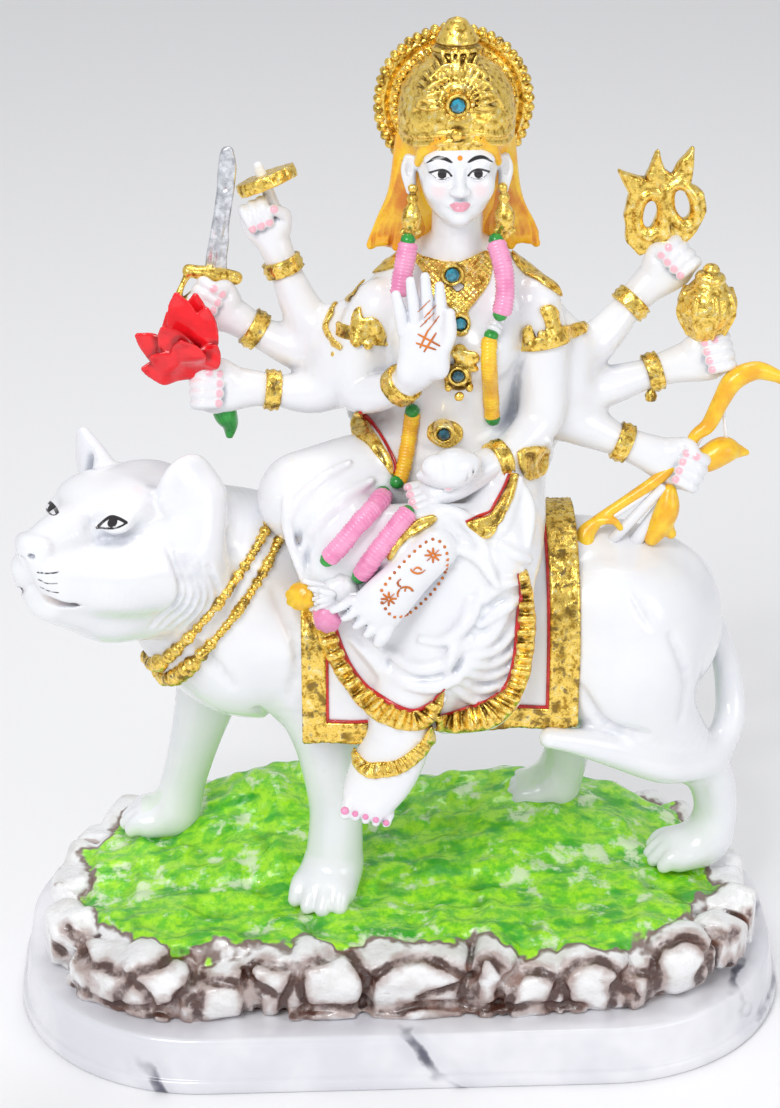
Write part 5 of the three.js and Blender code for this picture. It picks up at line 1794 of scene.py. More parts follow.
def face_marks(points):
    """Distances to the painted brows, eyes, mark on the brow and lips, seen from the front."""
    offset = points - HEAD
    flat = np.column_stack([offset[:, 0], offset @ HEAD_UP])
    front = (offset @ HEAD_OUT) > 6
    ink = np.full(len(points), UNPAINTED)
    eyes = ink.copy()
    for near in (1, -1):
        upper = [[2.3, EYE - 0.5], [3.6, EYE + 1.0], [5.4, EYE + 1.45], [8.3, EYE + 0.35]]
        lower = [[2.3, EYE - 0.5], [4.2, EYE - 1.35], [6.2, EYE - 1.2], [8.3, EYE + 0.35]]
        brow = [[2.0, BROW + 0.35], [4.2, BROW + 1.5], [6.6, BROW + 1.6], [9.2, BROW + 0.1]]
        turned = [smooth_line([[p[0] * near, p[1]] for p in line], 6) for line in (upper, lower, brow)]
        almond = area(flat, [*turned[0], *turned[1][::-1]])
        iris = np.linalg.norm(flat - [EYE_APART * near + 0.1, EYE + 0.05], axis=1) - 1.25
        walk = np.clip((np.abs(flat[:, 0]) - 2.0) / 7.2, 0, 1)
        brow_half = 0.18 + 0.36 * np.sin(math.pi * walk**0.7)
        parts = [
            flat_line(flat, turned[0]) - 0.3, flat_line(flat, turned[1]) - 0.12, np.maximum(iris, almond),
            flat_line(flat, turned[2]) - brow_half,
        ]
        ink = np.minimum.reduce([ink, *parts])
        eyes = np.minimum(eyes, almond)
    lips = area(
        flat,
        smooth_line([
            [-3.0, MOUTH], [-1.2, MOUTH + 1.05], [0, MOUTH + 0.75], [1.2, MOUTH + 1.05], [3.0, MOUTH],
            [1.4, MOUTH - 1.6], [-1.4, MOUTH - 1.6], [-3.0, MOUTH],
        ], 3),
    )
    dot = np.linalg.norm(flat - [0, BROW + 1.6], axis=1) - 0.75
    blush = np.minimum(
        *(np.linalg.norm(flat - [5.8 * near, NOSE_FOOT + 1.0], axis=1) - 2.0 for near in (1, -1))
    )
    return {
        name: np.where(front, value, UNPAINTED)
        for name, value in (("ink", ink), ("eyes", eyes), ("lips", lips), ("dot", dot), ("blush", blush))
    }


def hair():
    """Hair from a middle parting, combed back under the crown and falling behind the shoulders."""
    clay = Clay((-15, -15, 226), (47, 22, 284), 0.45)
    clay.limb([
        [15.8, 6, 273, 14.8, 11], [15.8, 9, 262, 16.6, 9], [15.8, 11, 252, 18.0, 8],
        [15.7, 12, 245, 21.8, 6.0], [15.9, 13, 239, 24.4, 3.8],
    ], blend=1)
    for near in (1, -1):
        wave = [
            [0.3 * near, 11.4, 12.2, 1.6, 1.8], [4.6 * near, 10.4, 11.4, 2.4, 2.6],
            [9.0 * near, 6.6, 8.0, 2.0, 3.0], [10.9 * near, 3.4, 4.0, 1.3, 2.4],
        ]
        head_limb(clay, wave, side=(1, 0, 0.4 * near), blend=1.2)
    clay.ball(head_place(0, -3, 10), [13.2, 13.2, 9], HEAD_TURN, blend=2)
    for near in (1, -1):
        for lock in range(6):
            spread = lock / 5
            top = [15.7 + near * (12.6 + 2.6 * spread), 6 + 3 * spread, 270]
            middle = [15.7 + near * (13.8 + 3.2 * spread), 6 + 4 * spread, 253]
            low = [
                15.7 + near * (11.5 + 12.2 * spread), 9.6 + 2 * spread,
                238.0 + 1.2 * math.sin(2.3 * lock),
            ]
            clay.limb([[*top, 1.3], [*middle, 1.8], [*low, 1.2]], blend=1.6)
        for comb in range(4):
            start = head_place((1.0 + 2.2 * comb) * near, 13.4 - 0.6 * comb, 12.8 - 0.6 * comb)
            end = head_place((10.0 + 0.8 * comb) * near, 8.0 - 1.8 * comb, 5.0 + 1.5 * comb)
            clay.limb([
                [*start, 0.3], [*(0.5 * (start + end) + HEAD_OUT * 1.2), 0.4], [*end, 0.3],
            ], blend=0.5, carve=True)
        for strand in range(9):
            out = 9.0 + 1.6 * strand
            line = [
                [15.7 + near * (11.5 + 0.45 * strand), 0, 264],
                [15.7 + near * (11.8 + 0.75 * strand), 0, 252], [15.7 + near * out * 1.02, 0, 244],
                [15.7 + near * (out + 1.4), 0, 236],
            ]
            clay.stroke(line, 0.6, lift=0.0, blend=0.8, carve=True)
    for comb in range(13):
        share = (comb - 6) / 6
        line = [[15.7 + 11.0 * share, 0, 268], [15.7 + 14.0 * share, 0, 254], [15.7 + 22.0 * share, 0, 238]]
        clay.stroke(line, 0.75, lift=-0.1, blend=1.0, carve=True, way=(0, -1, 0))
    return creased("hair_cast", clay, 1.6)


CROWN = np.array([15.8, 6.2, 278.6])
HALO = np.array([15.7, 17.0, 277.2])
HALO_RADIUS = 22.6
HALO_OPENING = 0.62
CROWN_GEM = np.array([14.9, -12.4, 285.2])


def halo_arc(radius, y, swell=1.0):
    angles = np.linspace(-math.pi / 2 + HALO_OPENING, 1.5 * math.pi - HALO_OPENING, 120)
    return [[HALO[0] + radius * math.cos(a), y, HALO[2] + radius * math.sin(a), swell] for a in angles]


def revolve(clay, profile, centre, turn):
    """Presses a turned form, given by its [radius, height] outline, into the clay."""
    profile = np.array(profile, float)
    reach = np.abs(profile).max() + 4
    cut = clay.window(np.array(centre) - reach, np.array(centre) + reach)
    x, y, z = clay.points(cut)
    u, v, w = turned_in(x - centre[0], y - centre[1], z - centre[2], turn)
    flat = np.stack(np.broadcast_arrays(np.sqrt(u**2 + v**2), w), -1)
    mirrored = [*profile, *[[-r, h] for r, h in profile[::-1]]]
    clay.press(area(flat.reshape(-1, 2), mirrored).reshape(flat.shape[:-1]).astype(np.float32), cut, 1.0)


def crown():
    clay = Clay((-10, -16, 266), (42, 22, 307), 0.42)
    revolve(clay, [
        [0, -8], [15.6, -8], [16.4, -4], [16.6, 0], [15.4, 6.4], [12, 12], [6.9, 15.4], [6.6, 16.6],
        [7.4, 17.4], [5.4, 18.4], [6.0, 19.4], [5.2, 20.6], [4.4, 22.4], [2.6, 25.0], [0, 26.0],
    ], CROWN, (-2, 0, 0))
    # Halo: a disc with rolled rings, cut open below
    x, y, z = clay.points()
    across = np.sqrt((x - HALO[0]) ** 2 + (z - HALO[2]) ** 2)
    rolled = 1.5 + 0.5 * np.cos((across - 16.2) * 2 * math.pi / 3.6) * (across > 12)
    disc = np.maximum(across - HALO_RADIUS + 1.6, np.abs(y - HALO[1]) - rolled)
    below = np.arctan2(x - HALO[0], HALO[2] - z)
    opening = np.minimum((HALO_OPENING - np.abs(below)) * np.maximum(across, 4), across - 12.0)
    disc = np.maximum(disc, opening)
    clay.press(disc.astype(np.float32), (slice(None),) * 3, 1.0)
    # Band over the forehead, gem cup and the plumes that spread from it
    for level, radius in ((-7.0, 0.95), (-4.4, 0.7)):
        ring = []
        for turn in np.linspace(-math.pi / 2 - 1.5, -math.pi / 2 + 1.5, 25):
            ring.append([
                CROWN[0] + 16.0 * math.cos(turn),
                CROWN[1] + 16.0 * math.sin(turn),
                CROWN[2] + level + 2.6 * math.cos(1.5 * (turn + math.pi / 2)) ** 2,
            ])
        clay.stroke(
            [[p[0], p[1], p[2]] for p in ring],
            radius,
            lift=-0.1,
            blend=0.5,
            way=(0, 1, 0),
            steps=2,
        )
    clay.limb([[14.9, -4, 284.4, 5.4], [14.9, CROWN_GEM[1] + 4.6, 285.0, 3.8]], blend=1.2)
    for near in (1, -1):
        for plume in range(9):
            angle = math.radians(-20 + 13.2 * plume)
            way = np.array([near * math.cos(angle), 0, math.sin(angle)])
            curl = np.array([0, 0, 1.0 - 0.2 * plume])
            line = [
                CROWN_GEM + [0, 14, 0] + way * reach + curl * (reach - 5) * 0.22
                for reach in (4.8, 7.0, 9.4, 11.4 if plume < 4 else 12.6)
            ]
            clay.stroke(line, 0.85, lift=0.5, blend=0.3)
        for leaf in range(3):
            line = [
                [CROWN[0] + near * (12.6 - 2.0 * leaf), 0, CROWN[2] + 3.0 + 4.2 * leaf],
                [CROWN[0] + near * (9.4 - 2.2 * leaf), 0, CROWN[2] + 7.2 + 3.4 * leaf],
                [CROWN[0] + near * (5.2 - 1.6 * leaf), 0, CROWN[2] + 8.8 + 3.2 * leaf],
            ]
            clay.stroke(line, 0.8, lift=0.1, blend=0.6)
    # Drop on the forehead
    clay.ball([14.9, -11.6, 276.6], [1.5, 1.0, 1.7], blend=0.6)
    bezel(clay, CROWN_GEM, 2.0, 6.0)
    roughen(clay, 0.03, 1.8, 61)
    return creased("crown_cast", clay, 1.5)


RIM_BEADS_RADIUS = HALO_RADIUS - 1.7
INNER_BEADS_RADIUS = HALO_RADIUS - 6.2
GEM_CUP_RADIUS = 4.0


def crown_beads(finish):
    """Beads along the halo's rim, in front and behind, a finer row inside them, and a cup for the gem."""
    rim = [halo_arc(RIM_BEADS_RADIUS, HALO[1] - 0.7), halo_arc(RIM_BEADS_RADIUS, HALO[1] + 0.9)]
    inner = [halo_arc(INNER_BEADS_RADIUS, HALO[1] - 1.7, 0.9)]
    keep(row_of("halo_rim", rim, finish, 1.45, 1.9, 1.5, 2.6, 0.08, seed=3), finish)
    keep(row_of("halo_beads", inner, finish, 1.15, 1.6, 1.4, 2.2, 0.08, seed=4), finish)
    around = [
        CROWN_GEM + [GEM_CUP_RADIUS * math.cos(a), 0.7, GEM_CUP_RADIUS * math.sin(a)]
        for a in np.linspace(0, 2 * math.pi, 40)
    ]
    keep(row_of("gem_cup", [around], finish, 0.75, 0.75, 0.75, 1.55, 0.08, seed=5), finish)


# Hands, bangles and what the hands hold

THUMB_UP = np.array([0, 0, 1.0])
FINGER_SPREAD = 3.0
HAND_VOXEL = 0.42


def toward_viewer(place, out):
    """The way to the viewer, square to another way."""
    way = VIEWER - place
    way = way - (way @ out) * out
    return unit(way)


def finger(clay, tips, stations, side=(1, 0, 0), blend=0.35):
    clay.limb(stations, side=side, blend=blend, steps=5)
    tips.append(np.array(stations[-1][:3]))


def fist(clay, tips, name, palm, size, raised):
    """A closed hand, its fingers curled to the viewer round what it holds."""
    wrist, hand = np.array(ARMS[name][3], float), np.array(ARMS[name][4], float)
    palm = np.array(palm, float)
    out = unit(palm - wrist)
    front = toward_viewer(palm, out)
    across = np.cross(out, front)
    inward = THUMB_UP + np.array([-0.8 if palm[0] > 15 else 0.8, 0, 0])
    if across @ inward > 0:
        across = -across
    clay.limb([
        [*wrist, WRIST, WRIST * 0.9], [*hand, 5.2 * size, 4.4 * size],
        [*(palm - 0.5 * out - 0.6 * front), 6.9 * size, 4.0 * size],
        [*(palm + 2.6 * out - 0.9 * front), 6.7 * size, 3.3 * size],
    ], side=across, blend=1.5)
    clay.ball(palm - 2.0 * out - 3.4 * across * size + 1.6 * front, [3.2 * size] * 3, blend=2)
    for row in range(4):
        offset = (row - 1.5) * FINGER_SPREAD * size * across
        thick = (1.95, 2.05, 1.95, 1.7)[row] * size
        if row == 0 and raised is not None:
            finger(
                clay,
                tips,
                [
                    [*(palm + 2 * out + offset), thick],
                    [*(0.5 * (palm + 2 * out + offset + raised)), thick * 0.95], [*raised, thick * 0.8],
                ],
            )
            tips.pop()
            continue
        knuckle = palm + 3.4 * out + offset - 1.0 * front
        bend = palm + 6.6 * out * size + offset * 0.97 + 1.8 * front
        middle = palm + 5.0 * out * size + offset * 0.93 + 4.6 * front
        tip = palm + 0.6 * out + offset * 0.9 + 4.6 * front
        finger(
            clay,
            tips,
            [[*knuckle, thick * 1.05], [*bend, thick], [*middle, thick * 0.95], [*tip, thick * 0.8]],
            side=across,
        )
    root = palm - 3.6 * out - 4.6 * size * across + 0.8 * front
    joint = palm + 0.4 * out - 6.4 * size * across + 3.2 * front
    tip = palm + 3.6 * out - 4.2 * size * across + 5.6 * front
    finger(
        clay,
        tips,
        [[*root, 2.3 * size], [*joint, 2.1 * size], [*tip, 1.6 * size]],
        side=across,
        blend=0.8,
    )


FISTS = {
    "discus": ([-38, 19, 241.5], 0.95, [-39.6, 22, 257.5]),
    "sword": ([-53, 14, 218.4], 1.0, None),
    "lotus": ([-52, 0.6, 198.2], 1.04, None),
    "trident": ([79.4, 21.6, 225.4], 1.0, None),
    "mace": ([90, 13.6, 200.2], 1.0, None),
    "bow": ([81.6, 3.6, 170.4], 1.02, None),
}


def raised_hand(clay, tips):
    """The right hand held up in blessing, palm to the viewer."""
    clay.limb([
        [-1.5, -14, 203.5, 4.4, 4.2], [3, -18, 209, 5.4, 3.8], [5.6, -19, 216, 7.0, 3.4],
        [5.4, -20, 224, 6.8, 2.8],
    ], blend=1)
    clay.ball([9.4, -20.4, 213.5], [3.4, 2.6, 5.0], (0, -14, 0), blend=2)
    clay.ball([1.4, -20.4, 212.5], [3.0, 2.2, 4.6], (0, 8, 0), blend=2)
    finger(
        clay,
        tips,
        [[10.2, -20, 216, 2.4], [12.6, -21.5, 222.4, 2.0], [12.6, -22.4, 229.0, 1.5]],
        blend=0.8,
    )
    tips.clear()
    for row in range(4):
        x = 10.4 - row * 3.5
        length = (12.4, 15.2, 14.0, 10.0)[row]
        lean = -0.6 - row * 0.5
        stations = [
            [x, -19.8, 223.0, 1.9, 1.8], [x + 0.5 * lean, -20.8, 224.5 + 0.5 * length, 1.8, 1.7],
            [x + lean, -20.6, 224.0 + length, 1.35, 1.3],
        ]
        clay.limb(stations, blend=0.3)


def lap_hand(clay, tips):
    """The left hand lying open in the lap with a shell on it."""
    clay.limb([
        [29, -13, 181, 4.6, 4.4], [22, -17, 179.6, 5.2, 4.6], [14, -21, 177.4, 6.4, 4.2],
        [8, -23, 175.6, 5.4, 3.4],
    ], side=(0, 1, 0.4), blend=1)
    for row in range(4):
        start = np.array([8.5, -19.4 - 2.5 * row, 175.0 - 0.7 * row])
        tip = start + [-7.2 + 0.5 * row, -1.6, 0.8 - 0.5 * row]
        finger(clay, tips, [[*start, 1.9], [*(0.5 * (start + tip) + [0, 0, 0.4]), 1.8], [*tip, 1.4]])
    finger(clay, tips, [[20, -22.5, 181, 2.2], [16, -26.0, 181, 2.0], [12.4, -27.4, 178.8, 1.6]], blend=0.8)


def shell(clay):
    """A conch: a swollen body winding down to a short spire, with its lip to the viewer."""
    clay.limb([
        [4.6, -24.6, 181.2, 1.3], [8.4, -25, 181.8, 3.6, 3.6], [13.4, -25.4, 183.4, 6.0, 5.4],
        [17.8, -25, 184.6, 3.6, 3.6], [20.4, -24.6, 185.2, 1.4],
    ], blend=0.4)
    clay.ball([8.2, -26.4, 184.6], [3.4, 2.8, 3.6], (0, 20, 0), blend=0.5)
    clay.limb([
        [9.8, -29.4, 187.4, 0.7], [10.2, -31.0, 183.4, 0.8], [9.4, -30.4, 179.6, 0.6],
    ], blend=0.6, carve=True)
    for ring, (x, z) in enumerate(((15.8, 184.4), (17.6, 184.9), (19.2, 185.2))):
        clay.limb([
            [x, -31 + 1.2 * ring, z + 5 - 1.4 * ring, 0.4], [x + 0.6, -31.4 + 1.3 * ring, z, 0.4],
            [x - 0.2, -30.4 + 1.4 * ring, z - 5 + 1.4 * ring, 0.4],
        ], blend=0.5, carve=True)


def clay_round(places, margin):
    """Clay for a hand, round the places that it reaches."""
    places = np.array(places, float)
    return Clay(places.min(0) - margin, places.max(0) + margin, HAND_VOXEL)


def hands(finish):
    """Every hand is skinned by itself, from inside its bangle outwards."""
    for name, (palm, size, raised) in FISTS.items():
        tips = []
        ends = [palm, ARMS[name][3]] + ([raised] if raised else [])
        clay = clay_round(ends, 13 if not raised else 10)
        fist(clay, tips, name, palm, size, np.array(raised) if raised else None)
        keep_hand(name + "_hand", clay, tips, finish)
    clay = clay_round([[-1.5, -14, 203.5], [12, -22, 239]], 7)
    tips = []
    raised_hand(clay, tips)
    keep_hand("blessing_hand", clay, tips, finish)
    blessing = clay
    clay = clay_round([[29, -13, 181], [1, -29, 173]], 8)
    tips = []
    lap_hand(clay, tips)
    keep_hand("lap_hand", clay, tips, finish)
    clay = clay_round([[3, -25, 181], [21, -25, 185]], 9)
    shell(clay)
    keep_hand("conch", clay, [], finish)
    return blessing


def keep_hand(name, clay, tips, finish):
    points, faces, normals = clay.skin()
    nails = np.full(len(points), UNPAINTED)
    for tip in tips:
        toward = unit(VIEWER - tip)
        nails = np.minimum(nails, np.linalg.norm(points - tip - 1.0 * toward, axis=1) - 1.15)
    marks = {"crease": crease(clay, points, normals, 1.6), "nails": nails}
    keep(mesh_of(name, points, faces, marks), finish)


BANGLE_EDGE = [
    (4.0, -2.3), (5.3, -2.3), (5.9, -1.9), (5.6, -1.2), (6.1, 0.0), (5.6, 1.2), (5.9, 1.9), (5.3, 2.3),
    (4.0, 2.3),
]


def crumpled(size, seed):
    draw = np.random.default_rng(seed)
    phases = draw.random(3) * FULL_TURN

    def swell(turn, height):
        total = (
            math.sin(5 * turn + phases[0]) + math.sin(9 * turn + phases[1] + height)
            + math.sin(14 * turn + phases[2] - height)
        )
        return 1 + size * total

    return swell


def bangles():
    made = Shapes()
    for seed, name in enumerate(ARMS):
        wrist, hand = np.array(ARMS[name][3], float), np.array(ARMS[name][4], float)
        way = unit(hand - wrist)
        made.turned(BANGLE_EDGE, wrist + 0.5 * BANGLE_LENGTH * way, way, 40, crumpled(0.012, seed))
    # A drop hangs from the bangle of the hand with the mace
    made.turned([
        (0, -2.0), (1.6, -1.4), (1.9, 0), (1.2, 1.4), (0.6, 2.4), (0, 2.5),
    ], [74.2, 11.6, 189.2], around=12)
    return made


def plate(clay, outline, y, half, holes=(), rounding=1.2):
    """A flat form standing in the X-Z plane, with softened edges."""
    outline = np.array(outline, float)
    cut = clay.window(
        [outline[:, 0].min() - 3, y - half - 3, outline[:, 1].min() - 3],
        [outline[:, 0].max() + 3, y + half + 3, outline[:, 1].max() + 3],
    )
    x, yy, z = clay.points(cut)
    flat = np.stack(np.broadcast_arrays(x[:, 0, :], z[:, 0, :]), -1)
    side = area(flat.reshape(-1, 2), outline)
    for hole in holes:
        side = np.maximum(side, -area(flat.reshape(-1, 2), np.array(hole)))
    side = side.reshape(flat.shape[:-1])[:, None, :]
    across = np.abs(yy - y) - half
    form = np.maximum(side, across) + np.maximum(rounding - np.abs(side - across), 0) ** 2 / (4 * rounding)
    clay.press(form.astype(np.float32), cut, 0.6)


def oval(x, z, half_width, half_height, lean=0.0):
    turns = np.arange(24) * 2 * math.pi / 24
    up = half_height * np.sin(turns)
    return np.column_stack([x + half_width * np.cos(turns) + lean * up, z + up])


TRIDENT = [
    [70.5, 229], [66.5, 233], [65.6, 241], [67, 248], [63.4, 254.9], [71.5, 252], [72.6, 256],
    [74.9, 260.4], [77, 254.6], [79, 253.4], [81.6, 258], [85, 261.4], [85.4, 255], [84.6, 250.5],
    [88.8, 247.5], [89.6, 242], [87.4, 236], [83.5, 232], [77, 231],
]


def trident():
    clay = Clay((60, 17, 224), (93, 29, 265), 0.4)
    plate(clay, TRIDENT, 23, 1.9, [oval(73.2, 241.4, 1.9, 4.2, 0.06), oval(82.4, 244.2, 2.1, 4.4, -0.2)])
    # Rolled edges round both openings and a raised middle prong
    for x, z, wide, high, lean in ((73.2, 241.4, 4.0, 6.6, 0.06), (82.4, 244.2, 4.1, 6.6, -0.2)):
        ring = [[px, 21.4, pz, 1.25] for px, pz in oval(x, z, wide, high, lean)]
        clay.limb([*ring, ring[0]], blend=0.6, steps=1)
    clay.limb([[77.6, 21.6, 232, 1.8], [77.4, 21.0, 243, 1.3], [76.0, 21.6, 252, 0.9]], blend=0.8)
    clay.limb([[73.6, 22.4, 252, 1.9], [74.7, 23, 259.6, 0.8]], blend=0.8)
    clay.limb([[81.8, 22.4, 252, 1.9], [84.6, 23, 260.6, 0.8]], blend=0.8)
    clay.limb([[67.8, 22.4, 249.4, 1.8], [64.2, 23, 254.2, 0.8]], blend=0.8)
    clay.limb([[77, 22, 226, 2.6], [77, 22.6, 232, 2.8]], blend=1.0)
    roughen(clay, 0.14, 1.7, 71)
    return creased("trident_head", clay, 1.6)


def mace():
    clay = Clay((76, 0, 200), (104, 28, 232), 0.42)
    revolve(clay, [
        [0, -14], [2.6, -13.6], [3.0, -11.0], [4.6, -9.6], [6.4, -6.6], [8.7, -1.4], [8.4, 0.2],
        [7.4, 3.4], [5.0, 6.4], [4.2, 7.4], [4.6, 8.2], [4.0, 9.4], [2.4, 10.0], [2.7, 10.8], [1.8, 12.0],
        [0, 12.4],
    ], [89.8, 14, 216.6], (0, 4, 0))
    for turn in range(8):
        angle = turn * math.pi / 4 + 0.2
        spoke = np.array([math.cos(angle), math.sin(angle), 0])
        line = [
            np.array([89.8, 14, 216.6]) + radius * spoke + [0, 0, up]
            for radius, up in ((5.8, -8.6), (8.9, -1.6), (7.4, 4.2))
        ]
        clay.limb([[*p, 0.55] for p in line], blend=0.9)
    roughen(clay, 0.06, 1.8, 72)
    return creased("mace_head", clay, 1.6)


def discus():
    """A thick notched disc with two rings on it, on the raised finger, seen nearly edge on."""
    clay = Clay((-50, 10, 243), (-25, 33, 263), 0.4)
    centre, turn = [-37.2, 21.6, 253.4], (-12, -22, 0)
    revolve(clay, [[0, -1.9], [8.8, -1.9], [9.2, 0], [8.8, 1.9], [0, 1.9]], centre, turn)
    matrix = turn_matrix(turn)
    for notch in range(14):
        angle = notch * 2 * math.pi / 14 + 0.15
        place = np.array(centre) + matrix @ [9.6 * math.cos(angle), 9.6 * math.sin(angle), 0]
        clay.ball(place, [0.85, 0.85, 3.0], turn, blend=0.6, carve=True)
    for radius in (7.4, 3.4):
        ring = [
            [*(np.array(centre) + matrix @ [radius * math.cos(a), radius * math.sin(a), 1.5]), 0.5]
            for a in np.linspace(0, 2 * math.pi, 25)
        ]
        clay.limb(ring, blend=0.4, steps=1)
    roughen(clay, 0.1, 1.5, 73)
    return creased("discus", clay, 1.2)


def sword_blade():
    clay = Clay((-60, 13, 224), (-42, 22, 267), 0.4)
    plate(
        clay,
        smooth_line([
            [-56.0, 226], [-55.4, 230.3], [-54.4, 235.7], [-53.0, 242.7], [-51.6, 252.2], [-50.9, 259.6],
            [-49.8, 264.2], [-47.6, 264.8], [-46.3, 263.6], [-45.8, 259.5], [-46.5, 252.1],
            [-47.9, 242.6], [-48.6, 235.7], [-49.1, 230.2], [-49.2, 226],
        ], 3),
        17.4,
        1.0,
        rounding=0.9,
    )
    clay.limb([[-52.6, 16.6, 228, 0.9], [-50.6, 16.6, 241, 0.8], [-48.4, 16.8, 255, 0.5]], blend=0.9)
    clay.limb([[-49.4, 16.2, 252.5, 0.35], [-46.8, 16.2, 253.5, 0.35]], blend=0.4, carve=True)
    roughen(clay, 0.13, 2.2, 74)
    return creased("sword_blade", clay, 1.0)


def sword_grip():
    clay = Clay((-66, 8, 213), (-42, 22, 232), 0.4)
    clay.limb([
        [-60.2, 15.4, 228.8, 1.7, 2.4], [-53.4, 15.6, 227.6, 2.1, 2.6], [-46.6, 16, 226.2, 1.9, 2.4],
    ], side=(0, 0, 1), blend=0.5)
    clay.limb([[-54, 15, 224, 2.8], [-58, 13.6, 221.4, 2.4], [-61.5, 12, 219, 2.6]], blend=0.8)
    clay.ball([-62.2, 11.8, 218.4], [3.0, 2.8, 2.8], blend=0.6)
    clay.limb([[-60.4, 14.2, 228, 1.0], [-62.8, 12.4, 223, 1.0], [-61.8, 11.6, 219, 1.0]], blend=0.8)
    roughen(clay, 0.12, 1.7, 75)
    return creased("sword_guard", clay, 1.4)


LOTUS_FOOT = np.array([-58.4, -1.0, 204.6])
# Petal tips of the lotus and how wide each petal is at most
PETALS = [
    ([-74.6, -4.0, 216.8], 5.0), ([-73.2, -6.0, 207.4], 4.6), ([-67.2, -8.4, 220.4], 5.4),
    ([-63.2, -2.0, 228.2], 5.4), ([-54.8, -4.0, 224.4], 5.0), ([-52.4, -6.5, 214.0], 4.2),
    ([-62.0, -10.5, 217.0], 5.4), ([-66.0, 4.5, 220.0], 5.4), ([-70.6, -8.0, 211.6], 4.6),
    ([-58.0, 3.0, 226.0], 4.8),
]


def lotus():
    clay = Clay((-79, -18, 194), (-46, 12, 232), 0.42)
    for tip, wide in PETALS:
        tip = np.array(tip)
        along = tip - LOTUS_FOOT
        outward = unit(np.cross(along, (0.2, 1, 0.1)))
        middle = LOTUS_FOOT + 0.55 * along + np.array([0, -1.6 if tip[1] < 0 else 1.6, 0])
        clay.limb([
            [*LOTUS_FOOT, 2.6, 2.2], [*(LOTUS_FOOT + 0.3 * along), wide * 0.8, 1.5], [*middle, wide, 1.1],
            [*(LOTUS_FOOT + 0.84 * along), wide * 0.66, 0.8], [*tip, 0.9, 0.6],
        ], side=outward, blend=0.3)
    return creased("lotus_bloom", clay, 1.6)


def lotus_stem():
    return Shapes().tube([
        [-51.5, 0.8, 193.5, 3.2, 3.0], [-50.4, 1.2, 190, 3.9, 3.4], [-49.2, 1.6, 186.5, 2.6, 2.4],
        [-49.4, 1.6, 182.6, 1.0],
    ])


def bow():
    clay = Clay((50, -11, 136), (114, 13, 203), 0.5)
    for stations in (
        [
            [112.0, 8, 195.0, 1.5], [109.4, 8, 196.6, 2.1], [103.9, 8, 198, 2.8], [97.6, 7, 195.4, 3.1],
            [94, 6, 189.4, 2.6], [90.6, 5, 182.4, 2.3], [86.4, 4, 179, 1.8], [84, 3.5, 172, 1.8],
        ],
        [
            [84, 3, 173, 1.8], [78, 1, 169, 1.8], [73.5, 0, 165.8, 1.8], [64.8, -1, 160, 1.6],
            [58, -2, 155.1, 1.9], [54.4, -3, 150.8, 2.9], [55.4, -4.5, 145.6, 3.2],
            [59.8, -6.5, 140.8, 2.4],
        ],
        [
            [86, 3.4, 172.6, 2.6], [90, 4.2, 171.6, 3.8], [95, 5, 174, 4.2], [98.5, 6, 173.6, 2.6],
            [102.6, 6.5, 172.6, 0.9],
        ],
        [
            [79, -0.5, 163.6, 2.4], [78.6, -1.5, 158.6, 3.6], [76.6, -2, 153.6, 3.4],
            [74.4, -2, 149.4, 2.4],
        ],
        [[77.6, -1.6, 155, 2.4], [80.0, -2.0, 150.6, 1.6]],
        [[58.4, -3, 155.6, 1.2], [62.4, -3.6, 156.0, 1.2], [64.8, -3.4, 153.4, 0.9]],
    ):
        clay.limb(stations, side=(0, 1, 0), blend=0.8)
    clay.limb([[88, 0.4, 176.5, 0.5], [94.5, 1.4, 178.4, 0.5], [99, 3, 176, 0.4]], blend=0.6, carve=True)
    clay.limb([
        [57, -5.4, 153.6, 0.5], [56.6, -6.8, 148.6, 0.5], [58.4, -8.0, 144, 0.4],
    ], blend=0.6, carve=True)
    return creased("bow", clay, 1.8)


def bow_strings():
    """The white string and the arrow shafts, cast thick."""
    made = Shapes()
    for a, b, radius in (
        ([94.5, 6.4, 190], [96.4, 5.6, 176], 0.55), ([94.5, 6.2, 189], [86.5, 3.4, 176], 0.7),
        ([77.4, -0.6, 165.4], [62.6, -2.8, 149.4], 1.5), ([80.4, 0.6, 163.2], [68.8, -1.4, 146.8], 1.9),
        ([73.0, -0.8, 163.4], [58.6, -3.0, 154.0], 0.7),
    ):
        made.tube([[*a, radius], [*b, radius * 1.15]], around=10, steps=4)
    return made


# Gold trim, jewellery and painted drawings, laid over the rider's surface


def overlay(clay, body, outline, thick, holes=(), back=14.0):
    """A plate over another form's surface, inside an outline seen on the plane.

    The thickness is a number, or a function of the places seen on the plane."""
    outline = np.array(outline, float)
    cut = clay.window(
        [outline[:, 0].min() - 5, clay.low[1], outline[:, 1].min() - 40],
        [outline[:, 0].max() + 5, back, outline[:, 1].max() + 5],
    )
    x, y, z = np.broadcast_arrays(*clay.points(cut))
    places = np.column_stack([x.ravel(), y.ravel(), z.ravel()]).astype(float)
    under = body.sample(places)
    near = np.abs(under) < 4.0
    some = places[near]
    flat = on_plane(some)
    side = area(flat, outline)
    for hole in holes:
        side = np.maximum(side, -area(flat, np.array(hole)))
    depth = thick(flat) if callable(thick) else thick
    shell = np.maximum(under[near] - depth, -under[near] - 2.5)
    hidden = facing(some, body.slope(some)) < -0.35
    side[hidden] = FAR
    form = np.full(len(places), FAR)
    rounding = 0.8
    form[near] = np.maximum(side, shell) + np.maximum(
        rounding - np.abs(side - shell), 0
    ) ** 2 / (4 * rounding)
    clay.press(form.reshape(x.shape).astype(np.float32), cut, 0.4)


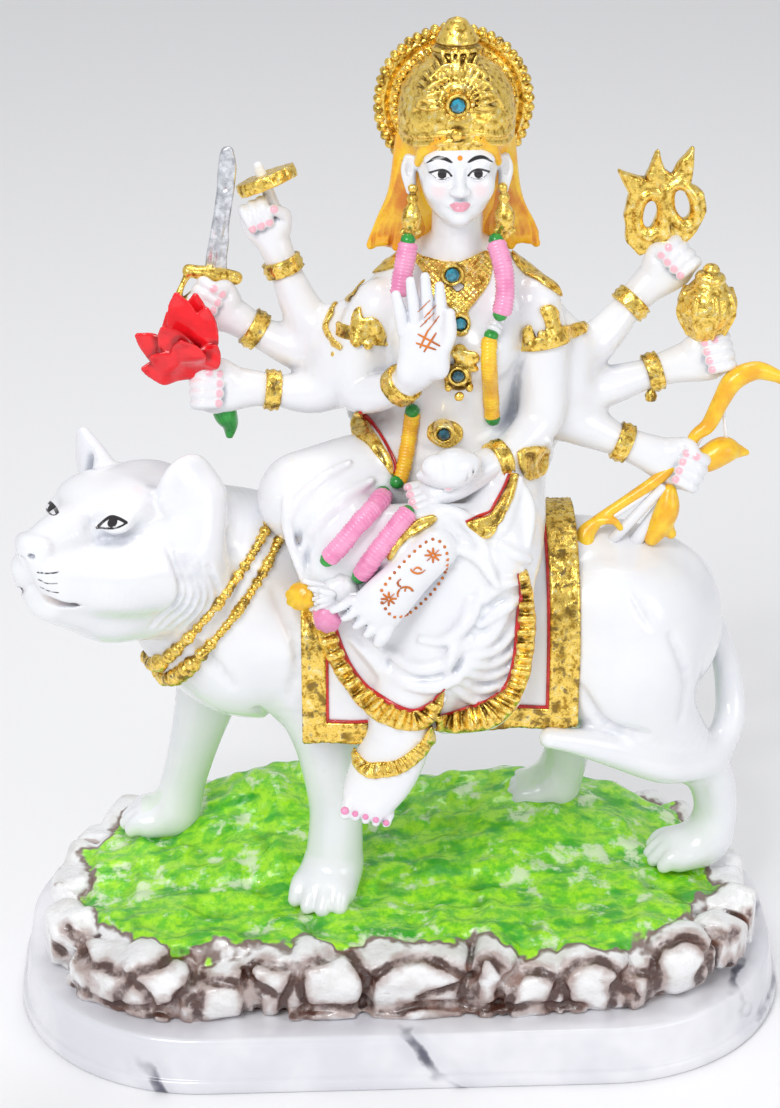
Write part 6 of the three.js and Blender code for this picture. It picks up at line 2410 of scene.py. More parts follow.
def walked(flat, line):
    """How far along a line the nearest place is, and how far away."""
    line = even_line(smooth_line(line, 4), 0.8)
    best = np.full(len(flat), 1e9)
    along = np.zeros(len(flat))
    for i, (a, b) in enumerate(zip(line, line[1:])):
        way = b - a
        share = np.clip((flat - a) @ way / (way @ way + 1e-9), 0, 1)
        gap = np.linalg.norm(flat - a - share[:, None] * way, axis=1)
        closer = gap < best
        best[closer] = gap[closer]
        along[closer] = 0.8 * (i + share[closer])
    return along, best


def crimped(line, step, low, high):
    """A thickness that rises and falls in flat steps along a line, like pressed pleats."""

    def depth(flat):
        along, _ = walked(flat, line)
        wave = np.sin(along * 2 * math.pi / step)
        return low + (high - low) * (0.5 + 0.5 * np.tanh(2.2 * wave))

    return depth


def laid(body, line, lift):
    """A smooth line on the plane carried on to the surface, then lifted to the viewer."""
    points, ways = seen(line)
    return body.meet(points, ways) - lift * ways


def drawn(body, lines, radius, lift=0.1):
    """Brush strokes laid over a surface, as thin as paint."""
    made = Shapes()
    for line in lines:
        path = even_line(laid(body, line, lift), 0.7)
        size = radius * (0.55 + 0.45 * np.sin(np.pi * np.linspace(0.05, 0.95, len(path))) ** 0.5)
        made.tube(np.column_stack([path, size, 0.45 * size]), side=(0.7, 0, 0.7), around=8, steps=1)
    return made


CUFF = [
    [-5.4, 158.0], [-3.7, 162.1], [-0.6, 166.7], [3.7, 170.1], [7.6, 171.6], [9.3, 169.7], [5.7, 166.9],
    [1.4, 164.2], [-2.0, 160.5], [-4.2, 156.8],
]
SASH_LEFT_SHAPE = [
    [-15.9, 199.3], [-13.7, 203.2], [-10.9, 200.7], [-8.4, 197.1], [-5.6, 192.1], [-3.7, 187.8],
    [-3.4, 183.9], [-4.8, 185.4], [-7.6, 189.1], [-10.9, 193.5], [-14.8, 196.6],
]
SASH_LEFT_RED = [[-12.6, 203.2], [-10.3, 201.0], [-7.7, 197.3], [-5.0, 192.4], [-3.0, 187.8], [-2.8, 184.1]]
HIP_RIGHT = [
    [31.3, 190.2], [34.9, 192.0], [40.0, 191.3], [40.4, 187.0], [39.3, 183.3], [35.1, 181.6],
    [32.3, 184.7],
]
POINT_RIGHT = [
    [32.0, 183.5], [31.0, 177.9], [29.1, 172.4], [26.9, 168.1], [24.1, 163.7], [20.7, 164.7],
    [17.3, 168.3], [20.1, 169.8], [24.0, 171.2], [26.2, 174.9], [28.1, 179.2], [29.5, 183.5],
]
POINT_RED = [[29.3, 183.5], [27.8, 179.6], [25.7, 175.4], [23.8, 172.0], [20.2, 170.5], [17.2, 168.9]]
NECKLACE = [
    [0.6, 251.0], [3.9, 249.2], [7.9, 247.7], [12.8, 246.8], [17.4, 247.8], [22.0, 250.1], [23.7, 246.6],
    [23.2, 242.0], [21.4, 238.0], [18.7, 234.8], [17.1, 232.2], [17.7, 228.4], [17.2, 226.1],
    [15.0, 225.0], [12.8, 226.2], [12.4, 230.6], [11.9, 233.5], [9.4, 235.9], [7.2, 235.9], [6.1, 240.3],
    [3.9, 245.2], [1.7, 248.1],
]
NECKLACE_GAP = [[12.4, 239.9], [14.0, 241.3], [15.8, 239.8], [14.0, 238.2]]
CLASP = [
    [12.3, 220.6], [15.0, 221.1], [19.7, 220.5], [20.3, 217.5], [17.8, 216.1], [18.4, 212.8],
    [17.6, 210.1], [14.6, 209.0], [11.8, 209.9], [10.7, 212.9], [12.0, 215.9], [13.7, 217.6],
]
WAIST = [
    [6.3, 198.6], [8.6, 200.1], [11.1, 200.6], [13.8, 200.0], [16.1, 197.8], [15.8, 194.8], [13.9, 192.4],
    [11.1, 191.8], [8.0, 192.8], [6.1, 195.3],
]
SHAWL_LEFT = [
    [-1.5, 251.0], [-4.8, 250.5], [-10.7, 247.1], [-14.5, 243.5], [-16.5, 236.3], [-14.6, 237.4],
    [-11.8, 241.1], [-8.3, 244.2], [-2.6, 245.3],
]
SHAWL_RIGHT = [
    [28.5, 250.5], [33.7, 249.3], [39.7, 246.3], [44.2, 241.1], [49.1, 235.2], [47.7, 233.8],
    [42.2, 236.5], [38.0, 239.7], [33.3, 242.4], [30.0, 245.4],
]
ARMLET_LEFT = [
    [-15.2, 223.7], [-15.2, 229.0], [-14.1, 233.3], [-12.1, 234.5], [-11.6, 231.0], [-9.2, 231.5],
    [-6.2, 228.8], [-5.9, 223.6],
]
ARMLET_RIGHT = [
    [32.1, 222.3], [32.0, 226.7], [34.2, 227.9], [35.9, 224.3], [38.3, 225.5], [37.7, 230.2],
    [36.8, 233.1], [39.8, 234.2], [42.3, 231.8], [43.0, 227.7], [49.2, 229.4], [49.9, 225.8],
    [42.5, 223.0],
]
ARM_STRIP = [
    [-18.4, 235.7], [-20.3, 231.1], [-21.2, 228.2], [-19.3, 224.7], [-17.1, 222.9], [-18.2, 221.6],
    [-21.0, 224.2], [-22.8, 228.2], [-21.8, 231.9], [-19.8, 236.0],
]
SMALL_RING = [[0.8, 177.9], [3.4, 178.8], [4.5, 176.6], [2.2, 175.4]]


def hem_outline(outer, inner):
    return [*smooth_line(outer, 4), *smooth_line(inner, 4)[::-1]]


def gold_skin(name, clay, rough=0.14, seed=81, size=1.7):
    roughen(clay, rough, size, seed)
    return creased(name, clay, 1.4)


def hem_gold(body):
    clay = Clay((-32, -46, 86), (46, -14, 166), 0.5)
    for outer, inner, step in ((HEM_LEFT, HEM_LEFT_INNER, 5.4), (HEM_RIGHT, HEM_RIGHT_INNER, 4.6)):
        overlay(clay, body, hem_outline(outer, inner), crimped(outer, step, 0.6, 2.1), back=-16)
    return gold_skin("hem_gold", clay)


def sash_gold(body):
    clay = Clay((-24, -44, 146), (46, 8, 206), 0.5)
    overlay(clay, body, closed(CUFF, 3), 1.3)
    for outline in (SASH_LEFT_SHAPE, HIP_RIGHT, POINT_RIGHT):
        overlay(clay, body, closed(outline, 3), 1.0)
    overlay(clay, body, SMALL_RING, 1.2)
    for line in (
        [[-13.6, 200.4], [-9.6, 196.2], [-6.3, 190.8], [-4.4, 186.2]],
        [[30.3, 182], [29, 177], [27, 172], [24.4, 167.6], [20.6, 167.2]],
        [[33.6, 190], [37.8, 189.4], [38.2, 185]],
    ):
        clay.stroke(
            [[x, SEEN_Y, z] for x, z in line],
            0.5,
            lift=-0.1,
            blend=0.5,
            way=unit((0, 1, -0.48)),
            start=20,
            carve=True,
        )
    return gold_skin("sash_gold", clay, seed=82)


def bezel(clay, at, radius, back=5.0):
    """A round gold cup with a flat seat, open in front, that a stone sits in."""
    reach = radius + 3.5
    cut = clay.window([at[0] - reach, at[1] - 7, at[2] - reach], [
        at[0] + reach, at[1] + back + 2, at[2] + reach,
    ])
    x, y, z = clay.points(cut)
    across = np.sqrt((x - at[0]) ** 2 + (z - at[2]) ** 2) + 0 * y
    cup = np.maximum.reduce([
        across - radius - 1.2, at[1] - 0.6 - y + 0 * across, y - at[1] - back + 0 * across,
    ])
    clay.press(cup.astype(np.float32), cut, 0.5)
    hollow = np.maximum(across - radius - 0.3, y - at[1] - 0.1)
    clay.press(hollow.astype(np.float32), cut, 0.15, carve=True)


STONES = {
    "stone_necklace": ([14.2, -7.4, 234.8], 2.0),
    "stone_pendant": ([16.3, -11.5, 221.8], 1.7),
    "stone_clasp": ([15.6, -15.6, 207.5], 1.7),
    "stone_waist": ([11.7, -16.0, 190.0], 1.7),
}


def lace(flat):
    """The thickness of the necklace, in small bumps."""
    return 1.1 + 0.35 * np.sin(flat[:, 0] * 3.4) * np.sin(flat[:, 1] * 3.4)


def jewellery(body):
    clay = Clay((-24, -30, 176), (58, 14, 246), 0.45)
    overlay(clay, body, closed(NECKLACE, 2), lace, holes=[NECKLACE_GAP])
    for outline in (CLASP, WAIST):
        overlay(clay, body, closed(outline, 2), 1.3)
    for outline in (SHAWL_LEFT, SHAWL_RIGHT):
        overlay(clay, body, closed(outline, 2), 0.8, back=16)
    for outline in (ARMLET_LEFT, ARMLET_RIGHT, ARM_STRIP):
        overlay(clay, body, closed(outline, 2), 1.2, back=10)
    # Dots of the lace, the clasp's bow and the petals of the waist flower
    for petal in range(10):
        angle = petal * math.pi / 5
        x, z = 11.7 + 3.9 * math.cos(angle), 190.2 + 3.5 * math.sin(angle)
        clay.stroke([[11.7, 0, 190], [x, 0, z]], 0.8, lift=-0.2, blend=0.5, steps=3)
    for near in (1, -1):
        clay.ball([15.6 + 4.0 * near, -14.2, 209.6], [2.2, 1.4, 1.5], (0, 20 * near, 0), blend=0.6)
        clay.ball([16 + 3.0 * near, -13.6, 203.4], [1.2, 1.4, 1.5], blend=0.6)
    clay.ball([16, -14.6, 200.9], [1.5, 1.2, 1.5], blend=0.6)
    clay.ball([16, -13.6, 214.6], [2.0, 1.3, 1.7], blend=0.6)
    clay.ball([-18.4, -3.0, 209.4], [2.0, 1.7, 2.1], blend=0.6)
    clay.ball([-19.0, -2.4, 212.6], [1.1, 1.0, 1.2], blend=0.6)
    for x, z in ((-12.8, 215.0), (-9.4, 214.4), (36.9, 212.6), (40.0, 216.0), (44.0, 214.4)):
        place = body.meet([[x, -10, z]], (0, 1, 0))[0]
        clay.ball(place + [0, -0.9, 0], [1.4, 1.2, 1.4], blend=0.5)
    for at, radius in STONES.values():
        bezel(clay, at, radius)
    return gold_skin("jewellery", clay, 0.12, 83, 1.5)


def armlet_backs():
    """The plain bands that carry both armlets round behind."""
    made = Shapes()
    for a, b in (([-9.6, 1.4, 216.6], [-10.5, 0.3, 212.3]), ([40, 1.6, 214.2], [40.6, 1, 210.2])):
        a, b = np.array(a, float), np.array(b, float)
        profile = [(7.0, -2.0), (8.3, -2.0), (8.7, -1.5), (8.5, 0), (8.7, 1.5), (8.3, 2.0), (7.0, 2.0)]
        made.turned(profile, 0.5 * (a + b), a - b, 44, crumpled(0.01, 9))
    return made


def earrings():
    clay = Clay((-2, -9, 238), (34, 5, 264), 0.4)
    for x, near in ((3.4, -1), (28.4, 1)):
        clay.ball([x, -1.6, 258.2], [1.4, 1.3, 1.4], blend=0.4)
        clay.ball([x + 0.2 * near, -2.2, 255.4], [1.7, 1.6, 1.5], blend=0.5)
        clay.limb([
            [x + 0.3 * near, -2.6, 253.6, 1.4], [x + 0.5 * near, -3.0, 250.6, 2.7],
            [x + 0.6 * near, -3.2, 248.4, 2.5], [x + 0.8 * near, -3.2, 247.0, 1.2],
        ], blend=0.4)
        for bead in range(5):
            angle = math.pi * (0.1 + 0.8 * bead / 4)
            clay.ball([
                x + 0.7 * near + 2.4 * math.cos(angle), -3.6, 246.6 - 1.0 * math.sin(angle),
            ], [0.85] * 3, blend=0.3)
        clay.ball([x + 0.8 * near, -3.2, 244.6], [1.0, 1.0, 1.3], blend=0.4)
    return gold_skin("earrings", clay, 0.1, 84, 1.3)


# Red lines along the gold, then the drawings on the sole and the palm
RED_LINES = [HEM_LEFT_INNER, HEM_RIGHT_INNER, SASH_LEFT_RED, POINT_RED]


def rays(x, z, inner, outer, count):
    turns = [2 * math.pi * i / count for i in range(count)]
    return [
        [
            [x + inner * math.cos(t), z + inner * math.sin(t)],
            [x + outer * math.cos(t), z + outer * math.sin(t)],
        ] for t in turns
    ]


SOLE = [
    [-10.5, 144.8], [-7.1, 150.5], [-1.4, 157.3], [4.3, 162.9], [9.1, 165.6], [12.8, 163.3],
    [14.2, 158.6], [13.4, 153.2], [10.1, 147.5], [5.8, 142.8], [0.1, 138.1], [-5.7, 137.6],
]


def arc(x, z, radius, start, end, count=9):
    return [
        [x + radius * math.cos(math.radians(t)), z + radius * math.sin(math.radians(t))]
        for t in np.linspace(start, end, count)
    ]


def sole_dots(body):
    """A row of small orange dots just inside the edge of the sole."""
    made = Shapes()
    middle = np.mean(np.array(SOLE), axis=0)
    inset = [
        [middle[0] + 0.8 * (x - middle[0]), middle[1] + 0.86 * (z - middle[1])]
        for x, z in [*SOLE, SOLE[0]]
    ]
    path = even_line(laid(body, inset, 0.1), 2.1)
    for place in path[1:-1]:
        made.turned([(0, -0.3), (0.5, -0.1), (0.45, 0.15), (0, 0.25)], place, unit(VIEWER - place), 10)
    return made.mesh("sole_dots")


def sole_lines():
    """Two suns, a crescent and a curl, in orange."""
    curl = [*arc(0.2, 146.4, 2.3, 200, 20), *arc(1.0, 147.6, 1.0, 0, 200, 5)]
    return [
        *rays(-4.6, 145.0, 0.3, 2.3, 8), *rays(8.0, 158.6, 0.3, 2.4, 8), arc(3.8, 155.2, 2.3, 200, 330),
        arc(3.6, 153.6, 1.2, 20, 160, 5), curl, arc(-0.9, 150.0, 1.2, 100, 260, 5),
    ]


PALM_LINES = [
    [[6.2, 227.2], [4.0, 221.9]], [[8.4, 226.3], [5.1, 220.7]], [[3.4, 226.0], [9.5, 222.4]],
    [[2.9, 223.4], [8.4, 221.3]],
]
FINGER_LINES = [
    [[5.1, 230.7], [8.3, 234.4]], [[4.0, 228.1], [7.8, 232.1]], [[3.4, 232.5], [6.7, 235.9]],
    [[5.9, 226.6], [9.2, 231.2]],
]


# Garland of short flower lengths between green beads

PINK_LENGTHS = [
    [[0.6, 251.5, -9.0], [-0.2, 247.0, -10.0], [-1.0, 242.4, -11.2], [-1.5, 238.4, -12.4]],
    [
        [24.7, 251.2, -7.4], [26.1, 246.6, -11.0], [27.0, 241.4, -13.6], [27.1, 236.7, -15.0],
        [26.4, 232.4, -15.8],
    ],
    [[-6.2, 177.4], [-9.6, 172.9], [-13.9, 168.0], [-17.6, 163.0], [-21.3, 158.7]],
    [[0.6, 171.7], [-2.5, 167.7], [-5.9, 162.8], [-9.1, 158.1], [-12.2, 153.1]],
]
YELLOW_LENGTHS = [
    [[1.9, 201.7], [1.3, 196.9], [0.5, 191.4], [-0.3, 186.6], [-1.4, 182.3]],
    [[23.0, 223.7], [23.0, 218.0], [23.4, 212.1], [23.8, 206.1], [24.1, 201.6]],
]
GREEN_BEADS = [
    [-6.2, 178.4], [-22.1, 157.8], [0.6, 172.3], [-13.1, 152.2], [0.6, 253.2, -8.4], [1.9, 203.2],
    [-2.3, 181.7], [24.4, 252.9, -6.6], [25.9, 231.5, -15.8], [23.5, 225.1], [24.4, 200.4],
]


def hung(body, line, lift):
    """A line seen on the plane, laid on the figure, or at its own depths where it gives them."""
    if len(line[0]) == 2:
        return laid(body, line, lift)
    flat = np.array(line, float)
    _, ways = seen(flat[:, :2], 0)
    return smooth_line(VIEWER + ((flat[:, 2] - VIEWER[1]) / ways[:, 1])[:, None] * ways, 5)


def garland(body, pink, yellow, green, white):
    """Flower lengths and beads laid over the figure, with the flowers at the ends."""
    for name, lengths, finish, wide, seed in (
        ("pink_flowers", PINK_LENGTHS, pink, 2.9, 11),
        ("yellow_flowers", YELLOW_LENGTHS, yellow, 2.4, 12),
    ):
        paths = [even_line(smooth_line(hung(body, line, 1.2), 2), 0.5) for line in lengths]
        keep(
            row_of(name, paths, finish, 1.5, wide, wide - 0.3, 0.95, 0.05, (0, -0.8, 0.6), seed),
            finish,
        )
    beads = Shapes()
    for bead in GREEN_BEADS:
        place = hung(body, [bead, [bead[0] + 0.1, *bead[1:]]], 1.4)[0]
        beads.turned([
            (0, -1.9), (1.3, -1.6), (2.05, -0.7), (2.05, 0.7), (1.3, 1.6), (0, 1.9),
        ], place, (0.2, -0.3, 1), 14)
    keep(beads.mesh("green_beads"), green)
    between = [even_line(laid(body, WHITE_LENGTH, 1.2), 0.5)]
    keep(
        row_of("white_flowers", between, white, 1.1, 2.2, 2.0, 1.4, 0.15, (0, -0.8, 0.6), 13),
        white,
    )
    keep(end_petals(), white)
    yellow_end, pink_end = (laid(body, [at, [at[0] + 0.1, at[1]]], 1.5)[0] for at in FLOWER_ENDS)
    keep(end_flower("yellow_end", yellow_end, (-0.3, -0.5, 0.2), 4.2, 5.6), yellow)
    keep(end_flower("pink_end", pink_end, (-0.1, -0.8, -0.2), 4.2, 3.8), pink)


WHITE_LENGTH = [[25.9, 230.9], [24.8, 228.3], [23.5, 225.4]]
FLOWER_ENDS = ([-28.4, 146.6], [-22.0, 140.2])


def end_petals():
    """White petals that fan out under the ends of the garland."""
    made = Shapes()
    draw = np.random.default_rng(17)
    for row, (count, reach, lift) in enumerate(((17, 9.0, 0.0), (15, 7.4, -1.6), (11, 5.6, -3.0))):
        for petal in range(count):
            angle = math.radians(150 + 215 * (petal + 0.5 * (row % 2)) / count)
            length = reach * draw.uniform(0.82, 1.12)
            foot = np.array([-18.5, -33.2 + lift, 149.0])
            way = np.array([math.cos(angle) * 1.25, -0.25, math.sin(angle)])
            made.tube(
                [
                    [*(foot + 1.5 * way), 0.9, 0.6], [*(foot + 0.55 * length * way), 1.5, 0.7],
                    [*(foot + length * way + [0, 0.5, 0]), 0.6, 0.4],
                ],
                side=(math.sin(angle), 0, -math.cos(angle)),
                around=8,
                steps=3,
            )
    made.turned(
        [(0, -2.4), (4.6, -1.6), (6.0, 0.2), (4.4, 2.2), (0, 3.0)], [-18.5, -33.4, 148.6], (0.1, -1, 0.1),
        20, crumpled(0.05, 3),
    )
    return made.mesh("white_petals")


def end_flower(name, centre, way, wide, high):
    made = Shapes()
    profile = [
        (0, -high), (wide * 0.8, -high * 0.85), (wide, -high * 0.3), (wide * 0.9, high * 0.5),
        (wide * 0.75, high), (0, high * 0.8),
    ]

    def petals(turn, height):
        return 1 + 0.12 * abs(math.sin(3.5 * turn)) + 0.04 * math.sin(7 * turn + height)

    made.turned(profile, centre, way, 28, petals)
    return made.mesh(name)


# Saddle cloth

SADDLE_LEFT, SADDLE_RIGHT = -29.5, 51.0
SADDLE_HEM = 100.0
SADDLE_HALF = 29.5
SADDLE_MIDDLE = 4.0
SADDLE_ARCH_FOOT = 121.0
SADDLE_RISE = 35.5


def saddle_place(x, run, lift):
    """A place on the cloth: along X, from the front hem (0) over the back to the far hem (1)."""
    straight = SADDLE_ARCH_FOOT - SADDLE_HEM
    arch = 0.5 * math.pi * (SADDLE_HALF + SADDLE_RISE) * 1.01
    total = 2 * straight + arch
    walk = run * total
    if walk < straight:
        across, height, way = -SADDLE_HALF, SADDLE_HEM + walk, (-1.0, 0.0)
    elif walk > total - straight:
        across, height, way = SADDLE_HALF, SADDLE_HEM + total - walk, (1.0, 0.0)
    else:
        angle = math.pi * (1 - (walk - straight) / arch)
        across, height = SADDLE_HALF * math.cos(angle), SADDLE_ARCH_FOOT + SADDLE_RISE * math.sin(angle)
        way = unit((math.cos(angle) / SADDLE_HALF, math.sin(angle) / SADDLE_RISE))
    side = 0.55 * math.sin(x * 0.33) * max(0.0, 1 - walk / 30) * (1 if across < 0 else 0.6)
    if across < 0:
        side += 6.4 * float(ease(-1.0, -10.0, x)) * float(ease(52.0, 30.0, walk))
    return np.array([x, SADDLE_MIDDLE + across + (lift + side) * way[0], height + (lift + side) * way[1]])


def saddle_strip(name, left, right, start, end, lift, thick, columns, rows, rough=0.0, seed=5):
    """A closed band of the cloth between two places along it and two across it."""
    draw = np.random.default_rng(seed)
    points, faces = [], []
    for level, height in enumerate((lift, lift - thick)):
        for run in np.linspace(start, end, rows + 1):
            for x in np.linspace(left, right, columns + 1):
                shake = rough * draw.normal() if level == 0 else 0.0
                points.append(saddle_place(x, run, height + shake))
    wide = columns + 1
    half = wide * (rows + 1)
    for r in range(rows):
        for c in range(columns):
            a = r * wide + c
            faces.append((a, a + 1, a + wide + 1, a + wide))
            faces.append((half + a, half + a + wide, half + a + wide + 1, half + a + 1))
    rim = [c for c in range(wide)] + [r * wide + columns for r in range(1, rows + 1)]
    rim += [
        rows * wide + c for c in range(columns - 1, -1, -1)
    ] + [r * wide for r in range(rows - 1, 0, -1)]
    for a, b in zip(rim, rim[1:] + rim[:1]):
        faces.append((b, a, half + a, half + b))
    piece = mesh_of(name, points, faces)
    face_outwards(piece.data)
    return piece


def saddle_cloth(white, gilt, red):
    keep(
        saddle_strip("saddle_cloth", SADDLE_LEFT, SADDLE_RIGHT, 0, 1, 0.0, 1.6, 60, 120, 0.03),
        white,
    )
    band, hem = 6.6, 0.042
    edges = (
        ("saddle_band_front_left", SADDLE_LEFT - 0.4, SADDLE_LEFT + band, 0, 1, 8, 200),
        ("saddle_band_right", SADDLE_RIGHT - 8.4, SADDLE_RIGHT + 0.4, 0, 1, 10, 200),
        ("saddle_band_hem", SADDLE_LEFT, SADDLE_RIGHT, -0.003, hem, 90, 8),
        ("saddle_band_far_hem", SADDLE_LEFT, SADDLE_RIGHT, 1 - hem, 1.003, 90, 8),
    )
    for name, left, right, start, end, columns, rows in edges:
        keep(
            saddle_strip(name, left, right, start, end, 1.0, 1.4, columns, rows, 0.16, len(name)),
            gilt,
        )
    made = Shapes()
    for x in (SADDLE_LEFT + band + 0.3, SADDLE_RIGHT - 8.8):
        path = [saddle_place(x, run, 0.35) for run in np.linspace(hem, 1 - hem, 90)]
        made.tube([[*p, 0.55] for p in path], side=(1, 0, 0), around=8, steps=1)
    for run in (hem + 0.003, 1 - hem - 0.003):
        path = [saddle_place(x, run, 0.35) for x in np.linspace(SADDLE_LEFT + band, SADDLE_RIGHT - 8.4, 60)]
        made.tube([[*p, 0.5] for p in path], side=(0, 0, 1), around=8, steps=1)
    keep(made.mesh("saddle_piping"), red)


# Collar chains of the tiger

COLLAR_UPPER = ([-38.7, 0.0, 161.4], [-51.3, -28.0, 147.2], [-69.4, -15.0, 123.0])
COLLAR_LOWER = ([-34.0, 0.0, 162.4], [-45.5, -27.5, 145.0], [-66.5, -15.0, 118.0])
NECK_MIDDLE = np.array([-55.0, -5.0, 142.0])
CHAIN_LIFT = 0.6


def chain_loop(body, corners):
    """A loop round the neck, in the plane of three places on it."""
    a, b, c = (np.array(p, float) for p in corners)
    normal = unit(np.cross(b - a, c - a))
    middle = NECK_MIDDLE - ((NECK_MIDDLE - a) @ normal) * normal
    across = unit(a - middle)
    deep = np.cross(normal, across)
    turns = np.linspace(0, 2 * math.pi, 91)
    ways = -(np.cos(turns)[:, None] * across + np.sin(turns)[:, None] * deep)
    met = body.meet(np.broadcast_to(middle, ways.shape), ways, 42)
    reach = np.linalg.norm(met - middle, axis=1)
    soft = np.convolve(np.pad(reach[:-1], 4, mode="wrap"), np.ones(9) / 9, mode="valid")
    soft = np.append(soft, soft[0])
    return middle - ways * (np.maximum(soft, reach) + CHAIN_LIFT)[:, None]


def collar(body, finish):
    for name, corners, seed in (
        ("collar_chain_upper", COLLAR_UPPER, 21), ("collar_chain_lower", COLLAR_LOWER, 22),
    ):
        path = even_line(chain_loop(body, corners), 0.8)
        swell = 1 + 0.55 * np.clip((132 - path[:, 2]) / 10, 0, 1)
        path = np.column_stack([path, swell])
        keep(
            row_of(name, [path], finish, 1.25, 1.5, 1.35, 1.55, 0.3, unit((-0.3, -0.9, 0.2)), seed),
            finish,
        )


# Light, floor and camera


def camera():
    """Looks from the photograph's own place: a little to the left and from above."""
    azimuth, elevation, distance = math.radians(-2.49), math.radians(25.82), 0.8475
    target = np.array([-0.00294, 0.0, 0.14475])
    back = np.array([
        math.sin(azimuth) * math.cos(elevation), -math.cos(azimuth) * math.cos(elevation),
        math.sin(elevation),
    ])
    data = bpy.data.cameras.new("camera")
    data.lens = 93.18
    data.sensor_width = 36.0
    made = bpy.data.objects.new("camera", data)
    bpy.context.scene.collection.objects.link(made)
    made.location = target + distance * back
    turn = -back
    made.rotation_mode = "QUATERNION"
    made.rotation_quaternion = Vector(turn).to_track_quat("-Z", "Y")
    data.clip_start, data.clip_end = 0.01, 20
    bpy.context.scene.camera = made


def softbox(name, place, aim, size, power):
    data = bpy.data.lights.new(name, "AREA")
    data.shape = "DISK"
    data.size = size
    data.energy = power
    made = bpy.data.objects.new(name, data)
    bpy.context.scene.collection.objects.link(made)
    made.location = place
    way = Vector(aim) - Vector(place)
    made.rotation_mode = "QUATERNION"
    made.rotation_quaternion = way.to_track_quat("-Z", "Y")


def studio():
    floor = mesh_of("floor", [
        (-4000, -4000, 0), (4000, -4000, 0), (4000, 4000, 0), (-4000, 4000, 0),
    ], [(0, 1, 2, 3)], smooth=False)
    finish = Finish("pale_floor", Roughness=0.6)
    finish.shader.inputs["Base Color"].default_value = colour(0.9, 0.9, 0.91)
    floor.data.materials.append(finish.material)
    world = bpy.data.worlds.new("studio")
    world.use_nodes = True
    world.node_tree.nodes["Background"].inputs["Color"].default_value = colour(0.97, 0.98, 1.0)
    world.node_tree.nodes["Background"].inputs["Strength"].default_value = 0.57
    bpy.context.scene.world = world
    softbox("key", (-0.55, -1.0, 1.15), (0, 0, 0.15), 0.7, 9.8)
    softbox("fill", (0.9, -0.8, 0.6), (0, 0, 0.14), 0.7, 2.6)
    softbox("top", (0.1, 0.35, 1.3), (0, 0, 0.15), 0.5, 3.4)
    softbox("glint", (-0.25, -0.9, 1.35), (0, 0, 0.15), 0.09, 1.6)
    bpy.context.scene.view_settings.view_transform = "Standard"


camera()
studio()

DARK_INK = colour(0.015, 0.012, 0.014)
tiger_finish = marble_dust(
    "tiger_paint",
    paints=(
        ("blush", colour(0.42, 0.3, 0.26), 0.8, 0.4),
        ("ink", DARK_INK, 0.12, 0.06),
        # Painted shade tinted green by light reflected from the grass, on the far paws
        ("green_reflected_shade", colour(0.62, 0.84, 0.5), 9.0, 4.0),
    ),
)

base = keep(plinth(), plinth_finish())
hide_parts("plinth")
keep(mound(), mound_finish())
tiger_clay, casts = tiger()
for cast in casts:
    keep(cast, tiger_finish)
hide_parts("statue")
rider_clay, cast = rider()
skin = marble_dust("skin_paint", strength=0.6)
keep(cast, skin)

gilt = gold()
gilt_rows = gold("gold_rows", marked=False)
red_line = paint("red_paint", colour(0.62, 0.02, 0.02), colour(0.4, 0.01, 0.012))
orange_line = paint("orange_paint", colour(0.72, 0.2, 0.02), colour(0.45, 0.1, 0.01))
pink = paint("pink_paint", colour(0.9, 0.36, 0.58), colour(0.8, 0.24, 0.46), crease_shade=colour(0.5, 0.07, 0.2))
yellow = paint("yellow_paint", colour(0.95, 0.62, 0.03), colour(0.85, 0.42, 0.02))
green = paint("green_paint", colour(0.03, 0.36, 0.05), colour(0.01, 0.2, 0.03))
silver = paint(
    "silver_leaf", colour(0.8, 0.82, 0.86), colour(0.5, 0.52, 0.56), rough=0.3, metal=0.85, lumps=2.0
)
hair_paint = paint(
    "hair_paint",
    colour(0.97, 0.62, 0.03),
    colour(0.92, 0.42, 0.015),
    crease_shade=colour(0.66, 0.2, 0.01),
    lumps=7,
)
lotus_paint = paint(
    "lotus_paint",
    colour(0.9, 0.012, 0.02),
    colour(0.75, 0.008, 0.015),
    crease_shade=colour(0.42, 0.004, 0.008),
    rough=0.16,
)
plain_white = marble_dust("white_paint")
NAIL = colour(0.9, 0.5, 0.58)
hand_finish = marble_dust("hand_paint", strength=0.6, paints=(("nails", NAIL, 0.25, 0.1),))


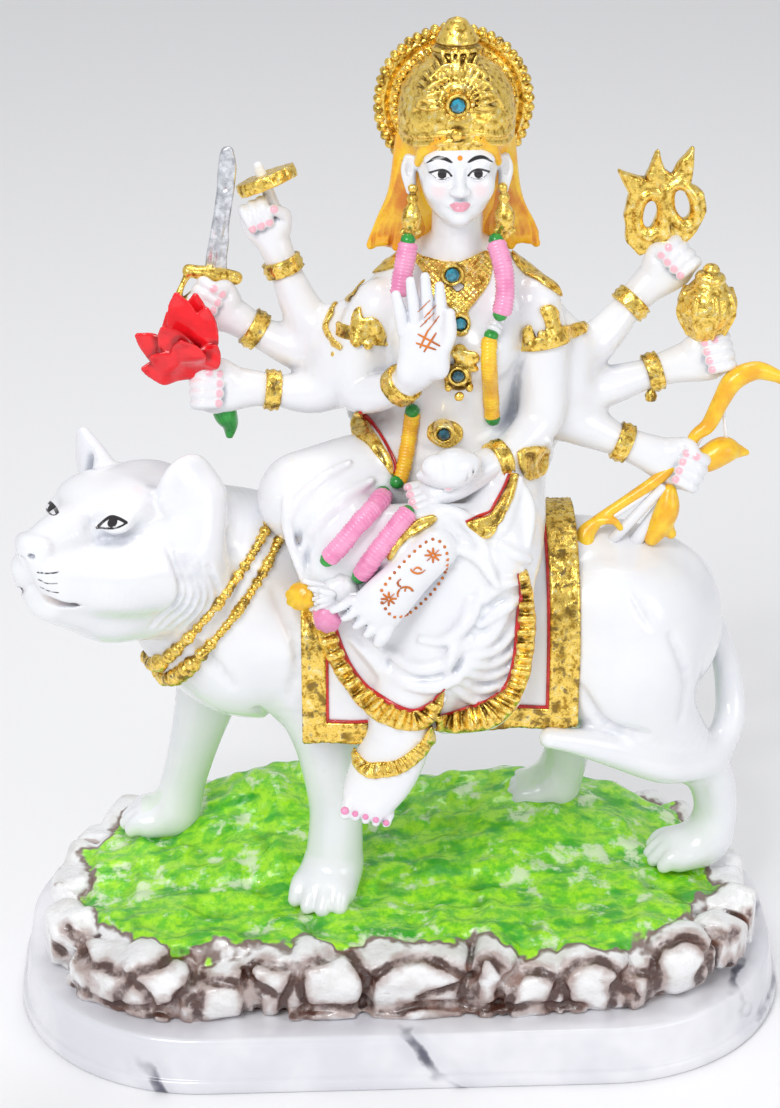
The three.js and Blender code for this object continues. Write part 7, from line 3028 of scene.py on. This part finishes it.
def glass(name, tint):
    """Coloured glass that varies a little in depth."""
    finish = Finish(name, **{"Roughness": 0.04, "Coat Weight": 1.0, "Coat Roughness": 0.02, "IOR": 1.52})
    place = finish.object_place()
    depth = finish.noise(place, 1.6, 2)
    finish.feed(
        Base_Color=finish.mix(
            finish.span(depth, 0.35, 0.65), colour(*tint), colour(*[0.35 * c for c in tint])
        )
    )
    finish.bump(depth, 0.06, 0.2)
    return finish.material


turquoise = glass("turquoise_glass", (0.01, 0.34, 0.5))
dark_teal = glass("teal_glass", (0.005, 0.12, 0.18))
for stone, finish in (
    ("stone_crown", turquoise), ("stone_necklace", turquoise), ("stone_pendant", turquoise),
    ("stone_clasp", dark_teal), ("stone_waist", dark_teal),
):
    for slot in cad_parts[stone].material_slots:
        slot.material = finish
face_finish = marble_dust(
    "face_paint",
    strength=0.5,
    paints=(
        ("blush", colour(0.85, 0.72, 0.74), 1.6, 0.3), ("eyes", colour(0.88, 0.88, 0.9), 0.1, 0.0),
        ("ink", DARK_INK, 0.1, 0.06), ("lips", colour(0.8, 0.34, 0.43), 0.15, 0.1),
        ("dot", colour(0.85, 0.3, 0.02), 0.12, 0.0),
    ),
)

keep(head(), face_finish)
keep(hair(), hair_paint)
keep(crown(), gilt)
crown_beads(gilt_rows)
blessing = hands(hand_finish)
keep(bangles().mesh("bangles"), gilt_rows)
for piece in (trident(), mace(), discus(), sword_grip()):
    keep(piece, gilt)
keep(sword_blade(), silver)
keep(lotus(), lotus_paint)
keep(lotus_stem().mesh("lotus_stem"), green)
keep(bow(), yellow)
keep(bow_strings().mesh("bow_strings"), plain_white)
keep(hem_gold(rider_clay), gilt)
keep(anklet(rider_clay), gilt)
keep(toenails(rider_clay), pink)
keep(sash_gold(rider_clay), gilt)
keep(jewellery(rider_clay), gilt)
keep(earrings(), gilt)
keep(armlet_backs().mesh("armlet_bands"), gilt_rows)
keep(drawn(rider_clay, RED_LINES, 0.75, 0.5).mesh("red_lines"), red_line)
keep(drawn(rider_clay, sole_lines(), 0.36, 0.1).mesh("sole_drawing"), orange_line)
keep(sole_dots(rider_clay), orange_line)
keep(drawn(blessing, [*PALM_LINES, *FINGER_LINES], 0.32, 0.1).mesh("palm_drawing"), orange_line)
garland(rider_clay, pink, yellow, green, plain_white)
saddle_cloth(plain_white, gilt_rows, red_line)
collar(tiger_clay, gilt_rows)
